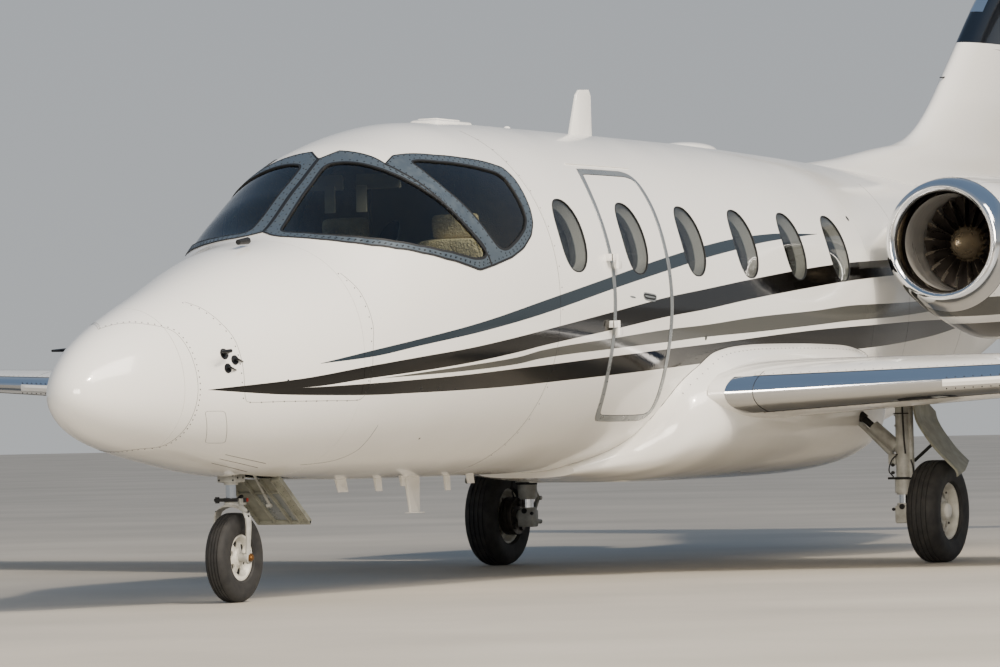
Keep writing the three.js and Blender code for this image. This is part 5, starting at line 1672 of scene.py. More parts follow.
SPINNER = [
    (8.300, 0.0), (8.3012, 0.008), (8.306, 0.018), (8.325, 0.033), (8.36, 0.055), (8.40, 0.078),
    (8.43, 0.092), (8.445, 0.097), (8.50, 0.099), (8.560, 0.100), (8.560, 0.0),
]
fan = turned_part(SPINNER)
fan = merged([fan] + [blade(2 * math.pi * k / FAN_BLADES) for k in range(FAN_BLADES)])
fan.faces.ensure_lookup_table()
for f in fan.faces:
    c = f.calc_center_median()
    radius = math.hypot(c.y - ENGINE_Y, c.z - ENGINE_Z)
    ahead = NOSE_X - c.x
    if radius > 0.101:
        step = (radius - BLADE_ROOT) / (BLADE_TIP - BLADE_ROOT)
        lead = FAN_MIDDLE - (0.044 + 0.009 * step) * math.cos(blade_twist(step))
        f.material_index = 2 if ahead < lead + 0.0035 else 1
fan_metals = [spinner_metal, blade_titanium, blade_edge]
pair("fan_rotor", fan, fan_metals, "fan", ("left_fan", "right_fan"))

# %% Core, vanes and exhaust cone
CORE_FRONT, CORE_RADIUS = 8.680, 0.290
core = turned_part([
    (CORE_FRONT, 0.0), (CORE_FRONT, CORE_RADIUS), (CORE_BACK, CORE_RADIUS), (CORE_BACK, 0.150),
    (CORE_BACK, 0.0),
])
shaft = turned_part([(8.500, 0.0), (8.500, 0.030), (8.690, 0.030), (8.690, 0.0)], 24)
cone = turned_part([
    (9.870, 0.0), (9.870, 0.190), (10.05, 0.178), (10.25, 0.150), (10.42, 0.118), (10.52, 0.098),
    (10.552, 0.085), (10.560, 0.060), (10.560, 0.0),
])
VANES = 30
vanes = []
for k in range(VANES):
    turn = 2 * math.pi * k / VANES
    rings = []
    for radius in (0.095, 0.288):  # hub and duct
        ring = []
        for across, side in ((-0.030, 0.0), (0.0, 0.003), (0.030, 0.0), (0.0, -0.003)):
            ring.append(around_axis(8.635 + across, radius, turn + (across * -0.35 + side) / radius))
        rings.append(ring)
    vanes.append(lofted(rings))
vanes.append(turned_part([(8.600, 0.0), (8.600, 0.092), (8.672, 0.098), (8.672, 0.0)], 32))
# The core block and shaft behind the fan are near-black as painted shade.
pair("engine_core", merged([core, shaft]), core_cavity_shade, "engine_block")
pair("fixed_vanes", merged(vanes), blade_titanium)
pair("exhaust_cone", cone, exhaust_steel)

# %% Pylon
pylon_rings = []
for y in np.linspace(0.45, 1.16, 10):
    nose, tail = 8.660 + 0.15 * (y - 0.6), 10.250
    half = thickness_form(AROUND, 0.085) * (tail - nose)
    level = 1.990 + 0 * half
    pylon_rings.append(np.stack([
        NOSE_X - nose - AROUND * (tail - nose), 0 * half + y, level + UPPER * half,
    ], -1))
pair("pylon_skin", lofted(pylon_rings), white_topcoat, "pylon")
print("fan blades:", FAN_BLADES, "nozzle at station", float(DUCT[-1, 0]))

# %% [markdown]
# ## Fin and rudder
# The fin rises out of the crown in one long concave curve, is thin and gently rounded in section,
# and carries the tailplane on top. Each level is an aerofoil that runs from the leading curve
# back to the trailing edge. The rudder hangs on a slanting hinge line in its own slot. A navy band
# covers the upper fin, with one thin black dart below it.

# %% Fin form
FIN_FRONT = np.array([
    (2.400, 8.300), (2.440, 8.900), (2.500, 9.550), (2.570, 10.062), (2.611, 10.431), (2.659, 10.656),
    (2.741, 10.867), (2.818, 11.005), (2.910, 11.144), (2.986, 11.244), (3.092, 11.366), (3.230, 11.530),
    (3.345, 11.663), (3.531, 11.880), (3.649, 12.030), (3.850, 12.330), (4.060, 12.700),
])
fin_front = smooth_curve(FIN_FRONT[:, 0], FIN_FRONT[:, 1])


def fin_tail(z):
    return 13.560 + 0.33 * (z - 2.100)


def fin_hinge(z):
    return fin_tail(z) - 0.470 + 0.05 * (z - 2.100)


def rear_nose(z):
    """Nose of the plain aerofoil that sets the thickness at the rudder."""
    return 10.660 + (z - 2.654) / 0.6326


def fin_half(z, station):
    chord = fin_tail(z) - rear_nose(z)
    return thickness_form((station - rear_nose(z)) / chord, 0.1) * chord


def fin_ring(z):
    nose, tail = float(fin_front(z)), float(fin_tail(z))
    places = nose + AROUND * (tail - nose)
    thickness = 0.045 + 0.055 * np.clip((z - 2.45) / 0.5, 0, 1)
    half = thickness_form(AROUND, thickness) * (tail - nose)
    plain = np.where(places > rear_nose(z) + 0.3, fin_half(z, places), half)
    blend = np.clip((places - float(fin_hinge(z)) + 0.9) / 0.6, 0, 1)
    half = half * (1 - blend) + plain * blend
    return np.stack([NOSE_X - places, UPPER * half, 0 * half + z], -1)


def rudder_section(z):
    return (
        float(fin_hinge(z)), float(fin_tail(z)), lambda s: (0.0, fin_half(z, s)),
        lambda s, h: (NOSE_X - s, float(h), z),
    )


RUDDER_SPANS = [2.330, 2.9, 3.45, 3.930]
rudder_room = hinged_surface([2.318, 2.9, 3.45, 3.942], rudder_section, CLEAR)
levels = sorted([2.05, 2.20, 2.32, 3.350, 3.325, 3.290, *np.linspace(2.40, 4.06, 40)])
fin = carved(lofted([fin_ring(z) for z in levels]), [rudder_room])
rudder = hinged_surface(RUDDER_SPANS, rudder_section)


# Each painted edge runs straight aft from a station and a height, with a slope.
DART_TIP = 12.0
NAVY_EDGE = (11.66, 3.345, 0.006)
DART_TOP = (DART_TIP, 3.312, 0.004)
DART_FOOT = (DART_TIP, 3.312, -0.030)


def edge_height(edge, station):
    first, height, slope = edge
    return height + slope * (station - first)


def paint_fin(bm):
    """Cut the band's lower edge and the dart's two edges, then paint what lies between them."""
    for first, height, slope in (NAVY_EDGE, DART_TOP, DART_FOOT):
        bmesh.ops.bisect_plane(
            bm, geom=bm.verts[:] + bm.edges[:] + bm.faces[:], dist=1e-5,
            plane_co=(NOSE_X - first, 0, height), plane_no=(slope, 0, 1),
        )
    for f in bm.faces:
        c = f.calc_center_median()
        s = NOSE_X - c.x
        if c.z > edge_height(NAVY_EDGE, s):
            f.material_index = 1
        elif s > DART_TIP and edge_height(DART_FOOT, s) < c.z < edge_height(DART_TOP, s):
            f.material_index = 2
    return bm


fin_paint = [white_topcoat, navy_topcoat, black_topcoat]
piece("fin_skin", paint_fin(fin), fin_paint, "fin")
piece("rudder_skin", paint_fin(rudder), fin_paint, "rudder", "rudder")

# %% Bright strip and small things on the fin
fin_strip = []
for z in np.linspace(3.565, 4.04, 24):
    ring = fin_ring(z)
    rim = ring[np.abs(ring[:, 0] - (NOSE_X - float(fin_front(z)))) < 0.075]
    order = np.argsort(rim[:, 1])
    fin_strip.append([(x + 0.0012, y * 1.02, h) for x, y, h in rim[order]])
EDGE_POINTS = 13


def edge_sleeve(rows, thick):
    """A thin bright sleeve bent over a leading edge, from one line of points for each level."""
    lines = [spread(np.array(row), EDGE_POINTS) for row in rows]
    bm = sheet(len(rows) - 1, EDGE_POINTS - 1, lambda i, j: lines[i][j])
    bmesh.ops.recalc_face_normals(bm, faces=bm.faces)
    bmesh.ops.solidify(bm, geom=bm.faces, thickness=thick)
    return bm


piece("fin_bright_edge", edge_sleeve(fin_strip, 0.0012), polished_aluminium)
probe = rod(bmesh.new(), (NOSE_X - 11.30, 0, 3.092), (NOSE_X - 11.40, 0, 3.098), 0.004, 0.007, 10)
piece("fin_ice_probe", probe, screw_steel)

# %% Dorsal scoop
dorsal_scoop = lofted([
    [(NOSE_X - 10.15, 0.215, 2.300), (NOSE_X - 10.15, 0.222, 2.304), (NOSE_X - 10.15, 0.215, 2.308)],
    [(NOSE_X - 10.42, 0.190, 2.270), (NOSE_X - 10.42, 0.262, 2.318), (NOSE_X - 10.42, 0.170, 2.350)],
    [(NOSE_X - 10.62, 0.180, 2.270), (NOSE_X - 10.62, 0.186, 2.290), (NOSE_X - 10.62, 0.165, 2.320)],
])
piece("dorsal_scoop", dorsal_scoop, white_topcoat)

# %% [markdown]
# ## Tailplane
# The swept tailplane sits across the top of the fin with a slim bullet over the joint. Each half
# has an elevator hinged in its own slot and a bright leading edge.

# %% Tailplane form
TAIL_LEVEL, TAIL_HALF = 4.128, 2.500


def tail_front(y):
    return 13.000 + 1.170 * np.abs(y) / TAIL_HALF


def tail_back(y):
    return 14.300 + 0.450 * np.abs(y) / TAIL_HALF


def tail_ring(y, shrink=1.0):
    chord = tail_back(y) - tail_front(y)
    nose = tail_front(y) + chord * (1 - shrink) / 2
    tail = tail_back(y) - chord * (1 - shrink) * 0.1
    half = thickness_form(AROUND, 0.09 * shrink) * (tail - nose)
    return np.stack([NOSE_X - nose - AROUND * (tail - nose), 0 * half + y, TAIL_LEVEL + UPPER * half], -1)


def elevator_hinge(y):
    return 13.940 + 0.262 * y


def elevator_section(y):
    chord = tail_back(y) - tail_front(y)
    return (
        elevator_hinge(y), float(tail_back(y)),
        lambda s: (TAIL_LEVEL, thickness_form((s - tail_front(y)) / chord, 0.09) * chord),
        lambda s, z: (NOSE_X - s, y, float(z)),
    )


elevator_room = hinged_surface([0.124, 1.2, 2.386], elevator_section, CLEAR)
spans = [-2.50, -2.47, -2.40, -1.8, -1.2, -0.6, 0.0, 0.6, 1.2, 1.8, 2.40, 2.47, 2.50]
shrinks = [0.80, 0.93, 1.0] + [1.0] * 7 + [1.0, 0.93, 0.80]
stabiliser = lofted([tail_ring(y, k) for y, k in zip(spans, shrinks)])
stabiliser = carved(stabiliser, [elevator_room, twin_of(elevator_room)])
BULLET = [
    (12.760, 0.0), (12.764, 0.012), (12.80, 0.030), (12.85, 0.048), (12.95, 0.070), (13.05, 0.088),
    (13.20, 0.101), (13.40, 0.109), (13.65, 0.1099), (13.90, 0.1075), (14.10, 0.096), (14.25, 0.080),
    (14.38, 0.050), (14.46, 0.026), (14.48, 0.0),
]
BULLET_LEVEL = 4.1295
bullet = turned_part(BULLET, 40, 0.0, BULLET_LEVEL)
piece("tailplane_skin", merged([stabiliser, bullet]), navy_topcoat, "tailplane")
elevator = hinged_surface([0.130, 0.9, 1.6, 2.380], elevator_section)
elevator_bodies = ("left_elevator", "right_elevator")
pair("elevator_skin", elevator, navy_topcoat, "elevator", elevator_bodies)
tail_edge = []
for y in np.linspace(0.14, 2.40, 30):
    ring = tail_ring(y)
    rim = ring[np.abs(ring[:, 0] - (NOSE_X - float(tail_front(y)))) < 0.065]
    order = np.argsort(rim[:, 2])
    tail_edge.append([(x + 0.001, w, TAIL_LEVEL + (h - TAIL_LEVEL) * 1.03) for x, w, h in rim[order]])
pair("tailplane_bright_edge", edge_sleeve(tail_edge, 0.001), polished_aluminium)
print("tailplane level:", TAIL_LEVEL)

# %% [markdown]
# ## Wheels
# Each wheel is turned: a black rubber tyre with four moulded grooves, and a cast and painted hub
# in two halves with lightening holes round the middle. They are lathed about the axle line.

# %% Rubber and hub finishes
def mottled(name, hex_colour, second, patch_size, share, grain, depth, roughness, details=(3.0, 3.0)):
    """A matt or satin finish in two tones, in soft patches, with a fine grain pressed in."""
    finish, tree, shader = new_finish(name, hex_colour, roughness)
    where = place_on_object(tree)
    patches = wander(tree, where, patch_size, 0.0, share, details[0])
    tone = two_tone(tree, linear(hex_colour), linear(second), patches)
    tree.links.new(tone, shader.inputs["Base Color"])
    ripple(tree, shader, wander(tree, where, grain, 0, 1, details[1]), depth)
    return finish


def enamel(name, hex_colour, grime="#5d564c", share=0.55, roughness=0.42):
    """Gear enamel: a satin coat with grease and dust settled in soft patches."""
    return mottled(name, hex_colour, grime, 0.06, share, 0.006, 0.0002, roughness, (5.0, 3.0))


tyre_rubber = mottled("moulded_black_tyre_rubber", "#161617", "#2b2a29", 0.05, 1.0, 0.004, 0.0003, 0.72)
gear_enamel = enamel("light_grey_gear_enamel", "#b9bab4")
hub_enamel = enamel("off_white_hub_enamel", "#d2d0c6", share=0.35)
cap_enamel = enamel("white_wheel_cap_enamel", "#e3e1da", share=0.15)
# Painted shade: the gear-door enamel gets a darker colour and darker patches than the paint has, for the
# shade the doors stand in. The patches also stand for grease and dust.
shaded_door_enamel = enamel("pale_green_grey_door_enamel_darkened_for_shade", "#8c8d80", "#56534a", 0.6, 0.5)
# Near-black enamel: real black oxide on the main leg's fittings, and painted shade on the webs behind the
# hub holes.
black_oxide_and_hole_shade = enamel("black_oxide_and_painted_recess_shade", "#0d0d0d", "#1c1a18", 0.4, 0.75)
pipe_sleeve = enamel("black_sleeved_brake_pipe", "#151516", "#2c2a28", 0.4, 0.6)
chromed_piston = rubbed_metal("chromed_piston_rod", "#dfe6ee", 0.07, (1.0, 1.0, 0.1), 0.00005)
bronze_nut = rubbed_metal("worn_bronze_axle_nut", "#8a6238", 0.34, (1.0, 1.0, 1.0), 0.0002)
brake_steel = rubbed_metal("dusty_brake_steel", "#5c5752", 0.5, (1.0, 0.3, 1.0), 0.0002, 0.9)


# %% Lathe about the axle
def turned_wheel(profile, centre, sides=72):
    """Turn (out, radius) pairs about a line across the aircraft through the centre."""
    points = [(centre[0], centre[1] + out, centre[2] + radius) for out, radius in profile]
    return lathe(points, centre, (0, 1, 0), sides)


def tyre_profile(radius, width, rim, grooves=4):
    """Half section from bead to bead, with square grooves in the crown."""
    half = width / 2
    side = [
        (-half * 0.78, rim), (-half * 0.90, rim + 0.008), (-half * 0.97, radius * 0.70),
        (-half, radius * 0.79), (-half * 0.975, radius * 0.86), (-half * 0.88, radius * 0.925),
        (-half * 0.74, radius * 0.966), (-half * 0.60, radius * 0.988),
    ]
    crown = []
    for k in range(grooves):
        at = (k - (grooves - 1) / 2) * half * 0.30
        gap, deep = half * 0.030, 0.005
        top = radius - 0.05 * (at / half) ** 2 * radius * 0.3
        crown += [(at - gap - 0.001, top), (at - gap, top - deep)]
        crown += [(at + gap, top - deep), (at + gap + 0.001, top)]
    crown.insert(len(crown) // 2, (0.0, radius))
    return side + crown + [(-out, r) for out, r in side[::-1]] + side[:1]


def hub_profile(width, rim, bore):
    half, out = width / 2, rim - 0.0002
    face = [
        (0.66, out), (0.70, out - 0.003), (0.70, out - 0.012), (0.60, out - 0.020), (0.28, out - 0.030),
        (0.22, out - 0.042), (0.30, (out + bore) / 2), (0.40, bore + 0.026), (0.58, bore + 0.018),
        (0.60, bore + 0.010), (0.60, bore),
    ]
    port = [(share * half, radius) for share, radius in face]
    return port + [(-out_at, radius) for out_at, radius in port[::-1]] + port[:1]


def wheel_holes(centre, ring, radius, count, reach, start=0.0):
    holes = []
    for k in range(count):
        turn = start + 2 * math.pi * k / count
        x, z = centre[0] + ring * math.cos(turn), centre[2] + ring * math.sin(turn)
        ends = [(x, centre[1] + side * reach, z) for side in (-1, 1)]
        holes.append(rod(bmesh.new(), *ends, radius, None, 16))
    return holes


# %% Nose wheel and main wheels
NOSE_RADIUS, MAIN_RADIUS = 0.225, 0.300
NOSE_LEG_STATION, NOSE_AXLE_STATION = 1.610, 1.630
LEG_STATION, LEG_Y, WHEEL_Y = 7.496, 1.236, 1.440
NOSE_AXLE = (NOSE_X - NOSE_AXLE_STATION, 0.0, NOSE_RADIUS)
MAIN_AXLE = (NOSE_X - LEG_STATION, WHEEL_Y, MAIN_RADIUS)
MAIN_WHEELS = ("left_wheel", "right_wheel")


def cast_hub(width, rim, bore, axle, sides, holes):
    return carved(turned_wheel(hub_profile(width, rim, bore), axle, sides), wheel_holes(axle, *holes))


def hub_middle(half, inner, outer, axle, sides):
    """A black web behind the holes: painted shade for the dark inside of the hub."""
    square = [(-half, inner), (-half, outer), (half, outer), (half, inner), (-half, inner)]
    return turned_wheel(square, axle, sides)


nose_tyre = turned_wheel(tyre_profile(NOSE_RADIUS, 0.112, 0.1182), NOSE_AXLE)
piece("nose_tyre_turned", nose_tyre, tyre_rubber, "nose_tyre", "nose_wheel")
nose_hub = cast_hub(0.112, 0.118, 0.0222, NOSE_AXLE, 60, (0.070, 0.019, 6, 0.08, 0.3))
piece("nose_hub_cast", nose_hub, hub_enamel, "nose_hub", "nose_wheel")
# The black web behind the nose hub's holes is painted shade.
nose_shade_web = hub_middle(0.010, 0.040, 0.100, NOSE_AXLE, 48)
piece("nose_hub_shade_web", nose_shade_web, black_oxide_and_hole_shade, (), "nose_wheel")
main_tyre = turned_wheel(tyre_profile(MAIN_RADIUS, 0.196, 0.1682), MAIN_AXLE, 84)
pair("main_tyre_turned", main_tyre, tyre_rubber, "main_tyre", MAIN_WHEELS)
main_hub = cast_hub(0.196, 0.168, 0.0322, MAIN_AXLE, 72, (0.094, 0.021, 8, 0.12, 0.2))
pair("main_hub_cast", main_hub, hub_enamel, "main_hub", MAIN_WHEELS)
# The black web behind the main hub's holes is painted shade.
main_shade_web = hub_middle(0.014, 0.050, 0.140, MAIN_AXLE, 60)
pair("main_hub_shade_web", main_shade_web, black_oxide_and_hole_shade, None, MAIN_WHEELS)
CAP = [(0.052, 0.0), (0.052, 0.046), (0.064, 0.046), (0.075, 0.036), (0.079, 0.020), (0.080, 0.0)]
pair("main_wheel_cap", turned_wheel(CAP, MAIN_AXLE, 40), cap_enamel, None, MAIN_WHEELS)
BOLTS, BOLT_RING = 8, 0.128
bolts = bmesh.new()
for k in range(BOLTS):
    turn = 0.2 + 2 * math.pi * (k + 0.5) / BOLTS
    centre = Vector(MAIN_AXLE) + Vector((BOLT_RING * math.cos(turn), 0.024, BOLT_RING * math.sin(turn)))
    add_head(bolts, centre, (0, 1, 0), 0.008, 0.010)
pair("main_wheel_bolts", bolts, brake_steel, None, MAIN_WHEELS)

# %% [markdown]
# ## Nose leg
# Under the belly a light-grey collar holds a chromed piston. Below it a curved cast crown arches
# over the tyre and two straps run down outside the wheel to the axle nuts. A drag brace goes up
# and aft into the well, and a steering link with dark bolts sits behind the crown.


# %% Leg that stays with the airframe
def at_gear(station, y, z):
    return (NOSE_X - station, y, z)


def nose_post(bm, low, high, radius, far_radius=None, sides=24):
    """An upright round part on the nose leg's own line."""
    ends = [at_gear(NOSE_LEG_STATION, 0, z) for z in (low, high)]
    return rod(bm, *ends, radius, far_radius, sides)


leg = bmesh.new()
nose_post(leg, 0.600, 0.8597, 0.044)
block(leg, at_gear(1.668, -0.052, 0.602), at_gear(1.560, 0.052, 0.648), 0.006)
nose_post(leg, 0.590, 0.606, 0.036)
rod(leg, at_gear(NOSE_LEG_STATION, 0, 0.600), at_gear(1.940, 0, 0.840), 0.020, None, 16)
for y in (-0.030, 0.030):
    rod(leg, at_gear(1.660, y, 0.622), at_gear(1.960, y, 0.836), 0.008, None, 10)
piece("nose_leg_cast", leg, gear_enamel, "nose_leg")
bolts = bmesh.new()
for y in (-0.040, 0.040):
    for z in (0.613, 0.637):
        add_head(bolts, at_gear(1.5585, y, z), (1, 0, 0), 0.005, 0.004)
for s in (1.585, 1.640):
    add_head(bolts, at_gear(s, 0.0535, 0.625), (0, 1, 0), 0.006, 0.004)
piece("nose_leg_bolts", bolts, seal_rubber)


# %% Fork that steers
def fork_ring(y, z, wide, thick, lean):
    """One flat section across the strap: wide fore and aft, thin across, leaning in the arch."""
    ring = []
    for t in np.linspace(0, 2 * math.pi, 16, endpoint=False):
        along = signed_power(np.cos(t), 0.5) * wide
        out = signed_power(np.sin(t), 0.5) * thick
        ring.append(at_gear(1.618 + along, y + out * math.cos(lean), z + out * math.sin(lean)))
    return ring


path = [
    (-0.083, 0.214, 0.015, 0.0), (-0.088, 0.300, 0.018, 0.0), (-0.092, 0.380, 0.022, 0.0),
    (-0.090, 0.420, 0.026, 0.15), (-0.078, 0.454, 0.034, 0.6), (-0.052, 0.474, 0.042, 1.1),
    (-0.025, 0.484, 0.048, 1.4), (0.0, 0.486, 0.050, 1.571),
]
path += [(-y, z, wide, math.pi - lean) for y, z, wide, lean in path[-2::-1]]
STRAP_THICK = 0.0075


def on_nose_axle(bm, first, last, radius, far_radius=None, sides=24):
    """A round part across the nose wheel's axle line, between two widths."""
    ends = [at_gear(NOSE_AXLE_STATION, y, NOSE_RADIUS) for y in (first, last)]
    return rod(bm, *ends, radius, far_radius, sides)


fork = lofted([fork_ring(y, z, wide, STRAP_THICK, lean) for y, z, wide, lean in path])
nose_post(fork, 0.480, 0.512, 0.040, 0.034)
on_nose_axle(fork, -0.078, 0.078, 0.0216)
for side in (-1, 1):
    on_nose_axle(fork, side * 0.0735, side * 0.0885, 0.032, None, 28)
    y = side * 0.030
    block(fork, (NOSE_X - 1.700, y - 0.008, 0.488), (NOSE_X - 1.640, y + 0.008, 0.520), 0.003)
piece("nose_fork_cast", fork, gear_enamel, "nose_fork", "nose_steer")
piston = nose_post(bmesh.new(), 0.500, 0.5895, 0.0275, None, 32)
piece("nose_piston", piston, chromed_piston, (), "nose_steer")
nuts = bmesh.new()
for side in (-1, 1):
    on_nose_axle(nuts, side * 0.0885, side * 0.100, 0.021, None, 6)
    on_nose_axle(nuts, side * 0.100, side * 0.107, 0.013, 0.010, 16)
piece("nose_axle_nuts", nuts, bronze_nut, (), "nose_steer")
steering = bmesh.new()
rod(steering, at_gear(1.560, -0.066, 0.515), at_gear(1.560, 0.066, 0.515), 0.009, None, 12)
rod(steering, at_gear(1.575, -0.060, 0.498), at_gear(1.575, -0.060, 0.530), 0.011, None, 12)
rod(steering, at_gear(1.668, 0.0, 0.512), at_gear(1.720, 0.0, 0.530), 0.010, None, 12)
for side in (-1, 1):
    rod(steering, at_gear(1.650, side * 0.055, 0.500), at_gear(1.650, side * 0.055, 0.524), 0.009, None, 6)
    for z in (0.455, 0.432):
        add_head(steering, at_gear(1.618, side * 0.0920, z), (0, side, 0.35), 0.007, 0.007)
    stud = [at_gear(NOSE_AXLE_STATION, side * y, z) for y, z in ((0.084, 0.248), (0.090, 0.262))]
    rod(steering, *stud, 0.005, None, 8)
piece("nose_steering_link", steering, seal_rubber, (), "nose_steer")
red_ring = rod(bmesh.new(), at_gear(1.700, 0.030, 0.512), at_gear(1.700, 0.044, 0.512), 0.010, None, 16)
red_anodised = rubbed_metal("red_anodised_collar", "#a3281c", 0.35, (1.0, 1.0, 1.0), 0.0001, 0.6)
piece("nose_red_collar", red_ring, red_anodised, (), "nose_steer")


# %% Nose gear door: a riveted pan with ribs down its inner face
SLOPE = Vector((-0.8145, 0, -0.5802))
PROUD = Vector((0.5802, 0, -0.8145))
DOOR_TOP = Vector(at_gear(1.820, 0, 0.636))


def on_nose_door(down, y, out):
    return DOOR_TOP + SLOPE * down + PROUD * out + Vector((0, y, 0))


def door_bar(bm, y_first, y_last, down_first, down_last, out_first, out_last, shift=0.0):
    """A straight rib on the door, given by its width, its run down the slope and its height."""
    corners = []
    for down, move in ((down_first, 0.0), (down_last, shift)):
        for y, out in ((y_first, out_first), (y_last, out_first), (y_last, out_last), (y_first, out_last)):
            corners.append(on_nose_door(down, y + move, out))
    rib = lofted([corners[:4], corners[4:]])
    return merged([bm, rib])


RIBS = ((-0.150, 0.009, 0.0), (-0.062, 0.008, 0.012), (0.034, 0.008, 0.010), (0.100, 0.008, 0.0))
pan = door_bar(bmesh.new(), -0.150, 0.150, 0.012, 0.4273, -0.0122, -0.0002)
for y, wide, shift in RIBS:
    pan = door_bar(pan, y, y + wide, 0.030, 0.415, -0.001, 0.022, shift)
pan = door_bar(pan, 0.108, 0.150, 0.030, 0.427, -0.001, 0.012)
pan = door_bar(pan, -0.150, 0.150, 0.412, 0.427, -0.001, 0.016)
pan = door_bar(pan, -0.141, 0.108, 0.150, 0.157, -0.001, 0.012)
pan = carved(pan, [fuselage_body(1.50, 2.40)])
piece("nose_gear_door_pan", pan, shaded_door_enamel, "nose_gear_door")
panel = door_bar(bmesh.new(), 0.044, 0.098, 0.165, 0.405, -0.0004, 0.0035)
panel = door_bar(panel, -0.048, 0.030, 0.172, 0.400, -0.0004, 0.0035)
piece("nose_gear_door_panels", panel, silver_enamel)
dimples = bmesh.new()
for down in np.arange(0.05, 0.42, 0.042):
    for y in (0.129, -0.1455):
        add_head(dimples, on_nose_door(down, y, 0.012 if y > 0 else 0.022), PROUD, 0.0032, 0.0012)
piece("nose_gear_door_rivets", dimples, screw_steel)
arm_foot = on_nose_door(0.270, -0.010, 0.010)
well_arm = rod(bmesh.new(), at_gear(1.800, 0.018, 0.655), arm_foot, 0.008, None, 10)
rod(well_arm, on_nose_door(0.255, -0.022, 0.014), on_nose_door(0.255, 0.004, 0.014), 0.010, None, 10)
piece("nose_gear_door_arm", well_arm, gear_enamel)

# %% [markdown]
# ## Main legs
# A cast leg drops from the wing with a fat lower collar, a short bright piston and an axle block.
# A folding side stay and a fat retraction cylinder run inboard to the fuselage. The torque links
# stand behind the piston, and the brake pack fills the inner side of the wheel.


# %% Main leg casting
def on_leg(back, z, out=0.0):
    return at_gear(LEG_STATION + back, LEG_Y + out, z)


def leg_rings(bm, *rings):
    """Upright round parts on the main leg's own line, as (low, high, radius)."""
    for low, high, radius in rings:
        rod(bm, on_leg(0, low), on_leg(0, high), radius, None, 32)
    return bm


leg = leg_rings(
    bmesh.new(), (0.490, 0.9895, 0.050), (0.410, 0.490, 0.0585), (0.400, 0.412, 0.050),
    (0.800, 0.812, 0.056), (0.862, 0.872, 0.058),
)
rod(leg, on_leg(-0.018, 0.500, 0.050), on_leg(-0.018, 0.960, 0.046), 0.020, None, 16)
block(leg, (NOSE_X - 7.545, 1.186, 0.232), (NOSE_X - 7.447, 1.286, 0.338), 0.012)
leg_rings(leg, (0.336, 0.350, 0.048))
rod(leg, on_leg(0.020, 0.268, -0.030), on_leg(0.110, 0.262, -0.030), 0.014, None, 12)
for out in (-0.020, 0.020):
    rod(leg, on_leg(0.030, 0.500, out), on_leg(0.150, 0.405, 0), 0.0105, None, 10)
    rod(leg, on_leg(0.020, 0.290, out), on_leg(0.150, 0.405, 0), 0.0105, None, 10)
rod(leg, on_leg(0.150, 0.405, -0.020), on_leg(0.150, 0.405, 0.020), 0.013, None, 12)
rod(leg, on_leg(0, MAIN_RADIUS), at_gear(LEG_STATION, 1.500, MAIN_RADIUS), 0.0316)
stay_start, stay_end = Vector(on_leg(0, 0.560)), Vector(at_gear(LEG_STATION, 0.960, 0.823))
rod(leg, stay_start, stay_end, 0.0155, None, 14)
rod(leg, stay_start.lerp(stay_end, 0.08), stay_start.lerp(stay_end, 0.18), 0.026, None, 16)
ram_start, ram_end = Vector(on_leg(0, 0.640)), Vector(at_gear(LEG_STATION, 0.960, 0.872))
rod(leg, ram_start.lerp(ram_end, 0.16), ram_start.lerp(ram_end, 0.70), 0.0400, None, 28)
rod(leg, ram_start.lerp(ram_end, 0.02), ram_start.lerp(ram_end, 0.18), 0.026, None, 16)
block(leg, on_leg(0.040, 0.575, -0.090), on_leg(-0.040, 0.640, -0.040), 0.010)
pair("main_leg_cast", leg, gear_enamel, "main_leg")
pair("main_piston", leg_rings(bmesh.new(), (0.330, 0.405, 0.036)), chromed_piston)

# %% Brakes, bands, pipes and rods on the main leg
dark_parts = leg_rings(bmesh.new(), (0.489, 0.500, 0.060), (0.874, 0.880, 0.0605))
rod(dark_parts, on_leg(-0.050, 0.497, -0.085), on_leg(-0.050, 0.497, 0.050), 0.007, None, 10)
rod(dark_parts, ram_start.lerp(ram_end, 0.70), ram_start.lerp(ram_end, 0.92), 0.020, None, 16)
rod(dark_parts, ram_start.lerp(ram_end, 0.90), ram_end, 0.030, None, 12)
rod(dark_parts, stay_start.lerp(stay_end, -0.02), stay_start.lerp(stay_end, 0.07), 0.030, None, 12)
rod(dark_parts, on_leg(0.02, 0.597, 0.055), on_leg(0.02, 0.690, 0.167), 0.010, None, 12)
for z in (0.575, 0.530, 0.315):
    rod(dark_parts, on_leg(-0.046, z, -0.052), on_leg(-0.062, z, -0.052), 0.010, None, 6)
rod(dark_parts, on_leg(-0.058, 0.330, 0), on_leg(-0.046, 0.330, 0), 0.016, None, 14)
pair("main_leg_fittings", dark_parts, black_oxide_and_hole_shade)


def pipe(points, radius, sides=8):
    """A clipped-on pipe drawn through points: rings placed across its smoothed run."""
    path = spread(np.array(points, float), 6 * len(points), curve=smooth_curve)
    ahead = np.gradient(path, axis=0)
    rings = []
    for place, way in zip(path, ahead):
        way = Vector(way).normalized()
        one = way.cross(Vector((0.31, 0.17, 0.93))).normalized()
        two = way.cross(one)
        rings.append([
            Vector(place) + radius * (one * math.cos(t) + two * math.sin(t))
            for t in np.linspace(0, 2 * math.pi, sides, endpoint=False)
        ])
    return lofted(rings)


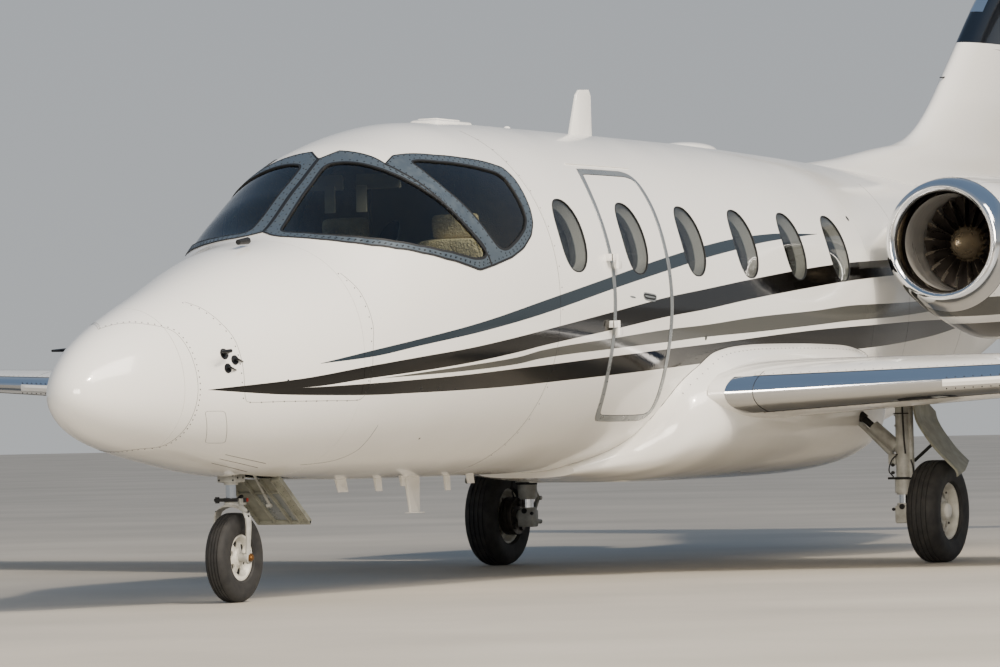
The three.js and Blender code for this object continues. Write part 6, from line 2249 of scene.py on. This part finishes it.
PIPES = (
    (0.0055, (-0.05, 0.985, 0.010), (-0.058, 0.86, 0.018), (-0.06, 0.72, 0.024), (-0.056, 0.64, 0.03)),
    (0.005, (-0.03, 0.61, 0.052), (-0.052, 0.56, 0.074), (-0.05, 0.47, 0.08), (-0.02, 0.38, 0.078)),
    (0.004, (-0.056, 0.64, -0.02), (-0.08, 0.6, -0.05), (-0.07, 0.54, -0.07), (-0.05, 0.505, -0.05)),
)
pipes = [pipe([on_leg(*point) for point in points], radius) for radius, *points in PIPES]
pair("main_leg_pipes", merged(pipes), pipe_sleeve)
brake_axle = (MAIN_AXLE[0], 0.0, MAIN_AXLE[2])
BRAKE = [
    (1.300, 0.030), (1.300, 0.112), (1.304, 0.115), (1.320, 0.115), (1.322, 0.108), (1.330, 0.108),
    (1.332, 0.115), (1.346, 0.115), (1.348, 0.108), (1.356, 0.108), (1.358, 0.115), (1.374, 0.115),
    (1.378, 0.112), (1.378, 0.030), (1.300, 0.030),
]
brake = turned_wheel(BRAKE, brake_axle, 48)
PISTONS, PISTON_RING = 5, 0.080
for k in range(PISTONS):
    turn = 0.4 + 2 * math.pi * k / PISTONS
    x, z = brake_axle[0] + PISTON_RING * math.cos(turn), brake_axle[2] + PISTON_RING * math.sin(turn)
    rod(brake, (x, 1.286, z), (x, 1.304, z), 0.022, None, 16)
pair("main_brake_pack", brake, brake_steel)


# %% Main gear doors: a bent plate pressed with a crease
DOOR_BEND = np.array([(1.335, 1.000), (1.350, 0.860), (1.440, 0.700), (1.600, 0.530)])
DOOR_SIDE = [(7.370, 1.010), (7.600, 1.010), (7.600, 0.930), (7.700, 0.880), (7.715, 0.585), (7.400, 0.500)]
bend_out = smooth_curve(DOOR_BEND[::-1, 1], DOOR_BEND[::-1, 0])


def lay_main_door(bm):
    """Stand the flat plate up: its width becomes height and its lift is thickness outboard."""
    for v in bm.verts:
        s, z, lift = v.co
        crease = 0.010 * math.exp(-((z - (0.860 - 0.30 * max(0, s - 7.50))) / 0.030) ** 2)
        v.co = at_gear(s, float(bend_out(z)) + lift - (crease if 7.46 < s < 7.68 else 0), z + lift * 0.5)
    bmesh.ops.recalc_face_normals(bm, faces=bm.faces)
    return bm


door_plate = lay_main_door(patch(np.array(DOOR_SIDE), 0.0, 0.012, pitch=0.02))
door_plate = carved(door_plate, [wing_body()])
pair("main_gear_door_plate", door_plate, shaded_door_enamel, "main_gear_door")
print("wheels at stations:", NOSE_AXLE_STATION, LEG_STATION)

# %% [markdown]
# ## Aerials, drains and small fittings
# Blade aerials and low domes stand on the crown, and a row of masts and a larger blade hang under
# the belly. They are cut from flat outlines, thinned towards their tips, and painted white. The
# static ports, probes, vents, louvres and bay doors of the nose come next, all laid on the skin.


# %% Blades and domes
def blade_aerial(outline, half_root, half_tip):
    """A symmetrical blade from a side outline; the tip is the end furthest from the first point."""
    outline = rounded(np.array(outline, float), 60, 0.004, range(len(outline)))
    root, far = outline[0, 1], outline[np.argmax(np.abs(outline[:, 1] - outline[0, 1])), 1]
    middle = outline[:, 0].mean()
    rows = []
    for across in (-1.0, -0.55, 0.0, 0.55, 1.0):
        shrink = 1 - 0.10 * across ** 4
        half = half_root + (half_tip - half_root) * np.abs((outline[:, 1] - root) / (far - root))
        rows.append(np.stack([
            NOSE_X - middle - (outline[:, 0] - middle) * shrink, half * across, outline[:, 1],
        ], -1))
    return lofted(rows)


def low_dome(first, last, half_width, low, high):
    """A low streamlined cover, blunt in front and drawn out behind."""
    rows = []
    for turn in np.linspace(0.06, math.pi - 0.06, 15):
        s = (first + last) / 2 - math.cos(turn) * (last - first) / 2
        grow = math.sin(turn) ** 0.45
        t = np.linspace(0, 2 * math.pi, 28, endpoint=False)
        rows.append(np.stack([
            NOSE_X - s + 0 * t, half_width * grow * signed_power(np.cos(t), 0.75),
            low + (high - low) * grow * np.maximum(signed_power(np.sin(t), 0.75), -0.3),
        ], -1))
    return lofted(rows)


CROWN_BLADE = [
    (5.576, 2.42), (5.885, 2.42), (5.891, 2.728), (5.866, 2.762), (5.734, 2.756), (5.693, 2.725),
    (5.618, 2.534),
]
BELLY_BLADE = [(3.490, 0.62), (3.655, 0.62), (3.655, 0.545), (3.660, 0.404), (3.551, 0.401), (3.511, 0.540)]
MASTS = (
    (2.713, 2.854, 0.528), (3.147, 3.235, 0.525), (3.443, 3.500, 0.546), (3.958, 4.026, 0.513),
    (4.222, 4.317, 0.546),
)
crown = [
    blade_aerial(CROWN_BLADE, 0.016, 0.008),
    low_dome(6.96, 7.54, 0.100, 2.452, 2.513),
    low_dome(4.451, 4.685, 0.050, 2.465, 2.502),
    low_dome(4.784, 4.836, 0.022, 2.470, 2.513),
]
base_box = block(bmesh.new(), (NOSE_X - 4.225, -0.085, 2.440), (NOSE_X - 3.790, 0.085, 2.508), 0.020)
cap_box = block(bmesh.new(), (NOSE_X - 4.120, -0.060, 2.495), (NOSE_X - 3.840, 0.060, 2.517), 0.008)
crown += [base_box, cap_box]
piece("crown_aerials", merged(crown), white_topcoat)
belly = [blade_aerial(BELLY_BLADE, 0.012, 0.007)]
belly.append(block(bmesh.new(), (NOSE_X - 3.664, -0.030, 0.4005), (NOSE_X - 3.548, 0.030, 0.405), 0.002))
for first, last, tip in MASTS:
    sweep = 0.25 * (last - first)
    mast = [(first, 0.60), (last - sweep, 0.60), (last, tip), (first + sweep, tip)]
    belly.append(blade_aerial(mast, 0.010, 0.006))
belly.append(block(bmesh.new(), (NOSE_X - 7.40, -0.30, 0.5245), (NOSE_X - 5.60, 0.30, 0.545), 0.008))
belly.append(block(bmesh.new(), (NOSE_X - 7.05, -0.20, 0.5205), (NOSE_X - 5.95, 0.20, 0.530), 0.004))
piece("belly_aerials", merged(belly), white_topcoat)


# %% Seam lines laid on the skin
def laid_out(points, by_height=True):
    """Place (station, height) points of the port side, or (station, clock) points, in the flat drawing."""
    return np.array([(s, (clock_at(s, v) if by_height else v) * FLAT) for s, v in points], float)


def line_on_skin(points, bar=thin_bar, by_height=True):
    path = spread(laid_out(points, by_height), 12 * len(points), curve=smooth_curve)
    return wrap(trim(path, bar, closed=False))


NOSE_BAY = [
    (0.859, 1.492), (0.909, 1.462), (0.946, 1.412), (1.000, 1.278), (1.006, 1.166), (1.010, 1.060),
    (1.035, 1.002), (1.300, 1.000), (1.600, 1.000), (1.845, 1.002), (1.895, 1.050), (1.916, 1.250),
    (1.936, 1.380), (1.925, 1.527), (1.877, 1.639),
]
NOSE_PANEL = [(1.771, 0.682), (2.011, 0.700), (2.112, 0.760), (2.105, 0.874)]
RADOME_SEAM = [
    (0.340, 90), (0.430, 75), (0.520, 60), (0.650, 40), (0.680, 20), (0.690, 0), (0.675, -30), (0.625, -55),
    (0.494, -70), (0.460, -80), (0.450, -90),
]
RADOME_STARBOARD = [(s, 180 - clock) for s, clock in RADOME_SEAM]
seams = [line_on_skin(NOSE_BAY), line_on_skin(NOSE_PANEL)]
seams += [line_on_skin(RADOME_SEAM, by_height=False), line_on_skin(RADOME_STARBOARD, by_height=False)]
seams.append(line_on_skin([(3.66, 2.43), (3.69, 2.00), (3.70, 1.30), (3.68, 0.90), (3.66, 0.64)]))
seams.append(line_on_skin([(8.90, 2.3), (8.90, 1.5), (8.90, 0.95)]))
seams.append(line_on_skin([(10.30, 2.1), (10.30, 1.5), (10.30, 1.25)]))
louvre_bar = flat_bar(0.002, -0.002, -0.001, 0.001)
for level in (0.745, 0.725, 0.705):
    seams.append(line_on_skin([(1.10, level), (1.30, level - 0.028), (1.47, level - 0.05)], louvre_bar))
piece("skin_seams", merged(seams), seal_rubber)
vent = rounded(drawn_side([(0.758, 0.958), (0.898, 0.958), (1.016, 0.802), (0.880, 0.804)]), 60)
piece("nose_vent_outline", wrap(trim(vent, thin_bar)), seal_rubber)
skin_heads = bmesh.new()
COCKPIT_SEAM = [(3.69, 2.38), (3.73, 1.9), (3.74, 1.3), (3.70, 0.70)]
for points, by_height, pitch, shift in (
    (NOSE_BAY, True, 0.075, -0.014), (RADOME_SEAM, False, 0.06, 0.016), (COCKPIT_SEAM, True, 0.09, -0.014),
):
    path = spread(laid_out(points, by_height), 200, curve=smooth_curve)
    for s, y in spaced(path + (shift, 0.0), pitch, closed=False):
        for clock in ((y / FLAT,) if by_height else (y / FLAT, 180 - y / FLAT)):
            at = (np.array([s]), np.array([clock]))
            add_head(skin_heads, skin_point(*at)[0], skin_normal(*at)[0], 0.0042, 0.0015)
piece("skin_screws", skin_heads, screw_steel)


# %% Probes, ports and other small fittings
def on_side(station, height, out=0.0, side=1):
    clock = clock_at(station, height)
    clock = clock if side > 0 else 180 - clock
    at = (np.array([station]), np.array([clock]))
    return Vector(skin_point(*at)[0] + out * skin_normal(*at)[0]), Vector(skin_normal(*at)[0])


def air_probe(station, height, length, side=1):
    """A bent sensing tube: a round foot, a short stem and a tapered tube pointing forward."""
    foot, normal = on_side(station, height, 0.0, side)
    bm = rod(bmesh.new(), foot - normal * 0.004, foot + normal * 0.004, 0.030, 0.026, 20)
    elbow = foot + normal * 0.055 + Vector((0.020, 0, 0))
    rod(bm, foot, elbow, 0.011, 0.009, 12)
    rod(bm, elbow - Vector((0.010, 0, 0)), elbow + Vector((length, 0, -0.004)), 0.0095, 0.006, 12)
    return bm


def vane(station, height, side=1):
    foot, normal = on_side(station, height, 0.0, side)
    bm = rod(bmesh.new(), foot - normal * 0.004, foot + normal * 0.003, 0.024, None, 20)
    rod(bm, foot, foot + normal * 0.022, 0.006, None, 10)
    tail = foot + normal * 0.020 + Vector((-0.055, 0, -0.012))
    rod(bm, foot + normal * 0.020, tail, 0.007, 0.003, 8)
    return bm


probes = [air_probe(0.900, 1.235, 0.080), vane(0.960, 1.205), vane(0.905, 1.165)]
probes += [air_probe(0.640, 1.250, 0.120, -1), vane(0.930, 1.200, -1)]
piece("air_data_probes", merged(probes), screw_steel)
PORTS = (
    (5.587, 1.322, 0.016), (2.36, 1.055, 0.009), (2.52, 1.052, 0.009), (2.69, 1.050, 0.009),
    (1.30, 1.10, 0.009), (2.62, 0.80, 0.007), (8.02, 2.055, 0.020),
)
ports = bmesh.new()
for s, z, radius in PORTS:
    for side in (1, -1):
        centre, normal = on_side(s, z, 0.0002, side)
        add_head(ports, centre, normal, radius, 0.0012)
piece("static_ports", ports, seal_rubber)
nozzle = rod(bmesh.new(), (NOSE_X - 1.60, 0.073, 1.802), (NOSE_X - 1.70, 0.073, 1.812), 0.014, 0.018, 14)
piece("rain_nozzle", nozzle, seal_rubber)
rail = laid_out([(s, 2.27) for s in np.linspace(4.404, 5.21, 30)])
rail_bar = flat_bar(0.004, -0.004, -0.002, 0.007)
piece("door_drip_rail", wrap(trim(rail, rail_bar, closed=False)), white_topcoat)
print("seams:", len(seams))

# %% [markdown]
# ## Cabin and cockpit
# The cabin has cream leather seats on rails and a pale wool carpet. In the cockpit a black leather
# glareshield covers the panel, and the two seats wear cream sheepskin. Cushions are crowned closed
# forms with sewn channels. A cloth simulation of two dozen cushions seen through tinted glass
# would cost minutes for nothing visible, so they are shaped in code and smoothed by subdivision.

# %% Soft finishes
def soft_cover(name, hex_colour, dark, grain, depth, roughness):
    return mottled(name, hex_colour, dark, 0.08, 0.8, grain, depth, roughness, (5.0, 6.0))


seat_leather = soft_cover("cream_seat_leather", "#cdbb9b", "#b39f7e", 0.004, 0.0006, 0.5)
sheepskin = soft_cover("cream_sheepskin", "#d8c8a6", "#b9a680", 0.012, 0.006, 0.95)
wool_carpet = soft_cover("pale_wool_carpet", "#a2937c", "#857760", 0.006, 0.003, 0.95)
glare_leather = soft_cover("black_glareshield_leather", "#161616", "#232221", 0.005, 0.0006, 0.6)
panel_paint = soft_cover("dark_grey_panel_paint", "#2b2d30", "#222427", 0.010, 0.0002, 0.5)
screen_glass = grained("unlit_display_glass", "#0a0c10", 0.08, 0.2, 0.0001)
carpeted = bpy.data.objects["cabin_floor"]
carpeted.data.materials.clear()
carpeted.data.materials.append(wool_carpet)


# %% Cushions
def cushion(centre, size, tilt=0.0, channels=0, crown=0.22):
    """A stuffed block: sides drawn in between corners, crowned faces, and sewn channels across."""
    bm = bmesh.new()
    bmesh.ops.create_cube(bm, size=2)
    bmesh.ops.subdivide_edges(bm, edges=bm.edges, cuts=11, use_grid_fill=True)
    turn = Matrix.Rotation(tilt, 4, "Y")
    for v in bm.verts:
        x, y, z = v.co
        corner = 1 - 0.07 * (abs(x * y) ** 6 + abs(x * z) ** 6 + abs(y * z) ** 6)
        rise = 1 - crown * (1 - (1 - x ** 4) * (1 - y ** 4))
        draw = 1 - 0.05 * (1 - z * z)
        sewn = channels and abs(x) < 0.95
        seam = 0.10 * abs(math.cos(math.pi * channels * (x + 1) / 2)) ** 14 if sewn else 0
        place = Vector((x * draw * size[0], y * draw * size[1], z * (rise - seam) * size[2])) * corner / 2
        v.co = Vector(centre) + turn @ place
    return bm


def seat_cushions(seats):
    parts = []
    for station, y, width, facing, base in seats:
        def spot(s, z):
            return NOSE_X - station - facing * s, y, base + z
        upright = facing * (math.pi / 2 + 0.10)
        parts.append(cushion(spot(-0.030, 0.358), (0.400, width - 0.02, 0.120), 0.0, 4))
        parts.append(cushion(spot(0.236, 0.690), (0.600, width - 0.02, 0.120), upright, 5))
        parts.append(cushion(spot(0.276, 1.045), (0.140, 0.26, 0.100), upright))
    return merged(parts)


def soft_piece(name, bm, finish, stands_for):
    thing = piece(name, bm, finish, stands_for)
    smooth = thing.modifiers.new("stuffing", "SUBSURF")
    smooth.levels = smooth.render_levels = 1
    return thing


FLOOR_TOP = 0.960
SEAT_FOOT, RAIL_TOP = 0.9605, 0.978
COCKPIT_BASE = FLOOR_TOP + 0.150 - 0.240
CABIN_BASE = FLOOR_TOP + 0.100 - 0.240
COCKPIT_SEATS = [(3.230, y, 0.440, 1, COCKPIT_BASE) for y in (-0.330, 0.330)]
CABIN_SEATS = [(s, 0.400, 0.480, facing, CABIN_BASE) for s, facing in ((5.48, -1), (6.56, 1), (7.48, 1))]
soft_piece("cockpit_sheepskins", seat_cushions(COCKPIT_SEATS), sheepskin, ())
for side, way in (("left", 1), ("right", -1)):
    pads = seat_cushions([(s, way * y, width, facing, base) for s, y, width, facing, base in CABIN_SEATS])
    soft_piece(f"cabin_cushions_{side}", pads, seat_leather, ())
    frames = bmesh.new()
    for station, y, width, facing, base in CABIN_SEATS:
        near, far = NOSE_X - station - facing * 0.16, NOSE_X - station + facing * 0.12
        low = (min(near, far), way * y - 0.09, SEAT_FOOT)
        block(frames, low, (max(near, far), way * y + 0.09, base + 0.310), 0.01)
    for offset in (-0.035, 0.025):
        y = way * 0.400 + offset
        block(frames, (NOSE_X - 7.70, y, SEAT_FOOT), (NOSE_X - 5.30, y + 0.01, RAIL_TOP), 0.002)
    piece(f"cabin_seat_frames_{side}", frames, gear_enamel, f"cabin_seats_{side}")
frames = bmesh.new()
for y in (-0.330, 0.330):
    block(frames, (NOSE_X - 3.390, y - 0.09, SEAT_FOOT), (NOSE_X - 3.110, y + 0.09, 1.175), 0.01)
    for offset in (-0.080, 0.060):
        rail_y = y + offset
        block(frames, (NOSE_X - 3.400, rail_y, SEAT_FOOT), (NOSE_X - 3.100, rail_y + 0.02, RAIL_TOP), 0.003)
block(frames, (NOSE_X - 3.120, -0.090, SEAT_FOOT), (NOSE_X - 2.700, 0.090, 1.290), 0.012)
for k in range(4):
    y = -0.05 + 0.033 * k
    rod(frames, (NOSE_X - 2.90, y, 1.28), (NOSE_X - 2.93, y, 1.37), 0.006, 0.011, 10)
piece("cockpit_seat_frames", frames, panel_paint, "cockpit_seats")

# %% Instrument panel, glareshield, yokes and visors
def across_cockpit(first, last, low, high, edge):
    """A board from wall to wall, trimmed to the inside of the fuselage."""
    whole = block(bmesh.new(), (NOSE_X - last, -0.70, low), (NOSE_X - first, 0.70, high), edge)
    return carved(whole, [fuselage_body(2.05, 3.60, -0.06)], "INTERSECT")


piece("glareshield", across_cockpit(2.130, 2.720, 1.730, 1.758, 0.012), glare_leather)
board = across_cockpit(2.560, 2.660, 1.262, 1.731, 0.008)
piece("instrument_board", board, panel_paint, "instrument_panel")
screens, frames = bmesh.new(), bmesh.new()
for y in (-0.46, -0.155, 0.155, 0.46):
    block(frames, (NOSE_X - 2.668, y - 0.125, 1.420), (NOSE_X - 2.658, y + 0.125, 1.690), 0.003)
    block(screens, (NOSE_X - 2.671, y - 0.105, 1.445), (NOSE_X - 2.664, y + 0.105, 1.670), 0.001)
for y in (-0.33, 0.33):
    rod(frames, (NOSE_X - 2.66, y, 1.400), (NOSE_X - 2.83, y, 1.395), 0.018, None, 14)
    block(frames, (NOSE_X - 2.86, y - 0.035, 1.365), (NOSE_X - 2.82, y + 0.035, 1.425), 0.010)
    for out in (-0.125, 0.125):
        rod(frames, (NOSE_X - 2.84, y + 0.2 * out, 1.395), (NOSE_X - 2.85, y + out, 1.415), 0.012, None, 12)
        rod(frames, (NOSE_X - 2.85, y + out, 1.400), (NOSE_X - 2.86, y + out, 1.505), 0.014, 0.016, 12)
piece("cockpit_controls", frames, glare_leather)
piece("display_screens", screens, screen_glass)
visors = bmesh.new()
for y in (-0.17, 0.17):
    block(visors, (NOSE_X - 2.95, y - 0.13, 2.105), (NOSE_X - 2.93, y + 0.13, 2.185), 0.006)
    block(visors, (NOSE_X - 2.90, 0.55 * y - 0.03, 1.985), (NOSE_X - 2.885, 0.55 * y + 0.03, 2.125), 0.004)
piece("sun_visors", visors, trim_cream)
print("seats:", len(COCKPIT_SEATS) + 2 * len(CABIN_SEATS))
# %% [markdown]
# ## Studio
# The aircraft stands on a wide pale floor that runs out to a horizon of the same tone, so nothing
# but the aircraft draws the eye. A broad soft light from above and to port models the round
# skins, and a low sun gives the glints and the shadow under the wings.

# %% Floor
floor_paint, floor_tree, floor_shader = new_finish("pale_sealed_concrete", "#a9a49b", 0.75)
floor_patches = wander(floor_tree, place_on_object(floor_tree), 2.5, 0.0, 1.0, 6.0)
floor_tone = two_tone(floor_tree, linear("#9f9a90"), linear("#b3ada2"), floor_patches)
floor_tree.links.new(floor_tone, floor_shader.inputs["Base Color"])
ground = bmesh.new()
bmesh.ops.create_circle(ground, cap_ends=True, segments=96, radius=150)
floor = as_object(ground, "studio_floor")
floor.data.materials.append(floor_paint)

# %% Sky and lights
world = bpy.data.worlds.new("studio_sky")
bpy.context.scene.world = world
world.use_nodes = True
sky = world.node_tree
direction = add_node(sky, "ShaderNodeTexCoord")
rise_of_ray = add_node(sky, "ShaderNodeSeparateXYZ", None, {"Vector": direction.outputs["Generated"]})
tone = add_node(sky, "ShaderNodeValToRGB", None, {"Fac": rise_of_ray.outputs["Z"]})
tone.color_ramp.elements[0].position = 0.0
tone.color_ramp.elements[0].color = linear("#c9ccce")
tone.color_ramp.elements[1].position = 0.55
tone.color_ramp.elements[1].color = linear("#8399b6")
sky.nodes["Background"].inputs["Strength"].default_value = 0.85
sky.links.new(tone.outputs["Color"], sky.nodes["Background"].inputs["Color"])


def soft_light(name, place, target, size, power, hex_colour="#ffffff"):
    light = bpy.data.lights.new(name, "AREA")
    light.shape = "RECTANGLE"
    light.size, light.size_y = size
    light.energy = power
    light.color = linear(hex_colour)[:3]
    lamp = bpy.data.objects.new(name, light)
    bpy.context.scene.collection.objects.link(lamp)
    turn = (Vector(target) - Vector(place)).to_track_quat("-Z", "Y")
    lamp.matrix_world = Matrix.Translation(place) @ turn.to_matrix().to_4x4()


soft_light("overhead_port", (6, 14, 14), (0, 0, 1.5), (14, 8), 4600, "#fff4e6")
soft_light("front_fill", (22, 7, 5), (0, 0.6, 1.6), (6, 5), 2400, "#fff3e2")
sun = bpy.data.lights.new("sun", "SUN")
sun.energy = 2.2
sun.angle = math.radians(3)
sun.color = linear("#fff1dd")[:3]
sun_lamp = bpy.data.objects.new("sun", sun)
bpy.context.scene.collection.objects.link(sun_lamp)
sun_lamp.rotation_euler = (math.radians(-38), math.radians(25), 0)
